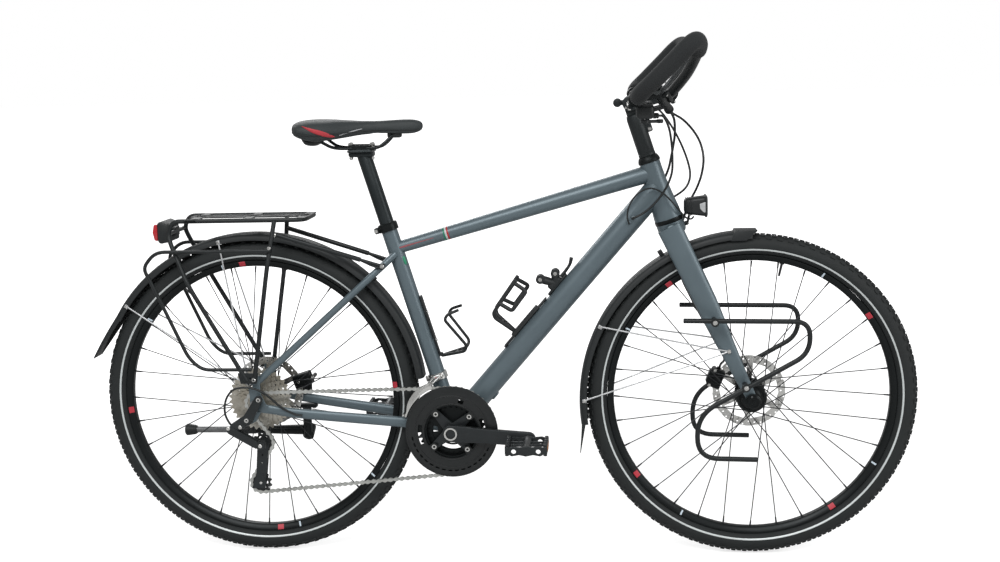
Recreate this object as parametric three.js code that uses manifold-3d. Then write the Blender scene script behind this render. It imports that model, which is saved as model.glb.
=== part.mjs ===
// A touring bicycle with a butterfly handlebar, disc brakes, mudguards, racks and lights.
// In millimetres: +X points forward, +Y to the rider's left and +Z up. The tyres stand on z = 0,
// and the origin lies on the ground below the middle of the bicycle.

import * as THREE from "three";
import { mergeVertices } from "three/addons/utils/BufferGeometryUtils.js";
import Module from "manifold-3d";

// Clearances
const gap = 0.3; // between pieces that touch
const runningGap = 1; // between a turning piece and what stands beside it
const overrun = 4; // how far a cutter passes the faces that it cuts

// Wheels
const beadRadius = 311;
const tyreHeight = 45; // from the bead to the tread
const tyreRadius = beadRadius + tyreHeight;
const tyreWidth = 45;
const tyreSpacing = 371; // between the two tyres
const wheelbase = 2 * tyreRadius + tyreSpacing;
const rimWidth = 27;
const rimDepth = 14;
const wheelSegments = 40;
const spokesPerWheel = 32;
const spokeThickness = 1.8;
const spokeCrossings = 3;
const flangeThickness = 3;
const axleRadius = 5;
const axleCapRadius = 10;
const axleCapThickness = 7;
const brakeDiscRadius = 80;
const brakeDiscBand = 14;
const brakeDiscThickness = 1.8;
const brakeDiscBore = 17;

// Front hub with its dynamo
const frontDropoutSpacing = 100;
const frontFlangeRadius = 33;
const frontFlangeOffset = 24;
const dynamoShellRadius = 27;
const frontDiscOffset = 39;
const hubNeckRadius = 21;

// Rear hub
const rearDropoutSpacing = 135;
const rearFlangeRadius = 27;
const rearLeftFlangeOffset = 32;
const rearRightFlangeOffset = 19;
const rearHubRadius = 17;
const rearDiscOffset = 52;

// Frame
const shellRoom = 81; // from the rear tyre to the bottom bracket's axis
const chainstayLength = tyreRadius + shellRoom;
const bottomBracketDrop = 67;
const seatAngle = 73.4;
const headAngle = 72;
const forkRake = 47;
const crownRoom = 61; // from the front tyre to the head tube
const forkLength = tyreRadius + crownRoom; // along the steering axis, from the axle to the head tube
const headTubeLength = 135;
const headTubeRadius = 22;
const headTubeFlareRadius = 30;
const headTubeBore = 16;
const headCupRadius = 24;
const headCupHeight = 14;
const seatTubeLength = 472;
const seatTubeRadius = 17.5;
const seatpostRadius = 15.8;
const seatTubeBoreDepth = 262;
const topTubeSeatRadius = 13.5;
const topTubeHeadRadius = 19;
const topTubeSeatDrop = 56; // below the top of the seat tube
const topTubeHeadDrop = 23; // below the top of the head tube
const downTubeRadius = 26;
const downTubeHeadRise = 79; // above the bottom of the head tube
const shellRadius = 22;
const shellWidth = 68;
const spindleRadius = 12;
const chainstayHeight = 24;
const chainstayWidth = 14;
const seatstayRadius = 7.5;
const seatstayTopDrop = 66; // below the top of the seat tube
const seatstayFoot = 42; // above the rear axle
const dropoutThickness = 6;
const dropoutReach = 74;
const bridgeRadius = 6;
const portDrop = 96; // of the lower cable port, below the down tube's top
const portSpacing = 14;
const portRadius = 3.6;
const portReach = 3;
const boltRadius = 3;

// Cranks, rings and pedals
const crankLength = 170;
const crankAngle = -4.4; // of the right crank, above the horizon
const crankOffset = 63; // from the centre plane to the right crank's inner face
const leftCrankOffset = 60;
const crankThickness = 13;
const crankBossRadius = 19;
const crankEndRadius = 16;
const ringPlane = 50; // of the outer ring, to the right of the centre plane
const ringSpacing = 6.6;
const ringThickness = 2;
const chainPitch = 12.7;
const outerRingTeeth = 48;
const middleRingTeeth = 36;
const innerRingTeeth = 26;
const ringBoltCircle = 52;
const ringBoltRadius = 5;
const ringRimDepth = 14;
const toothHeight = 2.3; // above the pitch circle
const guardRadius = 102;
const guardThickness = 3;
const guardWidth = 42;
const pedalLength = 92;
const pedalWidth = 84;
const pedalHeight = 24;
const pedalAxleRadius = 6;
const pedalBarrelRadius = 12;

// Gears and chain
const cassettePlane = 60; // of the smallest cog, to the right of the centre plane
const cogSpacing = 4.4;
const cogThickness = 1.8;
const cogTeeth = [11, 13, 15, 17, 20, 23, 26, 30, 34];
const pulleyTeeth = 11;
const pulleyThickness = 2.2;
const pulleyBoltRadius = 3;
const chainWidth = 6;
const chainDepth = 8.6;
const cageThickness = 1.5;
const frontBandUp = 118; // of the front derailleur's band, along the seat tube
const cageHalfSpacing = 4; // from the chain's plane to a plate's inner face
const cageWidth = 22;
const derailleurReach = 92; // between the two pulleys
const derailleurThickness = 18;

// Mudguards and their stays
const fenderRoom = 16; // from the tyre to the mudguard
const fenderRadius = tyreRadius + fenderRoom;
const fenderWidth = 54;
const fenderThickness = 2;
const fenderDepth = 15;
const frontFenderDrop = 10; // of the front mudguard's curve, below the axle's
const flapFlare = 16; // of a flap's tip, outward from the mudguard's curve
const stayRadius = 1.8;

// Rear rack and tail light
const rackTubeRadius = 5;
const rackHalfWidth = 58;
const rackFootOffset = 83.4; // of the feet, from the centre plane
const rackFootThickness = 4;
const rackPlateWidth = 40;
const rackPlateThickness = 3;
const rackBend = 26; // of the tubes' corners
const tailLightLength = 26;
const tailLightWidth = 74;
const tailLightHeight = 50;
const tailLensThickness = 12;

// Saddle and seatpost
const saddleLength = 287;
const saddleWidth = 166;
const saddleHeight = 63; // of its top above the rails' clamp
const railRadius = 3.5;
const seatpostLength = 363;
const seatpostHead = 175; // of the clamp's centre above the seat tube
const clampHeadWidth = 34;
const seatCollarHeight = 15;
const seatCollarThickness = 4;

// Fork, stem, headlight and lowriders
const steererRadius = 14.3;
const bladeTopRadius = 26;
const bladeMiddleRadius = 23;
const bladeLowRadius = 15;
const bladeEndRadius = 11;
const bladeFlatnessShare = 0.48;
const crownHeight = 26;
const bladeSpread = 41; // of the blades at the crown, from the centre plane
const stemBaseRadius = 18;
const stemBaseLength = 118;
const stemPivotRadius = 16;
const stemLugHalfWidth = 11;
const stemEarThickness = 8;
const stemReach = 85;
const barClampWidth = 44;
const barClampRadius = 19;
const headlightLength = 50;
const headlightRadius = 23;
const headlightReach = 63; // ahead of the steering axis
const headlightRise = 15; // above the crown, along the steering axis
const headlightDrop = 29; // of its bracket's foot on the crown, below it
const lensThickness = 6;
const lowriderReachShare = 0.2878; // of the fork's length, from the axle to the lowrider's bends
const lowriderReach = forkLength * lowriderReachShare;
const lowriderTubeRadius = 5;
const lowriderOffset = 95; // from the centre plane
const caliperLength = 44;
const caliperWidth = 27;
const caliperTurn = 18; // of the rear caliper, above the horizon ahead of the axle
const frontCaliperTurn = 158; // of the front caliper, behind the blade

// Handlebar and controls
const barHalfWidth = 297;
const barRise = 104;
const barRadius = 11.1;
const barCentreRadius = 12.7;
const gripRadius = 17.5;
const leverLength = 80;
const leverRadius = 4.5;
const masterRadius = 10;
const shifterLength = 36;
const shiftLeverLength = 42;
const hoseRadius = 2.6;
const cableRadius = 2.4;
const leadRadius = 1.8;

// Bottle cages, strap holder and kickstand
const cageWireRadius = 2.6;
const bottleRadius = 38;
const bottleCageLength = 142;
const downCageUp = 282; // of the cage's middle, along the down tube
const strapHolderLength = 60;
const strapHolderUp = 392; // of its middle, along the down tube
const kickstandLength = 293;
const kickstandRadius = 9;
const kickstandPivotRadius = 13;
const kickstandTilt = 30;
const kickstandDrop = 82; // from the chainstay's axis to the pivot

const wasm = await Module();
wasm.setup();

const V = (x, y, z) => new THREE.Vector3(x, y, z);
const radians = THREE.MathUtils.degToRad;
const mirrorY = (p) => V(p.x, -p.y, p.z);

// Solids

// A closed geometry as a solid, which can be joined and cut.
function solid(geometry) {
  const bare = geometry.index ? geometry.toNonIndexed() : geometry.clone();
  bare.deleteAttribute("normal");
  bare.deleteAttribute("uv");
  const merged = mergeVertices(bare);
  const mesh = new wasm.Mesh({
    numProp: 3,
    vertProperties: merged.attributes.position.array,
    triVerts: new Uint32Array(merged.index.array),
  });
  return new wasm.Manifold(mesh);
}

function geometryOf(body) {
  const mesh = body.getMesh();
  const geometry = new THREE.BufferGeometry();
  geometry.setAttribute("position", new THREE.BufferAttribute(mesh.vertProperties, 3));
  geometry.setIndex(new THREE.BufferAttribute(mesh.triVerts, 1));
  return geometry;
}

const join = (...geometries) => geometryOf(geometries.map(solid).reduce((a, b) => a.add(b)));
const cut = (geometry, ...cutters) =>
  geometryOf(cutters.map(solid).reduce((a, b) => a.subtract(b), solid(geometry)));

// Basic shapes

// A straight tube between two points, tapered, and flattened sideways by a share.
function strut(a, b, radiusA, radiusB = radiusA, sides = 8, flatnessShare = 1) {
  const along = b.clone().sub(a);
  const length = along.length();
  along.normalize();
  const reference = Math.abs(along.y) > Math.SQRT1_2 ? V(1, 0, 0) : V(0, 1, 0);
  const across = reference.sub(along.clone().multiplyScalar(reference.dot(along))).normalize();
  const upright = across.clone().cross(along);
  const geometry = new THREE.CylinderGeometry(radiusB, radiusA, length, sides);
  geometry.rotateY(Math.PI / sides);
  geometry.scale(flatnessShare, 1, 1);
  geometry.applyMatrix4(new THREE.Matrix4().makeBasis(across, along, upright));
  const middle = a.clone().add(b).divideScalar(2);
  return geometry.translate(middle.x, middle.y, middle.z);
}

// A route that a section is swept along, with one ring at each of its points.
class Route extends THREE.Curve {
  constructor(points) {
    super();
    this.points = points;
    this.runs = points.length - 1;
  }
  getPoint(t) {
    return this.points[Math.round(t * this.runs)].clone();
  }
  getPointAt(t) {
    return this.getPoint(t);
  }
  getTangentAt(t) {
    const here = Math.round(t * this.runs);
    const before = this.points[Math.max(here - 1, 0)];
    const after = this.points[Math.min(here + 1, this.runs)];
    const into = this.points[here].clone().sub(before).normalize();
    const outOf = after.clone().sub(this.points[here]).normalize();
    return into.add(outOf).normalize();
  }
}

// The points with each inner corner rounded off.
function rounded(points, bend, steps = 2) {
  const out = [points[0]];
  for (let i = 1; i < points.length - 1; i++) {
    const back = points[i - 1].clone().sub(points[i]);
    const on = points[i + 1].clone().sub(points[i]);
    const reach = Math.min(bend, back.length() / 2.2, on.length() / 2.2);
    const start = points[i].clone().add(back.setLength(reach));
    const end = points[i].clone().add(on.setLength(reach));
    out.push(...new THREE.QuadraticBezierCurve3(start, points[i], end).getPoints(steps));
  }
  out.push(points[points.length - 1]);
  return out;
}

// How far a many-sided tube's flats lie from its axis, and the radius that puts them at a distance.
const flat = (radius, sides) => radius * Math.cos(Math.PI / sides);
const aroundFlat = (radius, sides) => radius / Math.cos(Math.PI / sides);

function polygon(radius, sides) {
  const shape = [];
  for (let i = 0; i < sides; i++) {
    const angle = (2 * Math.PI * (i + 0.5)) / sides;
    shape.push(new THREE.Vector2(radius * Math.cos(angle), radius * Math.sin(angle)));
  }
  return shape;
}

// A section swept along a route of points.
function sweep(section, points, holes = []) {
  const shape = new THREE.Shape(section);
  shape.holes.push(...holes.map((hole) => new THREE.Path(hole)));
  const extrudePath = new Route(points);
  return new THREE.ExtrudeGeometry(shape, {
    steps: points.length - 1,
    extrudePath,
    bevelEnabled: false,
  });
}

const tube = (points, radius, sides = 6) => sweep(polygon(radius, sides), points);

// A ring or a turned piece about the Y axis, from [radius, y] pairs.
function turned(profile, segments) {
  const points = profile.map(([r, y]) => new THREE.Vector2(r, y));
  const onAxis = profile[0][0] === 0 && profile[profile.length - 1][0] === 0;
  if (THREE.ShapeUtils.area(points) < 0) points.reverse();
  if (!onAxis) points.push(points[0].clone());
  return new THREE.LatheGeometry(points, segments);
}

// A plate in the XZ plane between two places on Y, from an outline of [x, z] pairs.
function plate(outline, yLow, yHigh, holes = []) {
  const corners = outline.map(([x, z]) => new THREE.Vector2(x, z));
  if (THREE.ShapeUtils.isClockWise(corners)) corners.reverse();
  const shape = new THREE.Shape(corners);
  for (const hole of holes) {
    shape.holes.push(new THREE.Path(hole.map(([x, z]) => new THREE.Vector2(x, z))));
  }
  const geometry = new THREE.ExtrudeGeometry(shape, { depth: yHigh - yLow, bevelEnabled: false });
  return geometry.rotateX(Math.PI / 2).translate(0, yHigh, 0);
}

function circle(x, z, radius, sides) {
  return polygon(radius, sides).map((p) => [x + p.x, z + p.y]);
}

// The outline round two circles: an arm, link or slot.
function armOutline(a, b, radiusA, radiusB, sides) {
  const angle = Math.atan2(b[1] - a[1], b[0] - a[0]);
  const outline = [];
  for (const [centre, radius, start] of [
    [a, radiusA, angle + Math.PI / 2],
    [b, radiusB, angle - Math.PI / 2],
  ]) {
    for (let i = 0; i <= sides; i++) {
      const turn = start + (Math.PI * i) / sides;
      outline.push([centre[0] + radius * Math.cos(turn), centre[1] + radius * Math.sin(turn)]);
    }
  }
  return outline;
}

// Outline points given as shares of one size.
const scaled = (shares, size) => shares.map((pair) => pair.map((share) => share * size));

function box(sizeX, sizeY, sizeZ, centre, tilt = 0) {
  const geometry = new THREE.BoxGeometry(sizeX, sizeY, sizeZ);
  return geometry.rotateY(-tilt).translate(centre.x, centre.y, centre.z);
}

// Rings of corners as one closed body, for forms that swell and taper. A loop has no ends.
function loft(rings, isLoop = false) {
  const positions = rings.flat().flatMap((p) => [p.x, p.y, p.z]);
  const count = rings[0].length;
  const last = (rings.length - 1) * count;
  const index = [];
  for (let i = 0; i < rings.length - (isLoop ? 0 : 1); i++) {
    const next = ((i + 1) % rings.length) * count;
    for (let j = 0; j < count; j++) {
      const k = (j + 1) % count;
      index.push(i * count + j, i * count + k, next + j);
      index.push(i * count + k, next + k, next + j);
    }
  }
  for (let j = 1; j < count - 1 && !isLoop; j++) {
    index.push(0, j + 1, j, last, last + j, last + j + 1);
  }
  const geometry = new THREE.BufferGeometry();
  geometry.setAttribute("position", new THREE.Float32BufferAttribute(positions, 3));
  geometry.setIndex(index);
  return geometry;
}

// A bent tube with its own radius at each point, flattened sideways by a share.
function taperedTube(points, radii, sides, flatnessShare = 1) {
  const route = new Route(points);
  const rings = points.map((point, i) => {
    const along = route.getTangentAt(i / route.runs);
    const across = V(0, 1, 0).addScaledVector(along, -along.y).normalize();
    const upright = along.clone().cross(across);
    return polygon(radii[i], sides).map((corner) =>
      point.clone()
        .addScaledVector(across, corner.x * flatnessShare)
        .addScaledVector(upright, corner.y),
    );
  });
  return loft(rings);
}

// Finishes

const finish = (color, roughness, metalness) => ({ color, roughness, metalness });
const slatePaint = finish(0x66727d, 0.55, 0.1);
const blackMetal = finish(0x26292c, 0.45, 0.5);
const blackPlastic = finish(0x222527, 0.6, 0);
const blackRubber = finish(0x26282a, 0.85, 0);
const silverMetal = finish(0xb9bbbc, 0.35, 0.9);
const chainSteel = finish(0x9a948a, 0.4, 0.8);
const redLens = finish(0xa01818, 0.3, 0);
const clearLens = finish(0xdfe5ea, 0.1, 0);

// Adds a named piece to a group.
function piece(group, name, geometry, look) {
  const mesh = new THREE.Mesh(geometry, new THREE.MeshStandardMaterial(look));
  mesh.name = name;
  group.add(mesh);
  return mesh;
}

function subgroup(parent, place, turn = 0) {
  const group = new THREE.Group();
  group.position.copy(place);
  group.rotation.y = turn;
  parent.add(group);
  return group;
}

// Layout. The rear axle is at zero here; the whole is set on the ground at the end.

const bicycle = new THREE.Group();
const pitchRadius = (teeth) => chainPitch / (2 * Math.sin(Math.PI / teeth));
const tipRadius = (teeth) => pitchRadius(teeth) + toothHeight;

const shellX = Math.sqrt(chainstayLength ** 2 - bottomBracketDrop ** 2);
const shellCentre = V(shellX, 0, -bottomBracketDrop);
const seatTilt = radians(90 - seatAngle);
const headTilt = radians(90 - headAngle);

// A point on or beside a tube's axis: a foot, a backward tilt, and distances up, forward and left.
function besideTube(foot, tilt, up, forward = 0, left = 0) {
  const x = foot.x - Math.sin(tilt) * up + Math.cos(tilt) * forward;
  const z = foot.z + Math.cos(tilt) * up + Math.sin(tilt) * forward;
  return V(x, left, z);
}
const frontAxle = V(wheelbase, 0, 0);
const steeringFoot = besideTube(frontAxle, headTilt, 0, -forkRake);
const bySeatTube = (up, forward, left) => besideTube(shellCentre, seatTilt, up, forward, left);
const bySteering = (up, forward, left) => besideTube(steeringFoot, headTilt, up, forward, left);

const downTubeTop = bySteering(forkLength + downTubeHeadRise);
const downTubeRun = downTubeTop.clone().sub(shellCentre);
const downTubeTilt = Math.atan2(-downTubeRun.x, downTubeRun.z);
const byDownTube = (up, forward, left) => besideTube(shellCentre, downTubeTilt, up, forward, left);
const portHeight = downTubeRun.length() - portDrop;
const rearDropoutCentre = rearDropoutSpacing / 2 + dropoutThickness / 2;
const frontDropoutCentre = frontDropoutSpacing / 2 + dropoutThickness / 2;

// Wheels

function addTyreAndRim(wheel, prefix) {
  const height = tyreRadius - beadRadius;
  const sectionShares = [
    [0.5, 0],
    [1, 0.4],
    [0.68, 0.86],
    [0, 1],
  ];
  const half = sectionShares.map(([out, up]) => [
    beadRadius + up * height,
    (out * tyreWidth) / 2,
  ]);
  const other = half.slice(0, -1).map(([r, y]) => [r, -y]);
  piece(wheel, prefix + "_tyre", turned([...half, ...other.reverse()], wheelSegments), blackRubber);
  const bed = beadRadius - gap;
  const rim = [
    [bed, rimWidth / 2],
    [bed, -rimWidth / 2],
    [bed - rimDepth, -rimWidth / 4],
    [bed - rimDepth, rimWidth / 4],
  ];
  piece(wheel, prefix + "_rim", turned(rim, wheelSegments), blackMetal);
}

// All spokes of one flange: half lead and half trail, heads on either side of the flange.
function spokesOf(flangeY, holeRadius) {
  const perFlange = spokesPerWheel / 2;
  const rimInside = (beadRadius - gap - rimDepth) * Math.cos(Math.PI / wheelSegments) - gap;
  const step = (2 * Math.PI) / perFlange;
  const lean = (spokeCrossings * 2 * step) / 2;
  const spokes = [];
  for (let i = 0; i < perFlange; i++) {
    const leads = i % 2 === 0 ? 1 : -1;
    const start = i * step;
    const end = start + leads * lean + (flangeY > 0 ? step / 2 : 0);
    const hubY = flangeY + leads * spokeThickness;
    const rimY = (Math.sign(flangeY) * 2 + leads * 0.6) * spokeThickness;
    const a = V(holeRadius * Math.cos(start), hubY, holeRadius * Math.sin(start));
    const b = V(rimInside * Math.cos(end), rimY, rimInside * Math.sin(end));
    spokes.push(strut(a, b, spokeThickness * 0.75, undefined, 3));
  }
  return spokes;
}

function brakeDisc(y) {
  const inner = brakeDiscRadius - brakeDiscBand;
  const armCount = 6;
  const windows = [];
  const windowShares = [
    [0.5, -0.62],
    [0.97, -0.78],
    [0.97, 0.36],
    [0.5, 0.2],
  ];
  for (let i = 0; i < armCount; i++) {
    const turn = (2 * Math.PI * i) / armCount;
    windows.push(
      windowShares.map(([out, around]) => {
        const angle = turn + (around * Math.PI) / armCount;
        return [inner * out * Math.cos(angle), inner * out * Math.sin(angle)];
      }),
    );
  }
  const half = brakeDiscThickness / 2;
  const rim = circle(0, 0, brakeDiscRadius, 30);
  const bore = circle(0, 0, brakeDiscBore, 10);
  return plate(rim, y - half, y + half, [bore, ...windows]);
}

// The static axle with a cap outside each dropout.
function axleBetween(spacing, extra) {
  const inside = spacing / 2 + dropoutThickness + extra + gap;
  const outside = inside + axleCapThickness;
  const profile = [
    [0, -outside],
    [axleCapRadius, -outside],
    [axleCapRadius, -inside],
    [axleRadius, -inside],
    [axleRadius, inside],
    [axleCapRadius, inside],
    [axleCapRadius, outside],
    [0, outside],
  ];
  return turned(profile, 12);
}

// A hub shell with its bore, neck for the brake disc, flanges and laced spokes.
function hubWithSpokes({ right, left, flangeRadius, shell, discY, end }) {
  const bore = axleRadius + gap;
  const half = flangeThickness / 2;
  const seat = discY - brakeDiscThickness / 2 - gap;
  const spigot = brakeDiscBore * Math.cos(Math.PI / 10) - gap;
  const profile = [
    [bore, -end],
    [spigot, -end],
    [shell, -right - half],
    [flangeRadius, -right - half],
    [flangeRadius, -right + half],
    [shell, -right + half],
    [shell, left - half],
    [flangeRadius, left - half],
    [flangeRadius, left + half],
    [hubNeckRadius, left + half],
    [hubNeckRadius, seat],
    [spigot, seat],
    [spigot, discY + brakeDiscThickness],
    [bore, discY + brakeDiscThickness],
  ];
  const hole = flangeRadius - flangeThickness;
  return join(turned(profile, 10), ...spokesOf(-right, hole), ...spokesOf(left, hole));
}

const rearWheel = subgroup(bicycle, V(0, 0, 0));
addTyreAndRim(rearWheel, "rear");
const rearHub = hubWithSpokes({
  right: rearRightFlangeOffset,
  left: rearLeftFlangeOffset,
  flangeRadius: rearFlangeRadius,
  shell: rearHubRadius,
  discY: rearDiscOffset,
  end: rearRightFlangeOffset + flangeThickness,
});
piece(rearWheel, "rear_hub", rearHub, blackMetal);
piece(rearWheel, "rear_brake_disc", brakeDisc(rearDiscOffset), silverMetal);

// Cogs as steps on one carrier, with a groove beside the smallest, which carries the chain.
function cassette() {
  const bore = axleRadius + gap;
  const grooveRadius = pitchRadius(cogTeeth[0]) - chainDepth / 2 - runningGap;
  const first = -cassettePlane;
  const half = cogThickness / 2;
  const profile = [
    [bore, first - chainWidth / 2],
    [grooveRadius, first - chainWidth / 2],
    [grooveRadius, first - half],
    [tipRadius(cogTeeth[0]), first - half],
    [tipRadius(cogTeeth[0]), first + half],
    [grooveRadius, first + half],
  ];
  cogTeeth.slice(1).forEach((teeth, i) => {
    const start = first + (i + 1) * cogSpacing - half;
    profile.push([profile[profile.length - 1][0], start]);
    profile.push([tipRadius(teeth), start]);
  });
  const last = first + (cogTeeth.length - 1) * cogSpacing + half;
  profile.push([tipRadius(cogTeeth[cogTeeth.length - 1]), last]);
  profile.push([bore, last]);
  return turned(profile, 18);
}
piece(rearWheel, "cassette", cassette(), chainSteel);
piece(bicycle, "rear_axle", axleBetween(rearDropoutSpacing, 0), silverMetal);

// Frame

const seatTop = bySeatTube(seatTubeLength);
const chainstayShares = [
  [0, 0.22, 0],
  [0.13, 0.38, 0],
  [0.3, 0.6, 0],
  [0.77, 0.95, -0.11],
  [0.93, 1, -0.1],
];
const stayRadiusShares = [1.1, 1, 1, 0.9, 0.8];
const seatstayShares = [
  [0, 0.22],
  [0.17, 0.56],
  [1, 0.95],
];
const mainTubeSides = 14;
const bridgeShare = 0.12; // of the seat stays' length, to their bridge
const rackBossShare = 0.08; // and to the rack's bolts

function chainstayPoint([along, out, up], side) {
  const x = shellX * (1 - along);
  const z = -bottomBracketDrop * (1 - along) + up * bottomBracketDrop;
  return V(x, side * out * rearDropoutCentre, z);
}
const seatstayTop = bySeatTube(seatTubeLength - seatstayTopDrop);
function seatstayPoint([along, out], side) {
  const x = seatstayTop.x * (1 - along);
  const z = seatstayTop.z + (seatstayFoot - seatstayTop.z) * along;
  return V(x, side * out * rearDropoutCentre, z);
}

// The dropout's outline, its two bolts and the derailleur's hanger, as shares of its reach.
const dropoutShares = [
  [-0.22, -0.19],
  [0.24, -0.27],
  [0.95, -0.36],
  [0.97, -0.14],
  [0.4, 0.1],
  [0.3, 0.42],
  [0.2, 0.86],
  [-0.26, 0.9],
  [-0.19, 0.22],
];
const rackBoltShares = [0.06, 0.78];
const hangerShares = [
  [-0.14, -0.14],
  [0.2, -0.2],
  [0.02, -0.52],
  [-0.12, -0.6],
  [-0.32, -0.56],
  [-0.36, -0.4],
];
const hangerBoltShares = [-0.2, -0.43];

function dropout(side) {
  const low = side * rearDropoutCentre - dropoutThickness / 2;
  const high = low + dropoutThickness;
  const axleHole = circle(0, 0, axleRadius + gap, 12);
  const body = plate(scaled(dropoutShares, dropoutReach), low, high, [axleHole]);
  if (side > 0) return body;
  return join(body, plate(scaled(hangerShares, dropoutReach), low, high));
}

function headTube() {
  const flareShares = [
    [headTubeFlareRadius, 0],
    [headTubeFlareRadius, 0.17],
    [headTubeRadius + (headTubeFlareRadius - headTubeRadius) / 2, 0.42],
    [headTubeRadius, 0.66],
    [headTubeRadius, 1],
  ];
  const outside = flareShares.map(([radius, share]) => [
    radius, forkLength + share * headTubeLength,
  ]);
  const top = forkLength + headTubeLength;
  outside.push([headCupRadius, top], [headCupRadius, top + headCupHeight]);
  const profile = [
    ...outside,
    [headTubeBore, top + headCupHeight],
    [headTubeBore, forkLength],
  ];
  // The turned piece stands along Y, and is set along the steering axis.
  return turned(profile, 16).rotateX(Math.PI / 2).rotateY(-headTilt)
    .translate(steeringFoot.x, 0, steeringFoot.z);
}

// A stay's point at a share of its length, between the rows of its table.
function seatstayAt(along, side) {
  const next = Math.max(1, seatstayShares.findIndex((row) => row[0] >= along));
  const [start, end] = [seatstayShares[next - 1], seatstayShares[next]];
  const share = (along - start[0]) / (end[0] - start[0]);
  return seatstayPoint([along, THREE.MathUtils.lerp(start[1], end[1], share)], side);
}

// A round bore across the frame or along one of its tubes.
const bore = (a, b, radius) => strut(a, b, radius / Math.cos(Math.PI / 16), undefined, 16);
const acrossShell = (y) => V(shellX, y, -bottomBracketDrop);

function mainTriangle() {
  const topTubeSeat = bySeatTube(seatTubeLength - topTubeSeatDrop);
  const topTubeHead = bySteering(forkLength + headTubeLength - topTubeHeadDrop);
  return [
    strut(shellCentre, seatTop, seatTubeRadius, seatTubeRadius, mainTubeSides),
    strut(topTubeSeat, topTubeHead, topTubeSeatRadius, topTubeHeadRadius, 12),
    strut(shellCentre, downTubeTop, downTubeRadius, downTubeRadius, mainTubeSides),
    strut(acrossShell(-shellWidth / 2), acrossShell(shellWidth / 2), shellRadius, undefined, 14),
    headTube(),
  ];
}

function rearTriangle(side) {
  const stay = chainstayShares.map((shares) => chainstayPoint(shares, side));
  const heights = stayRadiusShares.map((share) => (share * chainstayHeight) / 2);
  const seatstay = seatstayShares.map((shares) => seatstayPoint(shares, side));
  const seatstayRadii = seatstay.map(() => seatstayRadius);
  return [
    taperedTube(stay, heights, 8, chainstayWidth / chainstayHeight),
    taperedTube(seatstay, seatstayRadii, 8),
    dropout(side),
  ];
}

// The ports where hoses and cables enter the down tube, one above the other on each side.
function cablePorts() {
  const ports = [];
  for (const up of [portHeight, portHeight + portSpacing]) {
    for (const side of [-1, 1]) {
      const inner = byDownTube(up, 0, side * (downTubeRadius - portReach));
      const outer = byDownTube(up, 0, side * (downTubeRadius + portReach));
      ports.push(strut(inner, outer, portRadius * 1.3, portRadius, 5));
    }
  }
  return ports;
}

function frame() {
  const bridges = [
    strut(seatstayAt(bridgeShare, -1), seatstayAt(bridgeShare, 1), bridgeRadius, undefined, 6),
    strut(
      chainstayPoint(chainstayShares[1], -1), chainstayPoint(chainstayShares[1], 1),
      bridgeRadius, undefined, 6,
    ),
  ];
  const welded = join(
    ...mainTriangle(), ...rearTriangle(-1), ...rearTriangle(1), ...bridges, ...cablePorts(),
  );
  const headEnd = forkLength + headTubeLength + headCupHeight;
  return cut(
    welded,
    bore(
      bySeatTube(seatTubeLength - seatTubeBoreDepth), bySeatTube(seatTubeLength + overrun),
      seatpostRadius + gap,
    ),
    bore(bySteering(forkLength - overrun), bySteering(headEnd + overrun), headTubeBore),
    bore(
      acrossShell(-shellWidth / 2 - overrun), acrossShell(shellWidth / 2 + overrun),
      spindleRadius + gap,
    ),
  );
}
piece(bicycle, "frame", frame(), slatePaint);

// The collar round the top of the seat tube, with its bolt lugs behind.
function seatCollar() {
  const inner = seatTubeRadius + gap;
  const outer = inner + seatCollarThickness;
  const foot = bySeatTube(seatTubeLength - seatCollarHeight);
  const top = bySeatTube(seatTubeLength - gap);
  const band = strut(foot, top, outer, outer, 16);
  const lug = strut(
    bySeatTube(seatTubeLength - seatCollarHeight / 2, -outer, -outer / 2),
    bySeatTube(seatTubeLength - seatCollarHeight / 2, -outer, outer / 2),
    seatCollarHeight / 2.4,
  );
  const bore = strut(
    bySeatTube(seatTubeLength - seatCollarHeight - overrun), bySeatTube(seatTubeLength + overrun),
    inner / Math.cos(Math.PI / 16), undefined, 16,
  );
  return cut(join(band, lug), bore);
}
piece(bicycle, "seat_clamp", seatCollar(), blackMetal);

// Rear axle group: caliper, derailleur, pulleys and chain

// A caliper as a block with a slot for the brake disc, and a foot towards the frame or fork.
function caliper(centre, turn, discCentre, discY, foot) {
  const body = box(
    caliperLength, caliperWidth, caliperLength * 0.7, V(centre.x, discY, centre.z), turn,
  );
  const bulge = strut(
    V(centre.x, discY + caliperWidth / 2 - gap, centre.z),
    V(centre.x, discY + caliperWidth / 2 + runningGap * 3, centre.z),
    caliperLength / 4,
  );
  const bodyWithFoot = join(body, bulge, foot);
  const slotHalf = brakeDiscThickness / 2 + runningGap / 2;
  const slot = turned(
    [
      [0, discY - slotHalf],
      [brakeDiscRadius + runningGap, discY - slotHalf],
      [brakeDiscRadius + runningGap, discY + slotHalf],
      [0, discY + slotHalf],
    ],
    32,
  ).translate(discCentre.x, 0, discCentre.z);
  return cut(bodyWithFoot, slot);
}

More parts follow.
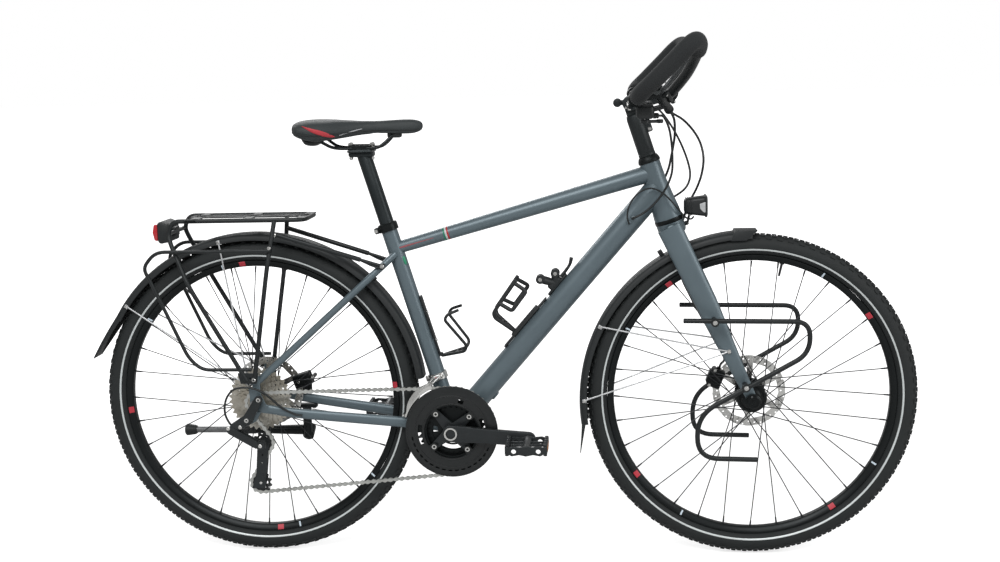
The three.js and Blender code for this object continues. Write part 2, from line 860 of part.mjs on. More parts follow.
const rearCaliperReach = brakeDiscRadius * 1.06;
const rearCaliperCentre = V(
  rearCaliperReach * Math.cos(radians(caliperTurn)), 0,
  rearCaliperReach * Math.sin(radians(caliperTurn)),
);
const caliperFootStay = chainstayPoint([1 - rearCaliperCentre.x / shellX, 0.93, -0.1], 1);
const rearCaliperFoot = strut(
  V(
    rearCaliperCentre.x, rearDiscOffset + caliperWidth / 4, rearCaliperCentre.z - caliperLength / 4,
  ),
  V(
    caliperFootStay.x,
    rearDiscOffset + caliperWidth / 4,
    caliperFootStay.z + chainstayHeight / 2 + gap,
  ),
  caliperWidth / 4,
);
const rearCaliper = caliper(
  rearCaliperCentre, radians(caliperTurn), V(0, 0, 0), rearDiscOffset, rearCaliperFoot,
);
piece(bicycle, "rear_caliper", rearCaliper, blackMetal);

const guideShares = [0.13, -0.98]; // of the derailleur's reach, from the rear axle
const guideCentre = V(guideShares[0] * derailleurReach, 0, guideShares[1] * derailleurReach);
const cageTurn = radians(-96);
const tensionCentre = V(
  guideCentre.x + derailleurReach * Math.cos(cageTurn), 0,
  guideCentre.z + derailleurReach * Math.sin(cageTurn),
);

function pulley(centre) {
  const bore = pulleyBoltRadius + gap;
  const half = pulleyThickness / 2;
  const tip = tipRadius(pulleyTeeth);
  const profile = [
    [bore, -half],
    [tip, -half],
    [tip, half],
    [bore, half],
  ];
  return turned(profile, 22).translate(centre.x, -cassettePlane, centre.z);
}
piece(bicycle, "guide_pulley", pulley(guideCentre), blackPlastic);
piece(bicycle, "tension_pulley", pulley(tensionCentre), blackPlastic);

function rearDerailleur() {
  const inner = cageHalfSpacing;
  const outer = cageHalfSpacing + cageThickness;
  const cage = armOutline(
    [guideCentre.x, guideCentre.z], [tensionCentre.x, tensionCentre.z],
    cageWidth / 2, cageWidth / 2.4, 5,
  );
  const far = plate(cage, -cassettePlane + inner, -cassettePlane + outer);
  const near = plate(cage, -cassettePlane - outer, -cassettePlane - inner);
  const bolts = [guideCentre, tensionCentre].map((centre) =>
    strut(
      V(centre.x, -cassettePlane - outer, centre.z),
      V(centre.x, -cassettePlane + outer, centre.z),
      pulleyBoltRadius,
    ),
  );
  const [hangerX, hangerZ] = scaled([hangerBoltShares], dropoutReach)[0];
  const hangerFace = -rearDropoutSpacing / 2 - dropoutThickness - gap;
  const bodyPlane = hangerFace - derailleurThickness / 2;
  const hanger = V(hangerX, bodyPlane, hangerZ);
  const elbow = V(-derailleurReach * 0.52, bodyPlane, guideCentre.z * 0.7);
  const knuckle = V(guideCentre.x, bodyPlane, guideCentre.z);
  const knuckleEnd = V(guideCentre.x, -cassettePlane - inner - gap, guideCentre.z);
  return join(
    far,
    near,
    ...bolts,
    strut(
      V(hangerX, hangerFace, hangerZ),
      V(hangerX, hangerFace - derailleurThickness, hangerZ),
      cageWidth / 2,
    ),
    strut(hanger, elbow, derailleurThickness / 2, derailleurThickness / 2.2, 6),
    strut(elbow, knuckle, derailleurThickness / 2.2, derailleurThickness / 2.4, 6),
    strut(
      V(guideCentre.x, bodyPlane - derailleurThickness / 2.4, guideCentre.z),
      knuckleEnd,
      cageWidth / 2.2,
    ),
  );
}
piece(bicycle, "rear_derailleur", rearDerailleur(), blackMetal);

// Where the chain's lean from one plane to the other starts and ends, from the rear axle forward.
const chainLeanShares = [0.13, 0.8];

// The chain's path: pitch circles in order round the loop, with the sense of each.
const chainCircles = [
  { centre: V(shellX, 0, -bottomBracketDrop), teeth: outerRingTeeth, sense: -1, steps: 11 },
  { centre: tensionCentre, teeth: pulleyTeeth, sense: -1, steps: 7 },
  { centre: guideCentre, teeth: pulleyTeeth, sense: 1, steps: 4 },
  { centre: V(0, 0, 0), teeth: cogTeeth[0], sense: -1, steps: 7 },
];

// Start and end of the straight run from one circle to the next, as angles round each.
function runBetween(from, to) {
  const across = Math.atan2(to.centre.z - from.centre.z, to.centre.x - from.centre.x);
  const distance = from.centre.distanceTo(to.centre);
  const radiusA = from.sense * pitchRadius(from.teeth);
  const radiusB = to.sense * pitchRadius(to.teeth);
  const lean = Math.acos((radiusA - radiusB) / distance);
  const normal = across - lean;
  return [
    from.sense > 0 ? normal : normal + Math.PI,
    to.sense > 0 ? normal : normal + Math.PI,
  ];
}

// The loop at a distance outside or inside the pitch line.
function chainLoop(offset) {
  const count = chainCircles.length;
  const loop = [];
  chainCircles.forEach((at, i) => {
    const before = chainCircles[(i + count - 1) % count];
    const after = chainCircles[(i + 1) % count];
    const start = runBetween(before, at)[1];
    const end = runBetween(at, after)[0];
    const turn = 2 * Math.PI;
    const onward = (angle) => ((angle % turn) + turn) % turn;
    const swept = at.sense > 0 ? onward(end - start) : -onward(start - end);
    const radius = pitchRadius(at.teeth) - at.sense * offset;
    for (let k = 0; k <= at.steps; k++) {
      const angle = start + (swept * k) / at.steps;
      loop.push([at.centre.x + radius * Math.cos(angle), at.centre.z + radius * Math.sin(angle)]);
    }
  });
  return loop;
}

// The chain's plane, which leans from the smallest cog's to the outer ring's.
function chainPlaneAt(x) {
  const share = THREE.MathUtils.inverseLerp(...chainLeanShares, x / shellX);
  return THREE.MathUtils.lerp(-cassettePlane, -ringPlane, THREE.MathUtils.clamp(share, 0, 1));
}

// The places along one run of the loop where it starts, and where its lean starts and ends.
function runSplits(start, end) {
  const at = (share) => THREE.MathUtils.inverseLerp(start[0], end[0], share * shellX);
  const inside = chainLeanShares.map(at).filter((t) => t > 0 && t < 1);
  return [0, ...inside.sort((a, b) => a - b)];
}

function chain() {
  const half = chainWidth / 2;
  const [middle, outside, inside] = [0, chainDepth / 2, -chainDepth / 2].map(chainLoop);
  const mix = (loop, i, t) => {
    const [start, end] = [loop[i], loop[(i + 1) % loop.length]];
    return start.map((value, k) => THREE.MathUtils.lerp(value, end[k], t));
  };
  const rings = middle.flatMap((start, i) =>
    runSplits(start, middle[(i + 1) % middle.length]).map((t) => {
      const y = chainPlaneAt(mix(middle, i, t)[0]);
      const [out, into] = [mix(outside, i, t), mix(inside, i, t)];
      return [
        V(into[0], y - half, into[1]),
        V(into[0], y + half, into[1]),
        V(out[0], y + half, out[1]),
        V(out[0], y - half, out[1]),
      ];
    }),
  );
  return cut(loft(rings, true), ...chainCircles.map(chainSlot));
}

// The room for one toothed wheel inside the chain.
function chainSlot({ centre, teeth }) {
  const onRing = teeth === outerRingTeeth;
  const y = onRing ? -ringPlane : -cassettePlane;
  const segments = onRing ? 28 : 16;
  const half = Math.max(pulleyThickness, ringThickness) / 2 + runningGap * 0.6;
  const reach = (tipRadius(teeth) + gap) / Math.cos(Math.PI / segments);
  const profile = [
    [0, y - half],
    [reach, y - half],
    [reach, y + half],
    [0, y + half],
  ];
  return turned(profile, segments).translate(centre.x, 0, centre.z);
}
piece(bicycle, "chain", chain(), chainSteel);

// Cranks and pedals, in a group at the bottom bracket, turned so that X runs along the right crank

const cranks = subgroup(bicycle, shellCentre, -radians(crankAngle));

function rightCrank() {
  const boss = strut(
    V(0, -shellWidth / 2 - runningGap, 0), V(
      0, -crankOffset - crankThickness, 0,
    ), crankBossRadius, undefined, 16,
  );
  const arm = plate(
    armOutline([0, 0], [crankLength, 0], crankBossRadius, crankEndRadius, 6),
    -crankOffset - crankThickness, -crankOffset,
  );
  const half = ringThickness / 2;
  const rings = [outerRingTeeth, middleRingTeeth, innerRingTeeth].map((teeth, i) => {
    const y = -ringPlane + i * ringSpacing;
    const outside = pitchRadius(teeth) + toothHeight;
    const inside = Math.min(outside - ringRimDepth, ringBoltCircle + ringBoltRadius - runningGap);
    const profile = [
      [i === 2 ? ringBoltCircle - ringBoltRadius : inside, y - half],
      [outside, y - half],
      [outside, y + half],
      [i === 2 ? ringBoltCircle - ringBoltRadius : inside, y + half],
    ];
    return turned(profile, i === 0 ? 32 : 20);
  });
  const spider = [];
  for (let i = 0; i < 4; i++) {
    const angle = (Math.PI * (2 * i + 1)) / 4;
    const bolt = [ringBoltCircle * Math.cos(angle), ringBoltCircle * Math.sin(angle)];
    spider.push(plate(
      armOutline([0, 0], bolt, crankBossRadius * 0.7, ringBoltRadius * 1.5, 3),
      -ringPlane - half,
      -ringPlane + ringSpacing / 2,
    ));
    spider.push(strut(
      V(bolt[0], -ringPlane, bolt[1]),
      V(bolt[0], -ringPlane + 2 * ringSpacing, bolt[1]),
      ringBoltRadius,
      undefined,
      5,
    ));
  }
  const collar = strut(
    V(0, -ringPlane, 0), V(0, -crankOffset - runningGap, 0), crankBossRadius, undefined, 16,
  );
  const pedalAxle = strut(
    V(crankLength, -crankOffset - crankThickness + runningGap, 0),
    V(crankLength, -crankOffset - crankThickness - pedalWidth * 0.9, 0),
    pedalAxleRadius, undefined, 8,
  );
  const bore = strut(V(0, 0, 0), V(0, -crankOffset, 0), spindleRadius * 0.8, undefined, 12);
  return cut(join(boss, arm, ...rings, ...spider, collar, pedalAxle), bore);
}

function leftCrank() {
  const end = -crankOffset + runningGap;
  const spindle = strut(
    V(0, leftCrankOffset + runningGap, 0), V(0, -shellWidth / 2, 0), spindleRadius, undefined, 12,
  );
  const spigot = strut(
    V(0, 0, 0), V(0, end, 0), spindleRadius * 0.8 * Math.cos(Math.PI / 12) - gap, undefined, 12,
  );
  const boss = strut(
    V(0, shellWidth / 2 + runningGap, 0),
    V(0, leftCrankOffset + crankThickness, 0),
    crankBossRadius,
    undefined,
    12,
  );
  const arm = plate(
    armOutline([0, 0], [-crankLength, 0], crankBossRadius, crankEndRadius, 6),
    leftCrankOffset, leftCrankOffset + crankThickness,
  );
  const pedalAxle = strut(
    V(-crankLength, leftCrankOffset + crankThickness - runningGap, 0),
    V(-crankLength, leftCrankOffset + crankThickness + pedalWidth * 0.9, 0),
    pedalAxleRadius, undefined, 8,
  );
  return join(spindle, spigot, boss, arm, pedalAxle);
}

function chainGuard() {
  const inner = -ringPlane - chainWidth / 2 - runningGap;
  const profile = [
    [guardRadius - guardWidth, inner - guardThickness],
    [guardRadius, inner - guardThickness],
    [guardRadius, inner],
    [guardRadius - guardWidth, inner],
  ];
  const parts = [turned(profile, 32)];
  for (let i = 0; i < 4; i++) {
    const angle = (Math.PI * (2 * i + 1)) / 4;
    const tab = (radius) => [radius * Math.cos(angle), radius * Math.sin(angle)];
    parts.push(plate(
      armOutline(
        tab(ringBoltCircle),
        tab(guardRadius - guardWidth / 2),
        ringBoltRadius * 1.6,
        ringBoltRadius * 2,
        3,
      ),
      inner - guardThickness,
      inner,
    ));
    const [x, z] = tab(ringBoltCircle);
    parts.push(strut(
      V(x, inner - runningGap, z), V(x, -ringPlane - ringThickness / 2 - gap, z), ringBoltRadius,
    ));
  }
  return join(...parts);
}

// A platform pedal round its axle, level with the ground.
function pedal(x, side, crankFace) {
  const inside = crankFace + runningGap * 3;
  const outside = inside + pedalWidth;
  const low = Math.min(side * inside, side * outside);
  const high = Math.max(side * inside, side * outside);
  const half = pedalLength / 2;
  const rail = pedalLength / 9;
  const windowInner = pedalBarrelRadius + gap;
  const wall = pedalWidth / 9;
  const outline = scaled(
    [
      [-1, -0.6],
      [-0.8, -1],
      [0.8, -1],
      [1, -0.6],
      [1, 0.6],
      [0.8, 1],
      [-0.8, 1],
      [-1, 0.6],
    ],
    1,
  ).map(([shareX, shareZ]) => [shareX * half, (shareZ * pedalHeight) / 2]);
  const body = plate(outline, low, high);
  const windows = [-1, 1].map((way) => {
    const length = half - rail - windowInner;
    return box(
      length,
      pedalWidth - 2 * wall,
      pedalHeight * 2,
      V(way * (windowInner + length / 2), (low + high) / 2, 0),
    );
  });
  const barrel = strut(V(0, low, 0), V(0, high, 0), pedalBarrelRadius, undefined, 10);
  const bore = strut(
    V(0, side * (inside - overrun), 0), V(0, side * (outside - wall / 2), 0),
    (pedalAxleRadius + gap) / Math.cos(Math.PI / 8), undefined, 8,
  );
  const made = cut(join(cut(body, ...windows), barrel), bore);
  made.rotateY(radians(crankAngle));
  return made.translate(x, 0, 0);
}

piece(cranks, "right_crank", rightCrank(), blackMetal);
piece(cranks, "chain_guard", chainGuard(), blackPlastic);
piece(cranks, "left_crank", leftCrank(), blackMetal);
piece(cranks, "right_pedal", pedal(crankLength, -1, crankOffset + crankThickness), blackMetal);
piece(cranks, "left_pedal", pedal(-crankLength, 1, leftCrankOffset + crankThickness), blackMetal);

// The front derailleur's cage follows the outer ring and hangs from a band on the seat tube.
const cageAngles = [112, 122, 132, 142, 152, 162];
function frontDerailleur() {
  const inside = guardRadius + runningGap * 2;
  const outside = inside + ringRimDepth;
  const at = (radius, angle) => [
    shellX + radius * Math.cos(radians(angle)),
    -bottomBracketDrop + radius * Math.sin(radians(angle)),
  ];
  const outline = [
    ...cageAngles.map((angle) => at(inside, angle)),
    ...cageAngles.map((angle) => at(outside, angle)).reverse(),
  ];
  const innerFace = -ringPlane + chainWidth / 2 + runningGap * 3;
  const outerFace = -ringPlane - chainWidth / 2 - runningGap * 3;
  const innerPlate = plate(outline, innerFace, innerFace + cageThickness);
  const outerPlate = plate(outline, outerFace - cageThickness, outerFace);
  const bridgeAt = (radius, angle) => {
    const [x, z] = at(radius, angle);
    return strut(
      V(x, outerFace - cageThickness, z), V(x, innerFace + cageThickness, z), cageThickness * 2,
    );
  };
  const outer = seatTubeRadius + gap + seatCollarThickness;
  const bandFoot = bySeatTube(frontBandUp - seatCollarHeight / 2);
  const bandTop = bySeatTube(frontBandUp + seatCollarHeight / 2);
  const band = strut(bandFoot, bandTop, outer, outer, 12);
  const bore = strut(
    bySeatTube(frontBandUp - seatCollarHeight), bySeatTube(frontBandUp + seatCollarHeight),
    (seatTubeRadius + gap) / Math.cos(Math.PI / 16), undefined, 16,
  );
  const [armX, armZ] = at(outside - cageThickness, cageAngles[0]);
  const bandSide = bySeatTube(frontBandUp, 0, -outer);
  const arm = strut(
    bandSide,
    V(armX, innerFace + cageThickness / 2, armZ),
    seatCollarHeight / 2.2,
    cageThickness * 3,
    6,
  );
  const reach = outside - cageThickness;
  return cut(
    join(
      innerPlate,
      outerPlate,
      bridgeAt(reach, cageAngles[0]),
      bridgeAt(reach, cageAngles[5]),
      band,
      arm,
    ),
    bore,
  );
}
piece(bicycle, "front_derailleur", frontDerailleur(), silverMetal);

// Mudguards

// A curved blade about an axle from one angle to another, in degrees above the forward horizon.
function fenderBlade(start, end, steps) {
  const path = [];
  for (let i = 0; i <= steps; i++) {
    const angle = radians(start + ((end - start) * i) / steps);
    path.push(V(fenderRadius * Math.cos(angle), 0, fenderRadius * Math.sin(angle)));
  }
  const half = fenderWidth / 2;
  const crownShares = [
    [-1, -1],
    [-0.9, -0.36],
    [-0.42, 0],
    [0.42, 0],
    [0.9, -0.36],
    [1, -1],
  ];
  const outside = crownShares.map(([across, up]) => new THREE.Vector2(
    across * half, up * fenderDepth,
  ));
  const inside = crownShares
    .map(([across, up]) => new THREE.Vector2(
      across * (half - fenderThickness), up * fenderDepth - fenderThickness,
    ))
    .reverse();
  inside[0].y = -fenderDepth;
  inside[inside.length - 1].y = -fenderDepth;
  return sweep([...outside, ...inside], path);
}

// The flap at a mudguard's lower end, flaring away from the tyre.
function fenderFlap(angle, span, flare) {
  const at = (degrees, radius) => {
    const turn = radians(degrees);
    return V(radius * Math.cos(turn), 0, radius * Math.sin(turn));
  };
  const top = at(angle - 3, fenderRadius - fenderThickness * 2);
  const tip = at(angle + span, fenderRadius + flare);
  const back = strut(
    top, tip, fenderThickness, fenderThickness, 4, fenderWidth / (fenderThickness * 2) / 1.02,
  );
  const inner = at(angle - 3, fenderRadius - fenderDepth);
  const wall = [top, tip, inner].map((place) => [place.x, place.z]);
  const wallY = fenderWidth / 2 - fenderThickness * 2;
  return join(
    back,
    plate(wall, wallY, wallY + fenderThickness),
    plate(wall, -wallY - fenderThickness, -wallY),
  );
}

// Wire stays from an eye on each side to the mudguard's edges. The eye's Y is its inner face.
function fenderStays(eye, angles) {
  const edge = fenderRadius - fenderDepth * 0.6;
  const parts = [];
  for (const side of [-1, 1]) {
    const wireY = side * (eye.y + stayRadius);
    const outer = V(eye.x, side * (eye.y + stayRadius * 2), eye.z);
    parts.push(strut(V(eye.x, side * eye.y, eye.z), outer, boltRadius * 1.5, undefined, 6));
    for (const angle of angles) {
      const turn = radians(angle);
      const end = V(
        edge * Math.cos(turn), side * (fenderWidth - fenderThickness) / 2, edge * Math.sin(turn),
      );
      const start = V(eye.x, wireY, eye.z);
      const knee = start.clone().lerp(end, stayKneeShare).setY(wireY);
      parts.push(taperedTube([start, knee, end], [stayRadius, stayRadius, stayRadius], 5));
    }
  }
  return parts;
}

const stayEyeShares = [-0.08, 0.55]; // of the dropout's reach, for the mudguard's stays
const stayKneeShare = 0.16; // of a stay's length, before it turns inward
const [rackBoltX, rackBoltZ] = scaled([rackBoltShares], dropoutReach)[0];
const [stayEyeX, stayEyeZ] = scaled([stayEyeShares], dropoutReach)[0];
const rearStayEye = V(stayEyeX, rearDropoutSpacing / 2 + dropoutThickness + gap, stayEyeZ);
const rearFenderAngles = [7, 150];
const frontFenderAngles = [86, 188];
const rearFenderSegments = 14;
const frontFenderSegments = 10;
const rearStayAngles = [102, 144];
const frontStayAngles = [154, 181];
const rearFlapAngle = 16;
const frontFlapAngle = 9;

const rearFender = join(
  fenderBlade(...rearFenderAngles, rearFenderSegments),
  fenderFlap(rearFenderAngles[1], rearFlapAngle, flapFlare),
  ...fenderStays(rearStayEye, rearStayAngles),
);
piece(bicycle, "rear_fender", rearFender, blackPlastic);

// Rear rack

// Places on the rack as shares of the tyre's radius, from the rear axle: along X, then up.
const rackHeightShare = 1.136;
const rackDeckShares = [-0.46, 0.355];
const rackStrutShares = [0.165, 1.05];
const rackLegRearShares = [
  [-0.46, 1.136],
  [-0.495, 1.06],
  [-0.475, 0.997],
  [-0.365, 0.75],
  [-0.033, 0.154],
];
const rackLegFrontShares = [
  [0.17, 1.13],
  [0.13, 0.86],
  [0.015, 0.154],
];
const rackRailShares = [
  [0.16, 0.958],
  [-0.56, 0.958],
  [-0.64, 0.86],
  [-0.6, 0.78],
  [-0.39, 0.3],
  [-0.31, 0.225],
  [0, 0.225],
];
const rackCrossShares = [-0.33, 0, 0.33];
const rackFootShares = [
  [-0.34, 0.66],
  [0.13, 0.66],
  [0.2, 0.98],
  [-0.42, 0.98],
];

const rackPoint = ([x, z], y) => V(x * tyreRadius, y, z * tyreRadius);

function rearRack() {
  const parts = [];
  const rearX = rackDeckShares[0] * tyreRadius;
  const frontX = rackDeckShares[1] * tyreRadius;
  const top = rackHeightShare * tyreRadius;
  const deck = [
    V(rearX + rackBend, -rackHalfWidth, top),
    V(frontX, -rackHalfWidth, top),
    V(frontX, rackHalfWidth, top),
    V(rearX + rackBend, rackHalfWidth, top),
  ];
  parts.push(tube(rounded(deck, rackBend), rackTubeRadius));
  for (const side of [-1, 1]) {
    const y = side * rackHalfWidth;
    const foot = side * rackFootOffset;
    const legY = [
      y, y, side * (rackHalfWidth * 0.75 + rackFootOffset * 0.25), side * rackFootOffset, foot,
    ];
    const rearLeg = rackLegRearShares.map((shares, i) => rackPoint(shares, legY[i]));
    rearLeg.unshift(V(rearX + rackBend * 2, y, top));
    parts.push(tube(rounded(rearLeg, rackBend, 1), rackTubeRadius));
    const frontLeg = rackLegFrontShares.map((shares, i) => rackPoint(shares, [y, foot, foot][i]));
    parts.push(tube(rounded(frontLeg, rackBend, 1), rackTubeRadius));
    const rail = rackRailShares.map((shares) => rackPoint(shares, foot));
    parts.push(tube(rounded(rail, rackBend, 1), rackTubeRadius * 0.8, 5));
    const boss = seatstayAt(rackBossShare, side);
    const bossY = boss.y + side * (seatstayRadius + rackTubeRadius * 2.6);
    const strutStart = rackPoint(rackStrutShares, y);
    const strutEnd = V(boss.x, bossY, boss.z);
    parts.push(tube(
      [strutStart, strutEnd],
      rackTubeRadius,
      5,
    ));
    const eye = V(boss.x, boss.y + side * (seatstayRadius * 1.25 + gap), boss.z);
    parts.push(strut(
      strutEnd.clone().add(V(0, side * rackTubeRadius, 0)), eye, rackTubeRadius, undefined, 6,
    ));
    const outer = foot - rackFootThickness / 2;
    parts.push(plate(scaled(rackFootShares, dropoutReach), outer, outer + rackFootThickness));
    const boltStart = V(
      rackBoltX, side * (rearDropoutSpacing / 2 + dropoutThickness + gap), rackBoltZ,
    );
    const boltHead = V(rackBoltX, foot + side * rackFootThickness, rackBoltZ);
    parts.push(strut(boltStart, boltHead, boltRadius * 1.3, undefined, 6));
  }
  for (const share of rackCrossShares) {
    const x = share * tyreRadius;
    const bar = box(
      rackPlateWidth / 2,
      2 * rackHalfWidth,
      rackPlateThickness,
      V(x, 0, top + rackTubeRadius * 0.6),
    );
    parts.push(bar);
  }
  const plateLength = frontX - rearX - rackBend;
  parts.push(box(
    plateLength,
    rackPlateWidth,
    rackPlateThickness,
    V((frontX + rearX + rackBend) / 2, 0, top + rackTubeRadius * 0.6),
  ));
  const rearBar = V(rackLegRearShares[1][0] * tyreRadius, 0, rackLegRearShares[1][1] * tyreRadius);
  const barY = rackHalfWidth;
  parts.push(strut(
    V(rearBar.x, -barY, rearBar.z),
    V(rearBar.x, barY, rearBar.z),
    rackTubeRadius * 0.9,
    undefined,
    6,
  ));
  return join(...parts);
}
piece(bicycle, "rear_rack", rearRack(), blackMetal);

// Tail light on the rack's rear bar
const tailFaceX = rackLegRearShares[1][0] * tyreRadius - rackTubeRadius;
const tailZ = rackLegRearShares[1][1] * tyreRadius;
const tailShares = [
  [0, -0.42],
  [-0.8, -0.5],
  [-1, -0.4],
  [-1, 0.42],
  [-0.7, 0.5],
  [0, 0.34],
];
const tailBody = plate(
  tailShares.map(([x, z]) => [tailFaceX - gap + x * tailLightLength, tailZ + z * tailLightHeight]),
  -tailLightWidth / 2, tailLightWidth / 2,
);
piece(bicycle, "tail_light", tailBody, blackPlastic);
const lensShares = [
  [0, -0.42],
  [-0.7, -0.38],
  [-1, 0],
  [-0.7, 0.38],
  [0, 0.42],
];
const tailLens = plate(
  lensShares.map(([x, z]) => [
    tailFaceX - gap * 2 - tailLightLength + x * tailLensThickness,
    tailZ + z * tailLightHeight * 0.92,
  ]),
  -tailLightWidth * 0.46, tailLightWidth * 0.46,
);
piece(bicycle, "tail_light_lens", tailLens, redLens);

// Saddle and seatpost

const clampCentre = bySeatTube(seatTubeLength + seatpostHead);
const saddleGroup = subgroup(bicycle, clampCentre);

// Stations from tail to nose: place along the length, half width, top and underside, as shares.
const saddleStationShares = [
  [-0.515, 0.5, 0.82, 0.62],
  [-0.49, 0.8, 0.93, 0.5],
  [-0.43, 0.97, 0.985, 0.38],
  [-0.34, 1, 1, 0.27],
  [-0.22, 0.86, 0.985, 0.3],
  [-0.1, 0.58, 0.955, 0.36],
  [0.03, 0.37, 0.935, 0.44],
  [0.16, 0.285, 0.94, 0.47],
  [0.3, 0.245, 0.965, 0.42],
  [0.4, 0.22, 0.965, 0.42],
  [0.455, 0.17, 0.9, 0.5],
  [0.484, 0.1, 0.8, 0.62],
];
// The section's corners: sideways share of the half width, and height share from underside to top.
const saddleSectionShares = [
  [0, 1],
  [0.42, 0.985],
  [0.74, 0.9],
  [0.93, 0.72],
  [1, 0.46],
  [0.96, 0.16],
  [0.86, 0],
  [0.4, 0.1],
  [0, 0.14],
];
const saddleDishShare = 0.05; // how far the middle of the crown sinks along the top

function saddle() {
  const section = [
    ...saddleSectionShares,
    ...saddleSectionShares.slice(1, -1).reverse().map(([y, z]) => [-y, z]),
  ];
  const rings = saddleStationShares.map(([x, width, top, bottom], station) => {
    const span = (top - bottom) * saddleHeight;
    const dish = station > 1 && station < saddleStationShares.length - 2 ? saddleDishShare : 0;
    return section.map(([across, up], corner) => {
      const sink = corner === 0 ? dish * span : 0;
      return V(
        x * saddleLength,
        (across * width * saddleWidth) / 2,
        bottom * saddleHeight + up * span - sink,
      );
    });
  });
  return loft(rings.map((ring) => ring.reverse()));
}

// The two rails are one wire, joined at the nose.
const railShares = [
  [-0.29, 0.24, 0.283],
  [-0.21, 0.17, 0.05],
  [-0.15, 0.134, 0],
  [0.14, 0.134, 0],
  [0.2, 0.1, 0.2],
  [0.25, 0.05, 0.4525],
];
const railHalf = railShares.map(([x, y, z]) =>
  V(x * saddleLength, y * saddleWidth, z * saddleHeight),
);
const railRoute = [...railHalf.map(mirrorY), ...railHalf.slice().reverse()];
piece(saddleGroup, "saddle", saddle(), blackRubber);
piece(
  saddleGroup, "saddle_rails", tube(rounded(railRoute, railRadius * 3, 1), railRadius), blackMetal,
);

function seatpost() {
  const foot = bySeatTube(seatTubeLength + seatpostHead - seatpostLength);
  const neck = bySeatTube(seatTubeLength + seatpostHead - clampHeadWidth * 0.6);
  const post = strut(foot, neck, seatpostRadius, seatpostRadius, 16);
  const head = box(
    clampHeadWidth * 1.6, clampHeadWidth, clampHeadWidth * 0.5,
    V(clampCentre.x, 0, clampCentre.z - clampHeadWidth * 0.38),
  );
  const yoke = strut(
    neck,
    V(clampCentre.x, 0, clampCentre.z - clampHeadWidth * 0.3),
    seatpostRadius,
    clampHeadWidth / 2.4,
    12,
  );
  const railY = railShares[2][1] * saddleWidth;
  const pad = box(
    clampHeadWidth * 1.5,
    railY * 2 + railRadius * 3,
    railRadius * 2.4,
    V(clampCentre.x, 0, clampCentre.z - railRadius * 0.2),
  );
  const jaw = box(
    clampHeadWidth * 1.7,
    railY * 2 + railRadius * 3,
    railRadius * 2,
    V(clampCentre.x, 0, clampCentre.z - railRadius * 1.6),
  );
  const stem = box(
    clampHeadWidth,
    clampHeadWidth * 0.8,
    railRadius * 2,
    V(clampCentre.x, 0, clampCentre.z - railRadius * 2.5),
  );
  const grooves = [-1, 1].map((side) =>
    strut(
      V(clampCentre.x - clampHeadWidth * 2, side * railY, clampCentre.z),
      V(clampCentre.x + clampHeadWidth * 2, side * railY, clampCentre.z),
      railRadius + gap * 2, undefined, 8,
    ),
  );
  return cut(join(post, head, yoke, pad, jaw, stem), ...grooves);
}
piece(bicycle, "seatpost", seatpost(), blackMetal);

// Bottle cages and strap holder

// One side of each cage, from its strip: outward and across as shares of the bottle's radius,
// then up as a share of half the cage's length. The wires end open, beside the bottle.
const seatCageShares = [
  [0.08, 0.07, -0.9],
  [0.08, 0.07, -1],
  [1.55, 0.6, -1.03],
  [1.77, 0.75, -0.86],
  [1.05, 0.98, 0.12],
  [1.3, 0.98, 0.25],
  [1.97, 0.75, 0.27],
];
const downCageShares = [
  [0.08, 0.07, -0.52],
  [0.08, 0.07, -0.42],
  [1.55, 0.6, -0.44],
  [1.8, 0.75, -0.33],
  [2.02, 0.8, 0.9],
];
const cageWindowShares = [
  [1.95, 0.8, 0.8],
  [1.18, 1.02, 0.86],
  [1.08, 1.02, 0.11],
  [1.88, 0.8, 0.02],
];

// A bottle cage on X = 0, standing along Z.
function bottleCage(wireShares, windowShares) {
  const half = bottleCageLength / 2;
  const standoff = flat(cageWireRadius, 6) + gap;
  const wire = (shares, side) => shares.map(([out, across, up]) => V(
    standoff + out * bottleRadius, side * across * bottleRadius, up * half,
  ));
  const wires = [-1, 1].map((side) => wire(wireShares, side));
  if (windowShares) wires.push(wire(windowShares, -1), wire(windowShares, 1));
  const [footRight, footLeft] = wires.map((points) => points[1].clone().lerp(points[2], 0.65));
  return join(
    strut(V(standoff, 0, -half), V(standoff, 0, half), cageWireRadius, undefined, 6, 2.2),
    ...wires.map((points) => tube(points, cageWireRadius, 5)),
    strut(footRight, footLeft, cageWireRadius, undefined, 5),
  );
}
const seatCageShare = 0.487; // of the seat tube's length, to the cage's middle
const seatCagePlace = bySeatTube(
  seatCageShare * seatTubeLength, flat(seatTubeRadius, mainTubeSides),
);
const seatCage = bottleCage(seatCageShares).rotateY(-seatTilt)
  .translate(seatCagePlace.x, 0, seatCagePlace.z);
piece(bicycle, "seat_tube_bottle_cage", seatCage, blackMetal);
// The down tube's cage stands on its upper side.
const downCagePlace = byDownTube(downCageUp, -flat(downTubeRadius, mainTubeSides));
const downCage = bottleCage(downCageShares, cageWindowShares).rotateZ(Math.PI)
  .rotateY(-downTubeTilt).translate(downCagePlace.x, 0, downCagePlace.z);
piece(bicycle, "down_tube_bottle_cage", downCage, blackMetal);

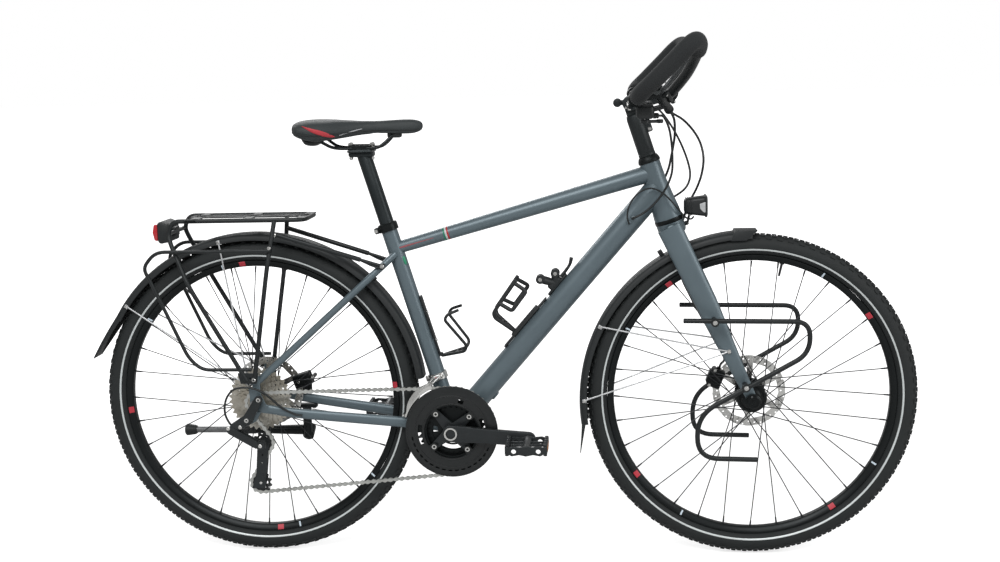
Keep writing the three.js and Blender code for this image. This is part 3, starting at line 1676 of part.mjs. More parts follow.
// A strap holder above the cage: a saddle-shaped foot, two drums and a lever. Their places are
// shares of the foot's length: along the tube from its middle, then out from the tube.
const strapDrumShares = [[-0.25, 0.6], [0.27, 0.33]];
const strapLeverShares = [[0.3, 0.1], [0.62, 0.1], [1.08, 0.24]];
function strapHolder() {
  const rise = flat(downTubeRadius, mainTubeSides) + gap + flat(boltRadius, 6);
  const half = strapHolderLength / 2;
  const at = ([along, out], y = 0) => byDownTube(
    strapHolderUp + along * strapHolderLength, -rise - out * strapHolderLength, y,
  );
  const width = bottleRadius / 3;
  return join(
    strut(
      byDownTube(strapHolderUp - half, -rise), byDownTube(strapHolderUp + half, -rise),
      boltRadius, undefined, 6, 3,
    ),
    ...strapDrumShares.map((shares) => strut(
      at(shares, -width), at(shares, width), boltRadius * 3.2, undefined, 10,
    )),
    ...strapDrumShares.map((shares) => strut(
      at([0, 0.08]), at(shares), boltRadius * 1.3, boltRadius * 2, 6,
    )),
    tube(strapLeverShares.map((shares) => at(shares)), boltRadius * 1.2, 6),
  );
}
piece(bicycle, "strap_holder", strapHolder(), blackPlastic);

// Kickstand under the left chainstay

const kickstandShares = [0.81, 0.98, -0.1];
const kickstandSeat = chainstayPoint(kickstandShares, 1);
const kickstandPivot = V(
  kickstandSeat.x, kickstandSeat.y + kickstandRadius * 2, kickstandSeat.z - kickstandDrop,
);
// The pivot's axis leans outward at its top, so that the leg swings out as it comes down.
const kickstandAxis = V(0, Math.cos(radians(kickstandTilt)), Math.sin(radians(kickstandTilt)));
const pivotSpan = kickstandRadius * 1.2;

function kickstandBracket() {
  const top = kickstandSeat.z - chainstayHeight * 0.6 - gap;
  const inner = kickstandPivot.clone().addScaledVector(
    kickstandAxis, -pivotSpan - gap - kickstandRadius,
  );
  const innerFace = kickstandPivot.clone().addScaledVector(kickstandAxis, -pivotSpan - gap);
  const ear = strut(inner, innerFace, kickstandPivotRadius, undefined, 12);
  const seat = V(kickstandSeat.x, kickstandSeat.y, top - kickstandRadius / 2);
  const post = strut(
    V(seat.x, seat.y, top), V(inner.x, inner.y, inner.z), kickstandRadius * 1.1, undefined, 8,
  );
  const clampPlate = box(kickstandDrop * 0.6, chainstayWidth * 1.3, kickstandRadius, seat);
  const pin = strut(
    inner,
    kickstandPivot.clone().addScaledVector(kickstandAxis, pivotSpan),
    kickstandRadius / 2,
    undefined,
    8,
  );
  const hubRoom = strut(
    innerFace, kickstandPivot.clone().addScaledVector(kickstandAxis, pivotSpan * 2),
    aroundFlat(kickstandPivotRadius + gap, 12), undefined, 12,
  );
  return join(cut(join(ear, post, clampPlate), hubRoom), pin);
}
piece(bicycle, "kickstand_bracket", kickstandBracket(), blackMetal);

function kickstandLeg() {
  const hubHalf = kickstandAxis.clone().multiplyScalar(pivotSpan);
  const hub = strut(
    kickstandPivot.clone().sub(hubHalf),
    kickstandPivot.clone().add(hubHalf),
    kickstandPivotRadius,
    undefined,
    12,
  );
  const along = (share, drop = 0) =>
    V(kickstandPivot.x - share * kickstandLength, kickstandPivot.y, kickstandPivot.z + drop);
  const leg = strut(along(0), along(0.45), kickstandRadius, kickstandRadius, 8);
  const sleeve = strut(along(0.43), along(0.64), kickstandRadius * 1.1, kickstandRadius * 1.1, 8);
  const slim = strut(along(0.6), along(0.95), kickstandRadius * 0.8, kickstandRadius * 0.8, 8);
  const foot = strut(along(0.95), along(1), kickstandRadius * 1.3, kickstandRadius * 1.4, 8);
  const bore = strut(
    kickstandPivot.clone().addScaledVector(kickstandAxis, -pivotSpan * 2),
    kickstandPivot.clone().addScaledVector(kickstandAxis, pivotSpan * 2),
    aroundFlat(kickstandRadius / 2 + gap, 8), undefined, 8,
  );
  return cut(join(hub, leg, sleeve, slim, foot), bore);
}
piece(bicycle, "kickstand_leg", kickstandLeg(), blackMetal);

// The gear cable's loop from the chainstay to the derailleur
const derailleurCableRoute = [
  [106, -76, -25],
  [88, -77, -21],
  [60, -81, -4],
  [30, -84, 24],
  [6, -85, 37],
  [-20, -86, 41],
  [-42, -86, 36],
  [-57, -85, 20],
  [-64, -84, 0],
  [-64, -84, -20],
  [-57, -83, -38],
  [-46.8, -82.8, -50.9],
].map(([x, y, z]) => V(x, y, z));
piece(bicycle, "derailleur_cable", tube(derailleurCableRoute, cableRadius), blackRubber);

// Steering group: its Z runs up the steering axis, and zero is level with the front axle

const steering = subgroup(bicycle, steeringFoot, -headTilt);
const wheelPlace = V(forkRake, 0, 0);
const frontWheel = subgroup(steering, wheelPlace, headTilt);
addTyreAndRim(frontWheel, "front");
const frontHub = hubWithSpokes({
  right: frontFlangeOffset,
  left: frontFlangeOffset,
  flangeRadius: frontFlangeRadius,
  shell: dynamoShellRadius,
  discY: frontDiscOffset,
  end: frontDiscOffset,
});
piece(frontWheel, "front_hub", frontHub, blackMetal);
piece(frontWheel, "front_brake_disc", brakeDisc(frontDiscOffset), silverMetal);
piece(frontWheel, "front_axle", axleBetween(frontDropoutSpacing, 0), silverMetal);

// Blade points: height share of the fork's length, forward share of its rake, and radius.
const bladeShares = [
  [0.985, -0.1],
  [0.515, 0.45],
  [0.185, 0.79],
  [0.035, 0.97],
];
const bladeSides = 12;
const bladeRadii = [bladeTopRadius, bladeMiddleRadius, bladeLowRadius, bladeEndRadius];

function bladePoint(i, side) {
  const [up, forward] = bladeShares[i];
  const outs = [
    bladeSpread,
    (bladeSpread + frontDropoutCentre) / 2,
    frontDropoutCentre + dropoutThickness / 3,
    frontDropoutCentre,
  ];
  return V(forward * forkRake, side * outs[i], up * forkLength);
}

function fork() {
  const top = forkLength - gap;
  const parts = [
    strut(
      V(0, 0, top - crownHeight),
      V(0, 0, forkLength + headTubeLength + headCupHeight + stemBaseLength * 0.5),
      steererRadius,
      undefined,
      14,
    ),
    strut(V(0, 0, top - crownHeight), V(0, 0, top), headTubeFlareRadius, headTubeFlareRadius, 16),
    strut(
      V(0, -bladeSpread, top - crownHeight * 0.6),
      V(0, bladeSpread, top - crownHeight * 0.6),
      crownHeight * 0.75,
      undefined,
      10,
    ),
  ];
  for (const side of [-1, 1]) {
    const points = bladeShares.map((_, i) => bladePoint(i, side));
    parts.push(taperedTube(points, bladeRadii, bladeSides, bladeFlatnessShare));
    const low = side * frontDropoutCentre - dropoutThickness / 2;
    const tipOutline = armOutline(
      [forkRake, 0],
      [bladePoint(3, side).x, bladePoint(3, side).z],
      axleRadius * 2.2,
      bladeEndRadius,
      4,
    );
    parts.push(plate(tipOutline, low, low + dropoutThickness));
  }
  const body = join(...parts);
  const ceiling = box(
    bladeTopRadius * 6, bladeSpread * 6, crownHeight * 4, V(0, 0, top + crownHeight * 2),
  );
  const clearTop = cut(
    ceiling, strut(V(0, 0, 0), V(0, 0, top + crownHeight * 5), steererRadius, undefined, 14),
  );
  const axleHole = strut(
    V(forkRake, -frontDropoutCentre * 2, 0), V(forkRake, frontDropoutCentre * 2, 0),
    axleRadius + gap * 1.5, undefined, 12,
  );
  return cut(body, clearTop, axleHole);
}
piece(steering, "fork", fork(), slatePaint);

// The riser on the steerer, with its pinch bolt in front and the stem's pivot lug on top
const stemPivotUp = forkLength + headTubeLength + headCupHeight + gap + stemBaseLength;
function stemBase() {
  const foot = forkLength + headTubeLength + headCupHeight + gap;
  const body = strut(
    V(0, 0, foot), V(0, 0, stemPivotUp - stemPivotRadius * 0.5), stemBaseRadius, stemBaseRadius, 14,
  );
  const lug = strut(
    V(0, -stemLugHalfWidth, stemPivotUp),
    V(0, stemLugHalfWidth, stemPivotUp),
    stemPivotRadius,
    undefined,
    14,
  );
  const trim = box(
    stemBaseRadius * 4, stemEarThickness * 2, stemPivotRadius * 3, V(0, 0, stemPivotUp),
  );
  const trims = [-1, 1].map((side) => trim.clone().translate(
    0, side * (stemLugHalfWidth + stemEarThickness), 0,
  ));
  const pinch = box(
    stemBaseRadius,
    stemLugHalfWidth * 1.6,
    stemBaseRadius * 1.4,
    V(stemBaseRadius * 1.1, 0, foot + stemBaseLength * 0.52),
  );
  const bore = strut(
    V(0, 0, foot - overrun), V(0, 0, foot + stemBaseLength * 0.62),
    (steererRadius + gap) / Math.cos(Math.PI / 14), undefined, 14,
  );
  return cut(join(cut(join(body, pinch), ...trims), lug), bore);
}
piece(steering, "stem_base", stemBase(), blackMetal);

// Pieces round the front axle, level with the ground
const frontLevel = subgroup(steering, wheelPlace, headTilt);
// The stays' eye on the blade's outer side, at a share of the fork's length.
const frontEyeShare = 0.29;
function bladeAt(up, side) {
  const next = bladeShares.findIndex((row) => row[0] <= up);
  const share = (bladeShares[next - 1][0] - up) / (bladeShares[next - 1][0] - bladeShares[next][0]);
  const place = bladePoint(next - 1, side).lerp(bladePoint(next, side), share);
  const radius = THREE.MathUtils.lerp(bladeRadii[next - 1], bladeRadii[next], share);
  const outer = Math.abs(place.y) + flat(radius, bladeSides) * bladeFlatnessShare;
  return { place, radius, outer };
}

// A steering-frame place as seen from the front axle, level.
const fromAxle = (place) => place.clone().sub(wheelPlace).applyAxisAngle(V(0, 1, 0), -headTilt);
const frontEye = bladeAt(frontEyeShare, 1);
const frontStayEye = fromAxle(frontEye.place).setY(frontEye.outer + gap);
const crownUp = forkLength - bladeTopRadius;
const crownPlace = V(-forkRake, 0, crownUp).applyAxisAngle(V(0, 1, 0), -headTilt).normalize();
const crownTab = strut(
  crownPlace.clone().multiplyScalar(fenderRadius - frontFenderDrop - fenderThickness * 1.5),
  crownPlace.clone().multiplyScalar(fenderRadius * 1.026), boltRadius * 2, undefined, 6,
);
const frontFender = join(
  fenderBlade(...frontFenderAngles, frontFenderSegments).translate(0, 0, -frontFenderDrop),
  fenderFlap(frontFenderAngles[1], frontFlapAngle, flapFlare).translate(0, 0, -frontFenderDrop),
  ...fenderStays(frontStayEye, frontStayAngles),
  crownTab,
);
piece(frontLevel, "front_fender", frontFender, blackPlastic);

// One bent tube on each side carries a pannier; two bolts hold it off the fork blade.
const lowriderShares = [
  [-1.23, 1.53],
  [0.62, 1.5],
  [0.96, 1.17],
  [0.52, 0.73],
  [-0.72, 0.02],
  [-1.02, -0.42],
  [-0.86, -0.9],
  [-0.55, -0.97],
  [0.04, -0.98],
];
const lowriderBoltShares = [0.471, 0.102]; // of the fork's length
function lowrider(side) {
  const y = side * lowriderOffset;
  const route = lowriderShares.map(([x, z]) => V(x * lowriderReach, y, z * lowriderReach));
  const parts = [tube(rounded(route, lowriderReach * 0.2, 1), lowriderTubeRadius)];
  for (const share of lowriderBoltShares) {
    const { place, outer } = bladeAt(share, side);
    const bolt = fromAxle(place);
    const head = bolt.clone().setY(y);
    parts.push(strut(head, bolt.setY(side * (outer + gap * 2)), boltRadius * 1.8, undefined, 6));
  }
  return join(...parts);
}
piece(frontLevel, "right_lowrider", lowrider(-1), blackMetal);
piece(frontLevel, "left_lowrider", lowrider(1), blackMetal);

const frontCaliperReach = brakeDiscRadius * 0.98;
const frontCaliperCentre = V(
  frontCaliperReach * Math.cos(radians(frontCaliperTurn)), 0,
  frontCaliperReach * Math.sin(radians(frontCaliperTurn)),
);
const frontCaliperFoot = box(
  caliperLength * 0.6, caliperWidth * 0.3, caliperLength * 0.3,
  V(
    frontCaliperCentre.x + caliperLength * 0.3,
    frontDiscOffset + caliperWidth * 0.3,
    frontCaliperCentre.z + caliperLength * 0.2,
  ),
);
const frontCaliper = caliper(
  frontCaliperCentre, radians(frontCaliperTurn - 90), V(0, 0, 0), frontDiscOffset, frontCaliperFoot,
);
piece(frontLevel, "front_caliper", frontCaliper, blackMetal);

// Headlight ahead of the crown, level
const headlightPlace = V(headlightReach, 0, forkLength + headlightRise);
const headlightGroup = subgroup(steering, headlightPlace, headTilt);
function headlight() {
  const half = headlightLength / 2;
  const profile = [
    [0, -half],
    [headlightRadius * 0.7, -half],
    [headlightRadius * 0.92, -half * 0.5],
    [headlightRadius, half],
    [headlightRadius * 0.86, half],
    [headlightRadius * 0.86, half - lensThickness - gap],
    [0, half - lensThickness - gap],
  ];
  const body = turned(profile, 16).rotateZ(-Math.PI / 2);
  const crownFace = flat(headTubeFlareRadius, 16) + gap;
  const onCrown = (forward) =>
    V(forward - headlightReach, 0, -headlightDrop).applyAxisAngle(V(0, 1, 0), -headTilt);
  const bracketEnd = onCrown(crownFace + boltRadius * 2);
  const foot = strut(onCrown(crownFace), bracketEnd, boltRadius * 1.6, undefined, 6);
  const arm = strut(
    V(-half * 0.5, 0, -headlightRadius * 0.7), bracketEnd, boltRadius * 1.5, undefined, 6,
  );
  return join(body, foot, arm);
}
piece(headlightGroup, "headlight", headlight(), blackPlastic);
const lensRadius = headlightRadius * 0.86 * Math.cos(Math.PI / 16) - gap;
const headlightLens = turned(
  [
    [0, headlightLength / 2 - lensThickness],
    [lensRadius, headlightLength / 2 - lensThickness],
    [lensRadius, headlightLength / 2 - lensThickness / 3],
    [0, headlightLength / 2],
  ],
  16,
).rotateZ(-Math.PI / 2);
piece(headlightGroup, "headlight_lens", headlightLens, clearLens);

// Stem arm, handlebar and controls, level, in a group at the bar's clamp

const barPlace = V(stemReach, 0, stemPivotUp - stemReach * 0.075);
const bars = subgroup(steering, barPlace, headTilt);
const pivotFromBar = V(
  -barPlace.x, 0, stemPivotUp - barPlace.z,
).applyAxisAngle(V(0, 1, 0), -headTilt);

function stemArm() {
  const earInner = stemLugHalfWidth + gap;
  const earOuter = earInner + stemEarThickness;
  const clampEnd = [-barClampRadius * 0.6, 0];
  const pivot = [pivotFromBar.x, pivotFromBar.z];
  const ear = armOutline(pivot, clampEnd, stemPivotRadius, barClampRadius * 0.8, 6);
  const head = circle(...pivot, stemPivotRadius * 0.55, 8);
  const clamp = strut(
    V(0, -barClampWidth / 2, 0), V(0, barClampWidth / 2, 0), barClampRadius, undefined, 14,
  );
  const webPlace = V(-barClampRadius - stemReach * 0.14, 0, pivotFromBar.z * 0.4);
  const body = join(
    plate(ear, earInner, earOuter),
    plate(ear, -earOuter, -earInner),
    plate(head, earOuter - runningGap, earOuter + boltRadius),
    plate(head, -earOuter - boltRadius, -earOuter + runningGap),
    clamp,
    box(stemReach * 0.42, earInner * 2 + stemEarThickness, stemPivotRadius, webPlace),
  );
  const bore = strut(
    V(0, -barClampWidth, 0), V(0, barClampWidth, 0),
    (barCentreRadius + gap) / Math.cos(Math.PI / 14), undefined, 14,
  );
  return cut(body, bore);
}
piece(bars, "stem_arm", stemArm(), blackMetal);

// The bar's route from its middle to one end: shares of its rise, its half width and its rise.
const barShares = [
  [0, 0.16, 0],
  [0.09, 0.25, 0.1],
  [0.3, 0.44, 0.4],
  [0.44, 0.67, 0.74],
  [0.46, 0.84, 0.93],
  [0.39, 0.955, 1],
  [0.24, 1, 0.9],
  [-0.04, 1, 0.62],
  [-0.38, 0.985, 0.29],
  [-0.59, 0.935, 0.09],
  [-0.68, 0.84, -0.03],
  [-0.7, 0.69, -0.08],
  [-0.68, 0.4, -0.1],
];
const barPoint = ([x, y, z], side) => V(x * barRise, side * y * barHalfWidth, z * barRise);
const barSide = (side) => barShares.map((shares) => barPoint(shares, side));

function handlebar() {
  const route = [...barSide(-1).reverse(), ...barSide(1)];
  const centre = strut(
    V(0, -barClampWidth * 0.75, 0), V(0, barClampWidth * 0.75, 0), barCentreRadius, undefined, 14,
  );
  return join(tube(route, barRadius, 8), centre);
}
piece(bars, "handlebar", handlebar(), blackMetal);

// The foam sleeve round the outer part of one side.
function grip(side) {
  const whole = barSide(side);
  const route = [
    whole[3].clone().lerp(whole[4], 0.35),
    ...whole.slice(4, 10),
    whole[10].clone().lerp(whole[9], 0.05),
  ];
  const hole = polygon(barRadius / Math.cos(Math.PI / 8) + gap, 8);
  return sweep(polygon(gripRadius, 10), route, [hole]);
}
piece(bars, "right_grip", grip(-1), blackRubber);
piece(bars, "left_grip", grip(1), blackRubber);

// Control: clamp on the bar's rear run, brake cylinder, lever bracket and shifter in one housing.
const clampShare = 0.75; // of the half width, from the middle
const shifterShare = 0.6;
const controlShares = [-0.695, -0.06]; // of the bar's rise: its rear run, from the clamp
const leverPivotShares = [-0.22, 0.775, 0.08];
const leverAxis = V(-0.77, 0, 0.64);
function controlPlace(side, share) {
  return V(controlShares[0] * barRise, side * share * barHalfWidth, controlShares[1] * barRise);
}
function leverPivot(side) {
  const [x, y, z] = leverPivotShares;
  return V(x * barRise, side * y * barHalfWidth, z * barRise);
}

// A split clamp round the bar's rear run, at a share of the half width.
function barClamp(side, share) {
  const place = controlPlace(side, share);
  const half = V(0, masterRadius, 0);
  return strut(
    place.clone().sub(half), place.clone().add(half), barRadius + masterRadius * 0.7, undefined, 6,
  );
}

function leverEars(pivot) {
  const along = (distance) => pivot.clone().addScaledVector(leverAxis, distance);
  return [-1, 1].map((way) =>
    strut(
      along(way * leverRadius * 1.2),
      along(way * leverRadius * 2.8),
      masterRadius * 0.9,
      undefined,
      6,
    ),
  );
}

// The brake cylinder's two ends: behind the lever's pivot, and where the hose leaves it.
function cylinderEnds(side) {
  const pivot = leverPivot(side);
  return [
    V(pivot.x - masterRadius * 0.6, pivot.y, pivot.z - masterRadius * 0.4),
    V(pivot.x + masterRadius * 1.8, side * barHalfWidth * 0.53, pivot.z - masterRadius * 4),
  ];
}

function shifterCentre(side) {
  const place = controlPlace(side, shifterShare);
  return place.add(V(shifterLength * 0.5, 0, -shifterLength * 0.7));
}

function control(side) {
  const place = controlPlace(side, clampShare);
  const pivot = leverPivot(side);
  const [behindPivot, hoseEnd] = cylinderEnds(side);
  const shifterPlace = shifterCentre(side);
  const body = join(
    barClamp(side, clampShare),
    barClamp(side, shifterShare),
    strut(place, behindPivot, masterRadius, masterRadius, 6),
    strut(behindPivot, hoseEnd, masterRadius, masterRadius * 0.8, 6),
    strut(controlPlace(side, shifterShare), shifterPlace, masterRadius * 1.2, undefined, 6),
    box(shifterLength, shifterLength * 1.2, shifterLength * 0.9, shifterPlace),
    strut(shifterPlace, behindPivot.clone().lerp(hoseEnd, 0.7), masterRadius * 0.6, undefined, 6),
    ...leverEars(pivot),
  );
  const barHole = sweep(
    polygon((barRadius + gap) / Math.cos(Math.PI / 8), 8),
    barShares.slice(9).map((shares) => barPoint(shares, side)),
  );
  const along = (distance) => pivot.clone().addScaledVector(leverAxis, distance);
  const reach = leverRadius * 1.2;
  const room = strut(along(-reach), along(reach), masterRadius * 0.8 + gap * 2, undefined, 10);
  const pin = strut(along(-reach * 1.5), along(reach * 1.5), leverRadius * 0.5, undefined, 6);
  return join(cut(body, barHole, room), pin);
}
piece(bars, "right_control", control(-1), blackMetal);
piece(bars, "left_control", control(1), blackMetal);

// A brake lever in two slightly bent lengths, with its pivot eye.
const leverDirection = V(0.64, 0, 0.77);
function brakeLever(side) {
  const pivot = leverPivot(side);
  const along = (share, inward) =>
    pivot.clone().addScaledVector(
      leverDirection, share * leverLength,
    ).add(V(0, -side * inward * leverRadius, 0));
  const eye = strut(
    pivot.clone().addScaledVector(leverAxis, -leverRadius),
    pivot.clone().addScaledVector(leverAxis, leverRadius),
    masterRadius * 0.8, undefined, 10,
  );
  const blade = taperedTube(
    [along(0, 0), along(0.35, 1.4), along(1, 0.6)],
    [leverRadius * 1.1, leverRadius, leverRadius * 0.8], 6,
  );
  const bore = strut(
    pivot.clone().addScaledVector(
      leverAxis, -leverRadius * 3,
    ), pivot.clone().addScaledVector(leverAxis, leverRadius * 3),
    aroundFlat(leverRadius * 0.5 + gap, 6), undefined, 6,
  );
  return cut(join(eye, blade), bore);
}
piece(bars, "right_brake_lever", brakeLever(-1), blackMetal);
piece(bars, "left_brake_lever", brakeLever(1), blackMetal);

// A thumb lever under the shifter.
function shiftPivot(side) {
  const place = shifterCentre(side);
  return place.setZ(place.z - shifterLength * 0.45 - shifterLength / 9 - gap);
}
function shiftLever(side) {
  const pivot = shiftPivot(side);
  const half = shifterLength / 9;
  const end = V(pivot.x + shiftLeverLength * 0.7, pivot.y - side * shiftLeverLength * 0.3, pivot.z);
  const hub = strut(
    V(pivot.x, pivot.y, pivot.z - half), V(pivot.x, pivot.y, pivot.z + half), shifterLength / 4,
  );
  const arm = strut(pivot, end, half * 0.9, half * 0.8, 6);
  const pad = strut(
    V(end.x, end.y, end.z - half), V(end.x, end.y, end.z + half), shifterLength / 5, undefined, 6,
  );
  return join(hub, arm, pad);
}
piece(bars, "right_shift_lever", shiftLever(-1), blackPlastic);
piece(bars, "left_shift_lever", shiftLever(1), blackPlastic);

// Hoses, cables and the lamp lead, in the frame's own axes from the rear axle

bicycle.updateMatrixWorld(true);
const inFrame = (group, place) => group.localToWorld(place.clone());

// The first two points of a brake hose, straight out of its cylinder.
function hoseStart(side) {
  const [start, end] = cylinderEnds(side).map((place) => inFrame(bars, place));
  const out = end.clone().sub(start).normalize();
  return [end.clone().addScaledVector(out, gap), end.clone().addScaledVector(out, masterRadius)];
}

// The first two points of a gear cable, straight out of its shifter.
function gearCableStart(side) {
  const centre = inFrame(bars, shifterCentre(side));
  const face = centre.x + shifterLength / 2;
  const low = centre.z - shifterLength / 4;
  return [V(face + gap, centre.y, low), V(face + masterRadius, centre.y, low)];
}

// The last two points of a cable, straight into its port in the down tube.
function portEnd(up, side) {
  const face = downTubeRadius + portReach;
  return [byDownTube(up, 0, side * (face + masterRadius)), byDownTube(up, 0, side * (face + gap))];
}

// The front hose round and down the back of the left blade: shares of the fork's length, and
// of the hose's clear distance behind the blade's axis and outside it.
const bladeHoseShares = [
  [0.72, 0.84, 0.42],
  [0.66, 1.02, 0.21],
  [0.6, 1.03, 0],
  [0.515, 1.03, 0],
  [0.4, 1, 0],
  [0.3, 1, 0],
  [0.2, 1, 0],
];
function besideBlade([up, back, out]) {
  const { place, radius } = bladeAt(up, 1);
  const clear = flat(radius, bladeSides) + hoseRadius + gap;
  return inFrame(steering, place.add(V(-back * clear, out * clear, 0)));
}

// Where the front hose meets the caliper's upper end.
function caliperEnd() {
  const turn = radians(frontCaliperTurn - 90);
  const at = (reach) =>
    V(
      frontCaliperCentre.x + reach * Math.cos(turn), frontDiscOffset + caliperWidth / 4,
      frontCaliperCentre.z + reach * Math.sin(turn),
    );
  const face = caliperLength / 2;
  return [face + masterRadius, face + gap].map((reach) => inFrame(frontLevel, at(reach)));
}

// The rest of each route is a list of chosen places, counted from the top of the down tube's axis.
const routeFoot = byDownTube(downTubeRun.length());
const toPoints = (places) => places.map(([x, y, z]) => V(x, y, z).add(routeFoot));
const frontBrakeHoseRoute = [
  [37, 128, 151],
  [59, 104, 137],
  [79, 76, 115],
  [93, 52, 89],
  [99, 38, 57],
  [95, 38, 23],
  [85, 44, -7],
  [73, 52, -32],
  [61, 57, -62],
  [51, 58.5, -97],
  [45, 58.8, -132],
  [45, 58, -165],
];
const rearBrakeHoseRoute = [
  [30, -128, 147],
  [32, -100, 117],
  [30, -62, 89],
  [27, -20, 63],
  [23, 16, 37],
  [11, 38, 7],
  [-9, 46, -19],
  [-29, 46, -42],
];
const rearShiftCableRoute = [
  [8, -164, 155],
  [19, -140, 131],
  [25, -110, 99],
  [28, -80, 65],
  [27, -58, 33],
  [15, -48, 1],
  [-5, -44, -27],
  [-29, -42, -49],
];
const frontShiftCableRoute = [
  [11, 164, 155],
  [33, 134, 125],
  [53, 100, 87],
  [67, 70, 48],
  [71, 52, 18],
  [61, 46, -7],
  [35, 50, -27],
  [0, 52, -45],
  [-35, 48, -62],
];
const lampLeadRoute = [
  [-66, -44, -57],
  [-61, -44, -33],
  [-43, -42, -9],
  [-17, -38, 1],
  [8, -35, -9],
  [27, -34, -27],
  [45, -28, -49],
  [59, -16, -65],
  [70, -5, -69],
  [75.97, 0, -64.6],
];
const frontBrakeHose = [
  ...hoseStart(1), ...toPoints(frontBrakeHoseRoute),
  ...bladeHoseShares.map(besideBlade), ...caliperEnd(),
];
const rearBrakeHose = [
  ...hoseStart(-1), ...toPoints(rearBrakeHoseRoute), ...portEnd(portHeight + portSpacing, 1),
];
const rearShiftCable = [
  ...gearCableStart(-1), ...toPoints(rearShiftCableRoute), ...portEnd(portHeight + portSpacing, -1),
];
const frontShiftCable = [
  ...gearCableStart(1), ...toPoints(frontShiftCableRoute), ...portEnd(portHeight, 1),
];
const lampLead = [...portEnd(portHeight, -1).reverse(), ...toPoints(lampLeadRoute)];
piece(bicycle, "front_brake_hose", tube(frontBrakeHose, hoseRadius), blackRubber);
piece(bicycle, "rear_brake_hose", tube(rearBrakeHose, hoseRadius), blackRubber);
piece(bicycle, "rear_shift_cable", tube(rearShiftCable, cableRadius), blackRubber);
piece(bicycle, "front_shift_cable", tube(frontShiftCable, cableRadius), blackRubber);
piece(bicycle, "lamp_lead", tube(lampLead, leadRadius, 5), blackRubber);

// The whole stands on the ground, with the origin below its middle.
bicycle.updateMatrixWorld(true);
const extent = new THREE.Box3().setFromObject(bicycle, true);
bicycle.position.set(-(extent.min.x + extent.max.x) / 2, 0, tyreRadius);

const part = new THREE.Group();
part.add(bicycle);
export default part;
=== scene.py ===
# A touring bicycle in matte slate grey: butterfly handlebar, disc brakes, three chainrings and a
# nine-speed cassette, mudguards, racks over both wheels, lights and a narrow sports saddle.
# It faces +X, its drive side looks along -Y, and its tyres stand on z = 0. Lengths are in metres.

import math

import bmesh
import bpy
from mathutils import Euler, Matrix, Vector


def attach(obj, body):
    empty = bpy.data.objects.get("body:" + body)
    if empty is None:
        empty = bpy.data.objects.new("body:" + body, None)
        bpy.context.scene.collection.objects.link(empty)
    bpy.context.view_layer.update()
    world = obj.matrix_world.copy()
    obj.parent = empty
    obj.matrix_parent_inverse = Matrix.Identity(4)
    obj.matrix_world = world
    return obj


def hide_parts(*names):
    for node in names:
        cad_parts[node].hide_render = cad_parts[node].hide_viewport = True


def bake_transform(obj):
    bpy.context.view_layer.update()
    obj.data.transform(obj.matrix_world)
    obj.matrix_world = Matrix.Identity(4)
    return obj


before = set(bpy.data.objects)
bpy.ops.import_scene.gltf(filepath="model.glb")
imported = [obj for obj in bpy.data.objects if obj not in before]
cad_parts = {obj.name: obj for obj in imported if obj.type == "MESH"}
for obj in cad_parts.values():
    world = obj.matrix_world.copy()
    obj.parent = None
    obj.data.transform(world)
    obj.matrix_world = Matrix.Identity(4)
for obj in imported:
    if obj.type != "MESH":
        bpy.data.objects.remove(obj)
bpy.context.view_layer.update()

# Camera
# It stands on the drive side, a little ahead of the bottom bracket and a little above the saddle,
# and looks down slightly, as the photograph does.
camera_data = bpy.data.cameras.new("camera")
lens_mm, camera_tilts = 48.456, (-9.20, 1.39, 4.91)
camera_data.lens = lens_mm
camera_data.sensor_width = 36
camera = bpy.data.objects.new("camera", camera_data)
bpy.context.scene.collection.objects.link(camera)
camera_turn = Euler([math.radians(a) for a in camera_tilts], "XYZ").to_matrix()
camera.matrix_world = (
    Matrix.Translation((0.2703, -2.891, 1.083))
    @ camera_turn.to_4x4()
    @ Matrix.Rotation(math.radians(90), 4, "X")
)
bpy.context.scene.camera = camera

# Studio
# A pale floor that keeps the soft shadow, a white surround, and three broad lamps: one high on
# the drive side, one ahead and one behind the far side.
scene = bpy.context.scene
scene.view_settings.view_transform = "Standard"
world = bpy.data.worlds.new("surround")
scene.world = world
world.use_nodes = True
nodes, links = world.node_tree.nodes, world.node_tree.links
nodes.clear()
seen = nodes.new("ShaderNodeLightPath")
bright = nodes.new("ShaderNodeMath")
bright.operation = "MAXIMUM"
links.new(seen.outputs["Is Camera Ray"], bright.inputs[0])
links.new(seen.outputs["Is Transmission Ray"], bright.inputs[1])
soft_sky = nodes.new("ShaderNodeBackground")
sky_strength, floor_shade = 0.42, 0.62
soft_sky.inputs["Strength"].default_value = sky_strength
white_sky = nodes.new("ShaderNodeBackground")
white_sky.inputs["Color"].default_value = (1, 1, 1, 1)
soft_sky.inputs["Color"].default_value = (1, 1, 1, 1)
sky_mix = nodes.new("ShaderNodeMixShader")
sky_out = nodes.new("ShaderNodeOutputWorld")
links.new(bright.outputs[0], sky_mix.inputs["Fac"])
links.new(soft_sky.outputs[0], sky_mix.inputs[1])
links.new(white_sky.outputs[0], sky_mix.inputs[2])
links.new(sky_mix.outputs[0], sky_out.inputs["Surface"])

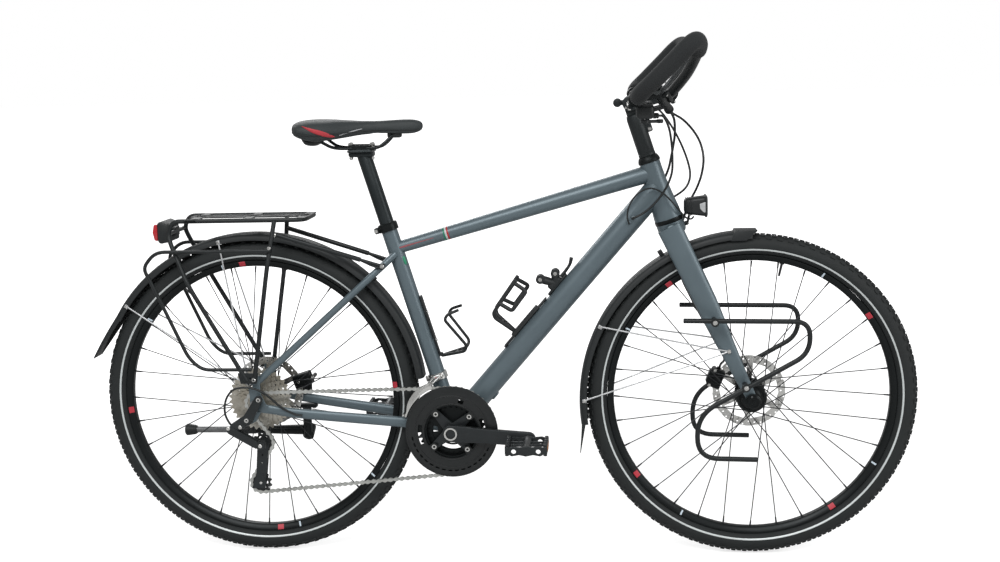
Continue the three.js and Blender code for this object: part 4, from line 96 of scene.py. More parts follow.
floor_mesh = bpy.data.meshes.new("floor")
bm = bmesh.new()
bmesh.ops.create_grid(bm, x_segments=1, y_segments=1, size=40)
bm.to_mesh(floor_mesh)
bm.free()
floor = bpy.data.objects.new("floor", floor_mesh)
scene.collection.objects.link(floor)
floor_material = bpy.data.materials.new("pale_floor")
floor_material.use_nodes = True
nodes, links = floor_material.node_tree.nodes, floor_material.node_tree.links
nodes.clear()
seen = nodes.new("ShaderNodeLightPath")
chalk = nodes.new("ShaderNodeBsdfDiffuse")
chalk.inputs["Color"].default_value = (floor_shade, floor_shade, floor_shade, 1)
glow = nodes.new("ShaderNodeEmission")
far_out = nodes.new("ShaderNodeVectorMath")
far_out.operation = "LENGTH"
floor_place = nodes.new("ShaderNodeTexCoord")
whiter = nodes.new("ShaderNodeMapRange")
for socket, value in (("From Min", 1.3), ("From Max", 3.2), ("To Min", 0.66), ("To Max", 1.1)):
    whiter.inputs[socket].default_value = value
links.new(floor_place.outputs["Object"], far_out.inputs[0])
links.new(far_out.outputs["Value"], whiter.inputs["Value"])
links.new(whiter.outputs["Result"], glow.inputs["Strength"])
lit = nodes.new("ShaderNodeAddShader")
floor_mix = nodes.new("ShaderNodeMixShader")
floor_out = nodes.new("ShaderNodeOutputMaterial")
links.new(chalk.outputs[0], lit.inputs[0])
links.new(glow.outputs[0], lit.inputs[1])
links.new(seen.outputs["Is Camera Ray"], floor_mix.inputs["Fac"])
links.new(chalk.outputs[0], floor_mix.inputs[1])
links.new(lit.outputs[0], floor_mix.inputs[2])
links.new(floor_mix.outputs[0], floor_out.inputs["Surface"])
floor.data.materials.append(floor_material)


def soft_lamp(name, place, target, size, power):
    data = bpy.data.lights.new(name, "AREA")
    data.shape = "RECTANGLE"
    data.size, data.size_y = size
    data.energy = power
    lamp = bpy.data.objects.new(name, data)
    scene.collection.objects.link(lamp)
    aim = (Vector(target) - Vector(place)).to_track_quat("-Z", "Y")
    lamp.matrix_world = Matrix.Translation(place) @ aim.to_matrix().to_4x4()


soft_lamp("high_lamp", (-0.6, -3.4, 3.6), (0, 0, 0.5), (3.6, 1.8), 125)
soft_lamp("front_lamp", (3.6, -1.6, 2.0), (0, 0, 0.6), (1.6, 2.2), 40)
soft_lamp("far_lamp", (-1.8, 3.4, 3.0), (0, 0, 0.6), (3.0, 1.4), 66)

# Frame
# Welded aluminium, smooth at its joints and sprayed matte slate grey: a fat down tube, a straight
# top tube, a flared head tube, slim seat stays and ports where the cables enter the down tube.
rear_axle = Vector((-0.530666, 0, 0.356))
wheelbase = 1.083
front_axle = rear_axle + Vector((wheelbase, 0, 0))
chainstay_length, shell_drop = 0.437, 0.067
shell_reach = math.sqrt(chainstay_length**2 - shell_drop**2)
shell = rear_axle + Vector((shell_reach, 0, -shell_drop))
seat_tilt, head_tilt = math.radians(90 - 73.4), math.radians(90 - 72)
fork_rake, fork_length, head_length = 0.047, 0.417, 0.135
seat_tube_length, seat_tube_radius = 0.472, 0.0175
down_tube_radius = 0.026
drop_spacing, dropout_thickness = 0.135, 0.006
dropout_centre = drop_spacing / 2 + dropout_thickness / 2


def beside_tube(foot, tilt, up, forward=0.0, left=0.0):
    sine, cosine = math.sin(tilt), math.cos(tilt)
    return foot + Vector((cosine * forward - sine * up, left, cosine * up + sine * forward))


steering_foot = beside_tube(front_axle, head_tilt, 0, -fork_rake)


def by_seat_tube(up, forward=0.0, left=0.0):
    return beside_tube(shell, seat_tilt, up, forward, left)


def by_steering(up, forward=0.0, left=0.0):
    return beside_tube(steering_foot, head_tilt, up, forward, left)


down_tube_top = by_steering(fork_length + 0.079)
down_run = down_tube_top - shell
down_tilt = math.atan2(-down_run.x, down_run.z)


def by_down_tube(up, forward=0.0, left=0.0):
    return beside_tube(shell, down_tilt, up, forward, left)


def from_rear_axle(x, y, z):
    return rear_axle + Vector((x, y, z)) / 1000


def smooth_path(points, steps=6):
    """A flowing line through the points."""
    ends = [points[0] * 2 - points[1], *points, points[-1] * 2 - points[-2]]
    out = []
    for a, b, c, d in zip(ends, ends[1:], ends[2:], ends[3:]):
        for i in range(steps):
            t = i / steps
            out.append(
                0.5 * (2 * b + (c - a) * t + (2 * a - 5 * b + 4 * c - d) * t * t
                       + (3 * b - 3 * c + d - a) * t**3)
            )
    return out + [points[-1]]


def bent_path(points, bend, steps=6):
    """Straight runs with a round bend at each inner corner."""
    out = [points[0]]
    for before, corner, after in zip(points, points[1:], points[2:]):
        reach = min(bend, (before - corner).length / 2.1, (after - corner).length / 2.1)
        start = corner + (before - corner).normalized() * reach
        end = corner + (after - corner).normalized() * reach
        for i in range(steps + 1):
            t = i / steps
            out.append(start.lerp(corner, t).lerp(corner.lerp(end, t), t))
    return out + [points[-1]]


def drawn_tube(points, radii, sides=16, flatness=1.0):
    """A tube drawn through rings along a path, and flattened sideways by a share."""
    if not isinstance(radii, (list, tuple)):
        radii = [radii] * len(points)
    bm = bmesh.new()
    across = None
    before = None
    for i, (point, radius) in enumerate(zip(points, radii)):
        along = (points[min(i + 1, len(points) - 1)] - points[max(i - 1, 0)]).normalized()
        if across is None or flatness != 1:
            across = Vector((0, 1, 0)) if abs(along.y) < 0.8 else Vector((1, 0, 0))
        across = (across - along * across.dot(along)).normalized()
        upright = along.cross(across)
        place = Matrix.Translation(point) @ Matrix((
            across * radius * flatness, upright * radius, along,
        )).transposed().to_4x4()
        made = bmesh.ops.create_circle(bm, radius=1, segments=sides, matrix=place)["verts"]
        ring = list({edge for vert in made for edge in vert.link_edges})
        if before:
            bmesh.ops.bridge_loops(bm, edges=before + ring)
        else:
            bmesh.ops.edgeloop_fill(bm, edges=ring)
        before = ring
    bmesh.ops.edgeloop_fill(bm, edges=before)
    bmesh.ops.recalc_face_normals(bm, faces=bm.faces)
    return bm


def turned(profile, centre=Vector((0, 0, 0)), axis=Vector((0, 1, 0)), steps=48, angle=360):
    """A profile of (radius, place along the axis) spun round the axis, a full turn or a part."""
    bm = bmesh.new()
    axis = axis.normalized()
    out = Vector((1, 0, 0)) if abs(axis.x) < 0.8 else Vector((0, 0, 1))
    out = (out - axis * out.dot(axis)).normalized()
    verts = [bm.verts.new(centre + out * radius + axis * along) for radius, along in profile]
    closed = profile[0][0] > 0 or profile[-1][0] > 0
    pairs = list(zip(verts, verts[1:])) + ([(verts[-1], verts[0])] if closed else [])
    edges = [bm.edges.new(pair) for pair in pairs]
    full = angle == 360
    if not full:
        start = bmesh.ops.contextual_create(bm, geom=edges)["faces"]
        verts_edges = verts + edges + start
    else:
        verts_edges = verts + edges
    bmesh.ops.spin(
        bm, geom=verts_edges, cent=centre, axis=axis, dvec=(0, 0, 0),
        angle=math.radians(angle), steps=steps, use_merge=full, use_duplicate=False,
    )
    bmesh.ops.remove_doubles(bm, verts=bm.verts, dist=1e-6)
    bmesh.ops.recalc_face_normals(bm, faces=bm.faces)
    return bm


def sharp_edges(bm, angle=35):
    limit = math.radians(angle)
    return [e for e in bm.edges if e.is_manifold and e.calc_face_angle(0) > limit]


def softened(bm, width, segments=2, angle=35):
    """Rounds the sharp edges of a shape."""
    bmesh.ops.bevel(
        bm, geom=sharp_edges(bm, angle), offset=width, segments=segments, profile=0.5,
        affect="EDGES", material=-1, clamp_overlap=True,
    )
    return bm


def flat_plate(outline, low, high, holes=(), bevel=0.0, centre=Vector((0, 0, 0))):
    """A plate in the XZ plane from one place on Y to another, with holes, edges rounded."""
    bm = bmesh.new()
    loops = []
    for loop in (outline, *holes):
        verts = [bm.verts.new((centre.x + x, low, centre.z + z)) for x, z in loop]
        loops += [bm.edges.new(pair) for pair in zip(verts, verts[1:] + verts[:1])]
    if holes:
        bmesh.ops.triangle_fill(bm, edges=loops, use_beauty=True, use_dissolve=False)
    else:
        bmesh.ops.contextual_create(bm, geom=loops)
    top = bmesh.ops.extrude_face_region(bm, geom=bm.faces[:])["geom"]
    raised = [v for v in top if isinstance(v, bmesh.types.BMVert)]
    bmesh.ops.translate(bm, verts=raised, vec=(0, high - low, 0))
    bmesh.ops.recalc_face_normals(bm, faces=bm.faces)
    return softened(bm, bevel) if bevel else bm


def ring_of(radius, count, x=0.0, z=0.0, turn=0.0):
    angles = [2 * math.pi * i / count + turn for i in range(count)]
    return [(x + radius * math.cos(a), z + radius * math.sin(a)) for a in angles]


def arm_outline(a, b, radius_a, radius_b, steps=8):
    """The outline round two circles, as [x, z] pairs."""
    angle = math.atan2(b[1] - a[1], b[0] - a[0])
    out = []
    for centre, radius, start in ((a, radius_a, angle + math.pi / 2), (b, radius_b, angle - math.pi / 2)):
        for i in range(steps + 1):
            turn = start + math.pi * i / steps
            out.append((centre[0] + radius * math.cos(turn), centre[1] + radius * math.sin(turn)))
    return out


def block(size, centre, turn=0.0, bevel=0.001, segments=2, axis="Y"):
    """A block with rounded edges, turned about an axis through its centre."""
    bm = bmesh.new()
    place = Matrix.Translation(centre) @ Matrix.Rotation(turn, 4, axis) @ Matrix.Diagonal((*size, 1))
    bmesh.ops.create_cube(bm, size=1, matrix=place)
    return softened(bm, bevel, segments)


def rod(a, b, radius, end_radius=None, sides=16, bevel=0.0):
    """A straight round bar between two points."""
    bm = drawn_tube([a, b], [radius, radius if end_radius is None else end_radius], sides)
    return softened(bm, bevel, 2, 60) if bevel else bm


def bolt_head(place, axis, radius=0.0045, height=0.003):
    """A domed bolt head with a round socket."""
    profile = [
        (0, 0), (radius, 0), (radius, height * 0.55), (radius * 0.72, height),
        (radius * 0.5, height), (radius * 0.5, height * 0.3), (0, height * 0.3),
    ]
    return turned(profile, place, axis, 12)


def joined(name, body, material, *shapes, slot=None, stands_for=(), smooth=35):
    """One named piece from several shapes, riding on a body."""
    mesh = bpy.data.meshes.new(name)
    whole = bmesh.new()
    for shape in shapes:
        shape.to_mesh(mesh)
        shape.free()
        whole.from_mesh(mesh)
    whole.to_mesh(mesh)
    whole.free()
    mesh.shade_smooth()
    mesh.set_sharp_from_angle(angle=math.radians(smooth))
    piece = bpy.data.objects.new(name, mesh)
    scene.collection.objects.link(piece)
    mesh.materials.append(material)
    if body:
        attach(piece, body)
    if stands_for:
        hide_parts(*stands_for)
    return piece


def surface_finish(name, colour, roughness, metallic=0.0, grain=900.0, depth=0.1, spread=0.12,
                   rough_spread=0.12, second=None, **sockets):
    """A material whose colour, gloss and fine relief vary a little over the surface."""
    material = bpy.data.materials.new(name)
    material.use_nodes = True
    nodes, links = material.node_tree.nodes, material.node_tree.links
    shader = nodes["Principled BSDF"]
    shader.inputs["Metallic"].default_value = metallic
    for socket, value in sockets.items():
        shader.inputs[socket.replace("_", " ")].default_value = value
    where = nodes.new("ShaderNodeTexCoord")
    cloud = nodes.new("ShaderNodeTexNoise")
    cloud.inputs["Scale"].default_value = 14
    cloud.inputs["Detail"].default_value = 6
    links.new(where.outputs["Object"], cloud.inputs["Vector"])
    tint = nodes.new("ShaderNodeValToRGB")
    dark = [c * (1 - spread) for c in colour]
    pale = second or [min(1, c * (1 + spread)) for c in colour]
    tint.color_ramp.elements[0].color = (*dark, 1)
    tint.color_ramp.elements[0].position = 0.3
    tint.color_ramp.elements[1].color = (*pale, 1)
    tint.color_ramp.elements[1].position = 0.7
    links.new(cloud.outputs["Fac"], tint.inputs["Fac"])
    links.new(tint.outputs["Color"], shader.inputs["Base Color"])
    gloss = nodes.new("ShaderNodeMapRange")
    gloss.inputs["To Min"].default_value = max(0.02, roughness - rough_spread)
    gloss.inputs["To Max"].default_value = min(1, roughness + rough_spread)
    fine = nodes.new("ShaderNodeTexNoise")
    fine.inputs["Scale"].default_value = grain
    fine.inputs["Detail"].default_value = 3
    links.new(where.outputs["Object"], fine.inputs["Vector"])
    links.new(cloud.outputs["Fac"], gloss.inputs["Value"])
    links.new(gloss.outputs["Result"], shader.inputs["Roughness"])
    relief = nodes.new("ShaderNodeBump")
    relief.inputs["Strength"].default_value = depth
    relief.inputs["Distance"].default_value = 0.0006
    links.new(fine.outputs["Fac"], relief.inputs["Height"])
    links.new(relief.outputs["Normal"], shader.inputs["Normal"])
    return material


slate_paint = surface_finish(
    "slate_paint", (0.112, 0.15, 0.17), 0.4, 0.35, grain=1600, depth=0.05, spread=0.05,
    rough_spread=0.05, Coat_Weight=0.25, Coat_Roughness=0.35,
)


def chainstay_at(along, out, up, side):
    x = shell_reach * (1 - along)
    return rear_axle + Vector((x, side * out * dropout_centre, -shell_drop * (1 - along) + up * shell_drop))


seatstay_top = by_seat_tube(seat_tube_length - 0.066)
seatstay_rows = [(0, 0.22), (0.17, 0.56), (1, 0.95)]


def seatstay_at(along, side):
    low, high = next(p for p in zip(seatstay_rows, seatstay_rows[1:]) if along <= p[1][0])
    share = (along - low[0]) / (high[0] - low[0])
    out = low[1] + (high[1] - low[1]) * share
    foot = rear_axle + Vector((0, 0, 0.042))
    place = seatstay_top.lerp(foot, along)
    return Vector((place.x, side * out * dropout_centre, place.z))


def head_tube():
    rows = [(0.0302, 0), (0.0302, 0.1), (0.029, 0.22), (0.0255, 0.45), (0.0228, 0.68), (0.022, 0.85),
            (0.022, 1)]
    outside = [(radius, fork_length + share * head_length) for radius, share in rows]
    top = fork_length + head_length
    inside = [(0.0162, top), (0.0162, fork_length)]
    up = (by_steering(1) - by_steering(0)).normalized()
    return turned(outside + inside, steering_foot, up, 56)


def dropout(side):
    shares = [(-0.15, -0.19), (0.24, -0.27), (0.95, -0.36), (0.97, -0.14), (0.34, -0.02), (0.19, 0.3),
              (0.17, 0.86), (-0.2, 0.9), (-0.14, 0.22)]
    outline = [(x * 0.074, z * 0.074) for x, z in shares]
    low = side * dropout_centre - dropout_thickness / 2
    hole = ring_of(0.0054, 20)
    plate = flat_plate(outline, low, low + dropout_thickness, [hole], 0.0012, rear_axle)
    if side > 0:
        return [plate]
    hanger = [(-0.14, -0.14), (0.2, -0.2), (0.02, -0.52), (-0.12, -0.6), (-0.32, -0.56), (-0.36, -0.4)]
    hung = [(x * 0.074, z * 0.074) for x, z in hanger]
    return [plate, flat_plate(hung, low, low + dropout_thickness, (), 0.0012, rear_axle)]


def cable_port(up, side):
    inner = by_down_tube(up, 0, side * (down_tube_radius - 0.004))
    outer = by_down_tube(up, 0, side * (down_tube_radius + 0.003))
    return drawn_tube([inner, inner.lerp(outer, 0.75), outer], [0.0062, 0.0052, 0.0034], 20)


def between(values, steps=6):
    """As many radii as smooth_path gives points."""
    return [a + (b - a) * i / steps for a, b in zip(values, values[1:])
            for i in range(steps)] + [values[-1]]


shapes = [
    rod(shell, by_seat_tube(seat_tube_length), seat_tube_radius, sides=40),
    drawn_tube([by_seat_tube(seat_tube_length - 0.056),
                by_steering(fork_length + head_length - 0.023)], [0.0135, 0.019], 40),
    drawn_tube([shell, down_tube_top], down_tube_radius, 48), head_tube(),
    turned([(0.0222, -0.034), (0.0222, 0.034), (0.017, 0.034), (0.017, -0.034)], shell, steps=48),
]
for side in (-1, 1):
    stay = [chainstay_at(*row, side) for row in
            ((0, 0.22, 0), (0.13, 0.38, 0), (0.3, 0.6, 0), (0.77, 0.95, -0.11), (0.93, 1, -0.1))]
    heights = between([0.0132, 0.012, 0.012, 0.0108, 0.0096])
    shapes.append(drawn_tube(smooth_path(stay), heights, 24, 14 / 24))
    upper = [seatstay_at(share, side) for share in (0, 0.17, 0.6, 0.97)]
    shapes.append(drawn_tube(smooth_path(upper, 6), 0.0075, 20))
    shapes += dropout(side)
    for up in (0.597, 0.611):
        shapes.append(cable_port(up, side))
shapes.append(rod(seatstay_at(0.12, -1), seatstay_at(0.12, 1), 0.006))
shapes.append(rod(chainstay_at(0.13, 0.38, 0, -1), chainstay_at(0.13, 0.38, 0, 1), 0.006))
# Bosses for the cages' bolts and the cable guide under the down tube.
for up in (0.2, 0.262):
    shapes.append(rod(by_seat_tube(up, 0.015), by_seat_tube(up, 0.0186), 0.0055, 0.0045))
guide_place = by_down_tube(0.112, down_tube_radius - 0.001)
shapes.append(block((0.008, 0.016, 0.02), guide_place, -down_tilt, 0.003, 3))
joined("welded_frame", "frame", slate_paint, *shapes, slot="slate_paint",
       stands_for=["frame"], smooth=50)


# Fork
# Aluminium in the frame's slate paint: a steerer, a crown under the head tube and two deep blades
# that thin towards their tips and end in flat dropouts.
blade_rows = [(0.985, -0.1, 0.041, 0.026), (0.75, 0.175, 0.044, 0.0245), (0.515, 0.45, 0.047, 0.023),
              (0.185, 0.79, 0.055, 0.015), (0.035, 0.97, 0.053, 0.0115)]


def blade_point(row, side):
    up, forward, out, _ = row
    return by_steering(up * fork_length, forward * fork_rake, side * out)


crown_top = fork_length - 0.0006
shapes = [
    rod(by_steering(fork_length - 0.02), by_steering(fork_length + head_length + 0.05), 0.0143, sides=32),
    turned([(0, -0.026), (0.027, -0.026), (0.0296, -0.021), (0.0301, 0), (0, 0)], by_steering(crown_top),
           by_steering(1) - by_steering(0), 48),
    drawn_tube([by_steering(crown_top - 0.0165, 0, y) for y in (-0.047, -0.043, -0.02, 0.02, 0.043, 0.047)],
               [0.009, 0.0145, 0.0158, 0.0158, 0.0145, 0.009], 28),
]
for side in (-1, 1):
    points = [blade_point(row, side) for row in blade_rows]
    radii = between([row[3] for row in blade_rows])
    shapes.append(drawn_tube(smooth_path(points), radii, 32, 0.48))
    tip = points[-1]
    outline = arm_outline((front_axle.x, front_axle.z), (tip.x, tip.z), 0.011, 0.0112)
    low = side * (0.05 + dropout_thickness / 2) - dropout_thickness / 2
    shapes.append(flat_plate(outline, low, low + dropout_thickness, (), 0.001))
joined("fork_blades", "fork", slate_paint, *shapes, slot="slate_paint", stands_for=["fork"], smooth=50)

# Wheels
# Each has a 42-622 touring tyre with a reflecting ring on its sides, a black deep-section rim with
# plain coloured marks, 32 crossed steel spokes and their nipples, and an aluminium hub.
tyre_rubber = surface_finish("tyre_rubber", (0.0092, 0.012, 0.0125), 0.72, grain=1400, depth=0.35,
                             spread=0.2)
reflecting_band = surface_finish("reflecting_band", (0.66, 0.7, 0.7), 0.35, 0.3, grain=2600, depth=0.2,
                                 spread=0.06)
black_anodised = surface_finish("black_anodised", (0.0076, 0.01, 0.0105), 0.38, 0.6, grain=2200, depth=0.05,
                                spread=0.1)
spoke_steel = surface_finish("spoke_steel", (0.032, 0.034, 0.037), 0.34, 0.6, grain=1500, depth=0.05)
red_mark = surface_finish("red_mark", (0.5, 0.03, 0.05), 0.4, grain=1200, depth=0.03, spread=0.06)
pale_mark = surface_finish("pale_mark", (0.62, 0.72, 0.8), 0.4, grain=1200, depth=0.03, spread=0.05)


def moved(bm, matrix):
    bmesh.ops.transform(bm, matrix=matrix, verts=bm.verts)
    return bm


def repeated(bm, centre, count, axis=Vector((0, 1, 0))):
    """The same shape again and again round an axis."""
    bmesh.ops.spin(bm, geom=bm.verts[:] + bm.edges[:] + bm.faces[:], cent=centre, axis=axis,
                   dvec=(0, 0, 0), angle=2 * math.pi * (count - 1) / count, steps=count - 1,
                   use_duplicate=True)
    return bm


def round_axle(centre, angle):
    """Turns a shape made ahead of an axle up round it, by degrees."""
    return Matrix.Translation(centre) @ Matrix.Rotation(-math.radians(angle), 4, "Y")


tread_rows, sidewall_height = 92, 0.022


def tread_blocks(centre):
    """Low blocks along the middle, and taller, leaning ones on both shoulders."""
    bm = bmesh.new()
    for y, height, length, width, reach, step in (
        (0.0026, 0.0026, 0.0095, 0.0042, 0.3542, 0.0), (-0.0026, 0.0026, 0.0095, 0.0042, 0.3542, 0.5),
        (0.0092, 0.0028, 0.008, 0.0052, 0.3512, 0.5), (-0.0092, 0.0028, 0.008, 0.0052, 0.3512, 0.0),
        (0.0158, 0.003, 0.0105, 0.005, 0.3462, 0.0), (-0.0158, 0.003, 0.0105, 0.005, 0.3462, 0.5),
    ):
        lean = math.atan2(y, sidewall_height)
        place = (
            round_axle(centre, step * 360 / tread_rows) @ Matrix.Translation((reach, y, 0))
            @ Matrix.Rotation(lean, 4, "Z") @ Matrix.Diagonal((height, width, length, 1))
        )
        bmesh.ops.create_cube(bm, size=1, matrix=place)
    return repeated(bm, centre, tread_rows)


spokes_per_flange, spoke_crossings = 16, 3
spoke_radius, spoke_reach = 0.00115, 0.2963


def spokes(centre, flanges, hole_radius):
    """Crossed spokes with their heads at the flanges, and the nipples at the rim."""
    shapes, nipples = [], []
    step = 2 * math.pi / spokes_per_flange
    for flange in flanges:
        for i in range(spokes_per_flange):
            leads = 1 if i % 2 == 0 else -1
            start = i * step
            end = start + leads * spoke_crossings * step + (step / 2 if flange > 0 else 0)
            side = math.copysign(1, flange)
            hub_y = flange + leads * 0.0018
            rim_y = side * 0.0036 + leads * 0.0011
            a = centre + Vector((hole_radius * math.cos(start), hub_y, hole_radius * math.sin(start)))
            b = centre + Vector((spoke_reach * math.cos(end), rim_y, spoke_reach * math.sin(end)))
            shapes.append(rod(a, b, spoke_radius, sides=8))
            head = a + Vector((0, leads * 0.0012, 0))
            shapes.append(rod(a - Vector((0, leads * 0.002, 0)), head, 0.0019, 0.0014, 8))
            nipples.append(rod(b.lerp(a, 0.045), b, 0.0016, 0.0021, 6))
    return shapes, nipples


valve_angle, valve_seat = 1.35, 0.2967


def wheel(prefix, centre, flanges, flange_radius):
    """One wheel's tyre with its reflecting ring, the rim, the spokes and the valve."""
    body = prefix + "_wheel"
    sidewall = [(0.3112, 0.0112), (0.3135, 0.0142), (0.3175, 0.0178), (0.3225, 0.0209), (0.328, 0.0223),
                (0.334, 0.022), (0.3395, 0.0203), (0.3445, 0.0172), (0.3485, 0.013), (0.3513, 0.0078),
                (0.3528, 0.0035)]
    profile = sidewall + [(0.353, 0)] + [(r, -y) for r, y in reversed(sidewall)]
    joined(prefix + "_casing", body, tyre_rubber, turned(profile, centre, steps=120), tread_blocks(centre),
           slot="tyre_rubber", stands_for=[prefix + "_tyre"], smooth=40)
    ring = [(0.3202, 0.0185), (0.3205, 0.0204), (0.3225, 0.0216), (0.3239, 0.022), (0.3242, 0.0205)]
    joined(prefix + "_reflecting_ring", body, reflecting_band,
           turned(ring, centre, steps=120), turned([(r, -y) for r, y in reversed(ring)], centre, steps=120),
           slot="tyre_rubber")
    half = [(0.3108, 0.0118), (0.3102, 0.0134), (0.3088, 0.0135), (0.307, 0.0128), (0.3, 0.0098),
            (0.2972, 0.0062)]
    rim = half + [(0.2966, 0)] + [(r, -y) for r, y in reversed(half)]
    joined(prefix + "_rim_hoop", body, black_anodised, turned(rim, centre, steps=120),
           slot="black_metal", stands_for=[prefix + "_rim"], smooth=30)
    valve_way = Vector((math.cos(valve_angle), 0, math.sin(valve_angle)))
    wires, nipples = spokes(centre, flanges, flange_radius - 0.003)
    joined(prefix + "_spokes", body, spoke_steel, *wires, slot="silver_metal")
    joined(prefix + "_nipples", body, spoke_steel, *nipples,
           rod(centre + valve_way * valve_seat, centre + valve_way * 0.268, 0.003, 0.0024, 12),
           rod(centre + valve_way * valve_seat, centre + valve_way * 0.2945, 0.0052, 0.0052, 6),
           slot="silver_metal")


def rim_mark(centre, angle, width, side):
    """A thin painted mark across one side of a rim."""
    face = [(0.3092, 0.01352), (0.3084, 0.0138), (0.307, 0.01315), (0.3, 0.01015), (0.2985, 0.0088),
            (0.299, 0.0086)]
    mark = turned([(r, -y * side) for r, y in face], Vector((0, 0, 0)), Vector((0, -1, 0)), 6, width)
    return moved(mark, round_axle(centre, angle))


wheel("rear", rear_axle, (-0.019, 0.032), 0.027)
wheel("front", front_axle, (-0.024, 0.024), 0.033)
for prefix, centre, red, pale in (
    ("rear", rear_axle, (4, 94, 184, 274), (103.5, 143.5, 283.5, 323.5)),
    ("front", front_axle, (34, 124, 214, 304), (60, 150, 240, 330)),
):
    joined(prefix + "_rim_red_marks", prefix + "_wheel", red_mark,
           *(rim_mark(centre, angle, 2.6, side) for angle in red for side in (-1, 1)), slot="black_metal")
    joined(prefix + "_rim_pale_marks", prefix + "_wheel", pale_mark,
           *(rim_mark(centre, angle, 0.7, side) for angle in pale for side in (-1, 1)), slot="black_metal")

# Hubs and axles
# The front hub is a dynamo in a wide black shell. The rear one is slim. Both carry a steel brake
# disc on their left, and a steel axle with round caps runs through them.
hub_rows = {
    "front": [(0.0054, -0.039), (0.0167, -0.039), (0.021, -0.036), (0.0265, -0.0275), (0.0265, -0.0262),
              (0.0325, -0.0255), (0.033, -0.0242), (0.0325, -0.0226), (0.0275, -0.022), (0.027, 0.022),
              (0.0325, 0.0226), (0.033, 0.0242), (0.0325, 0.0255), (0.024, 0.0262), (0.0205, 0.029),
              (0.0205, 0.0378), (0.0158, 0.0378), (0.0158, 0.0415), (0.0054, 0.0415)],
    "rear": [(0.0054, -0.022), (0.0158, -0.022), (0.017, -0.0215), (0.0265, -0.0206), (0.027, -0.019),
             (0.0265, -0.0175), (0.0185, -0.0168), (0.0155, -0.01), (0.0155, 0.022), (0.0185, 0.0302),
             (0.0265, 0.0305), (0.027, 0.032), (0.0265, 0.0336), (0.0208, 0.034), (0.0205, 0.0508),
             (0.0158, 0.0508), (0.0158, 0.0545), (0.0054, 0.0545)],
}
steel_bright = surface_finish("bright_steel", (0.66, 0.66, 0.64), 0.25, 0.95, grain=1200, depth=0.06,
                              spread=0.08)
axle_steel = surface_finish("axle_steel", (0.3, 0.31, 0.32), 0.3, 0.9, grain=1500, depth=0.08)
for prefix, centre in (("front", front_axle), ("rear", rear_axle)):
    joined(prefix + "_hub_shell", prefix + "_wheel", black_anodised,
           turned(hub_rows[prefix], centre, steps=56),
           slot="black_metal", stands_for=[prefix + "_hub"], smooth=35)


def axle(half):
    outside = half + 0.0068
    return [(0, -outside), (0.0042, -outside), (0.0046, -outside + 0.0012), (0.0085, -outside + 0.0012),
            (0.0098, -outside + 0.0028), (0.0098, -half), (0.005, -half), (0.005, half), (0.0098, half),
            (0.0098, outside - 0.0028), (0.0085, outside - 0.0012), (0.0046, outside - 0.0012),
            (0.0042, outside), (0, outside)]


joined("front_axle_rod", "fork", axle_steel, turned(axle(0.0565), front_axle, steps=32),
       slot="silver_metal", stands_for=["front_axle"])
joined("rear_axle_rod", "frame", axle_steel, turned(axle(0.074), rear_axle, steps=32), slot="silver_metal",
       stands_for=["rear_axle"])

plug = [(0, -0.0698), (0.0042, -0.0698), (0.0046, -0.0682), (0.0092, -0.0682), (0.0098, -0.0692),
        (0.0128, -0.0692), (0.0138, -0.068), (0.0168, -0.066), (0.0172, -0.0612), (0, -0.0612)]
joined("dynamo_cap", "fork", black_anodised, turned(plug, front_axle, steps=40),
       block((0.017, 0.006, 0.012), front_axle + Vector((-0.016, -0.0645, 0.002)), 0, 0.002, 3),
       slot="black_plastic")
joined("dynamo_cap_bolt", "fork", axle_steel,
       bolt_head(front_axle + Vector((-0.0035, -0.0682, 0.0122)), Vector((0, -1, 0)), 0.0022, 0.0016),
       slot="silver_metal")

# Brake discs
# Stainless steel, 160 mm across: a drilled band held by six leaning arms and bolted to the hub.
disc_arms, disc_drillings, disc_band, disc_half_thick = 6, 36, 0.066, 0.0009


def disc(centre, y):
    windows = []
    for i in range(disc_arms):
        turn = 2 * math.pi * i / disc_arms
        corners = [(0.44, -0.62), (0.72, -0.82), (0.965, -0.92), (0.98, -0.1), (0.965, 0.74), (0.72, 0.66),
                   (0.44, 0.6)]
        windows.append([(disc_band * out * math.cos(turn + a * math.pi / 6),
                         disc_band * out * math.sin(turn + a * math.pi / 6))
                        for out, a in corners])
    drilled = []
    for i in range(disc_drillings):
        turn = 2 * math.pi * i / disc_drillings
        reach = (0.0695, 0.073, 0.0765)[i % 3]
        drilled.append(ring_of(0.0021, 8, reach * math.cos(turn), reach * math.sin(turn)))
    bolts = [ring_of(0.0024, 8, 0.022 * math.cos(t), 0.022 * math.sin(t))
             for t in (math.pi * i / 3 for i in range(6))]
    rim = [(r * math.cos(a), r * math.sin(a)) for i in range(72)
           for a, r in [(2 * math.pi * i / 72, 0.0798 if i % 4 else 0.0788)]]
    plate = flat_plate(rim, y - disc_half_thick, y + disc_half_thick,
                       [ring_of(0.0171, 24), *windows, *drilled], 0, centre)
    heads = [bolt_head(centre + Vector((x, y + disc_half_thick, z)), Vector((0, 1, 0)), 0.0042, 0.002)
             for x, z in (bolt[0] for bolt in bolts)]
    return [plate, *heads]


joined("front_disc", "front_wheel", steel_bright, *disc(front_axle, 0.039), slot="silver_metal",
       stands_for=["front_brake_disc"])
joined("rear_disc", "rear_wheel", steel_bright, *disc(rear_axle, 0.052), slot="silver_metal",
       stands_for=["rear_brake_disc"])

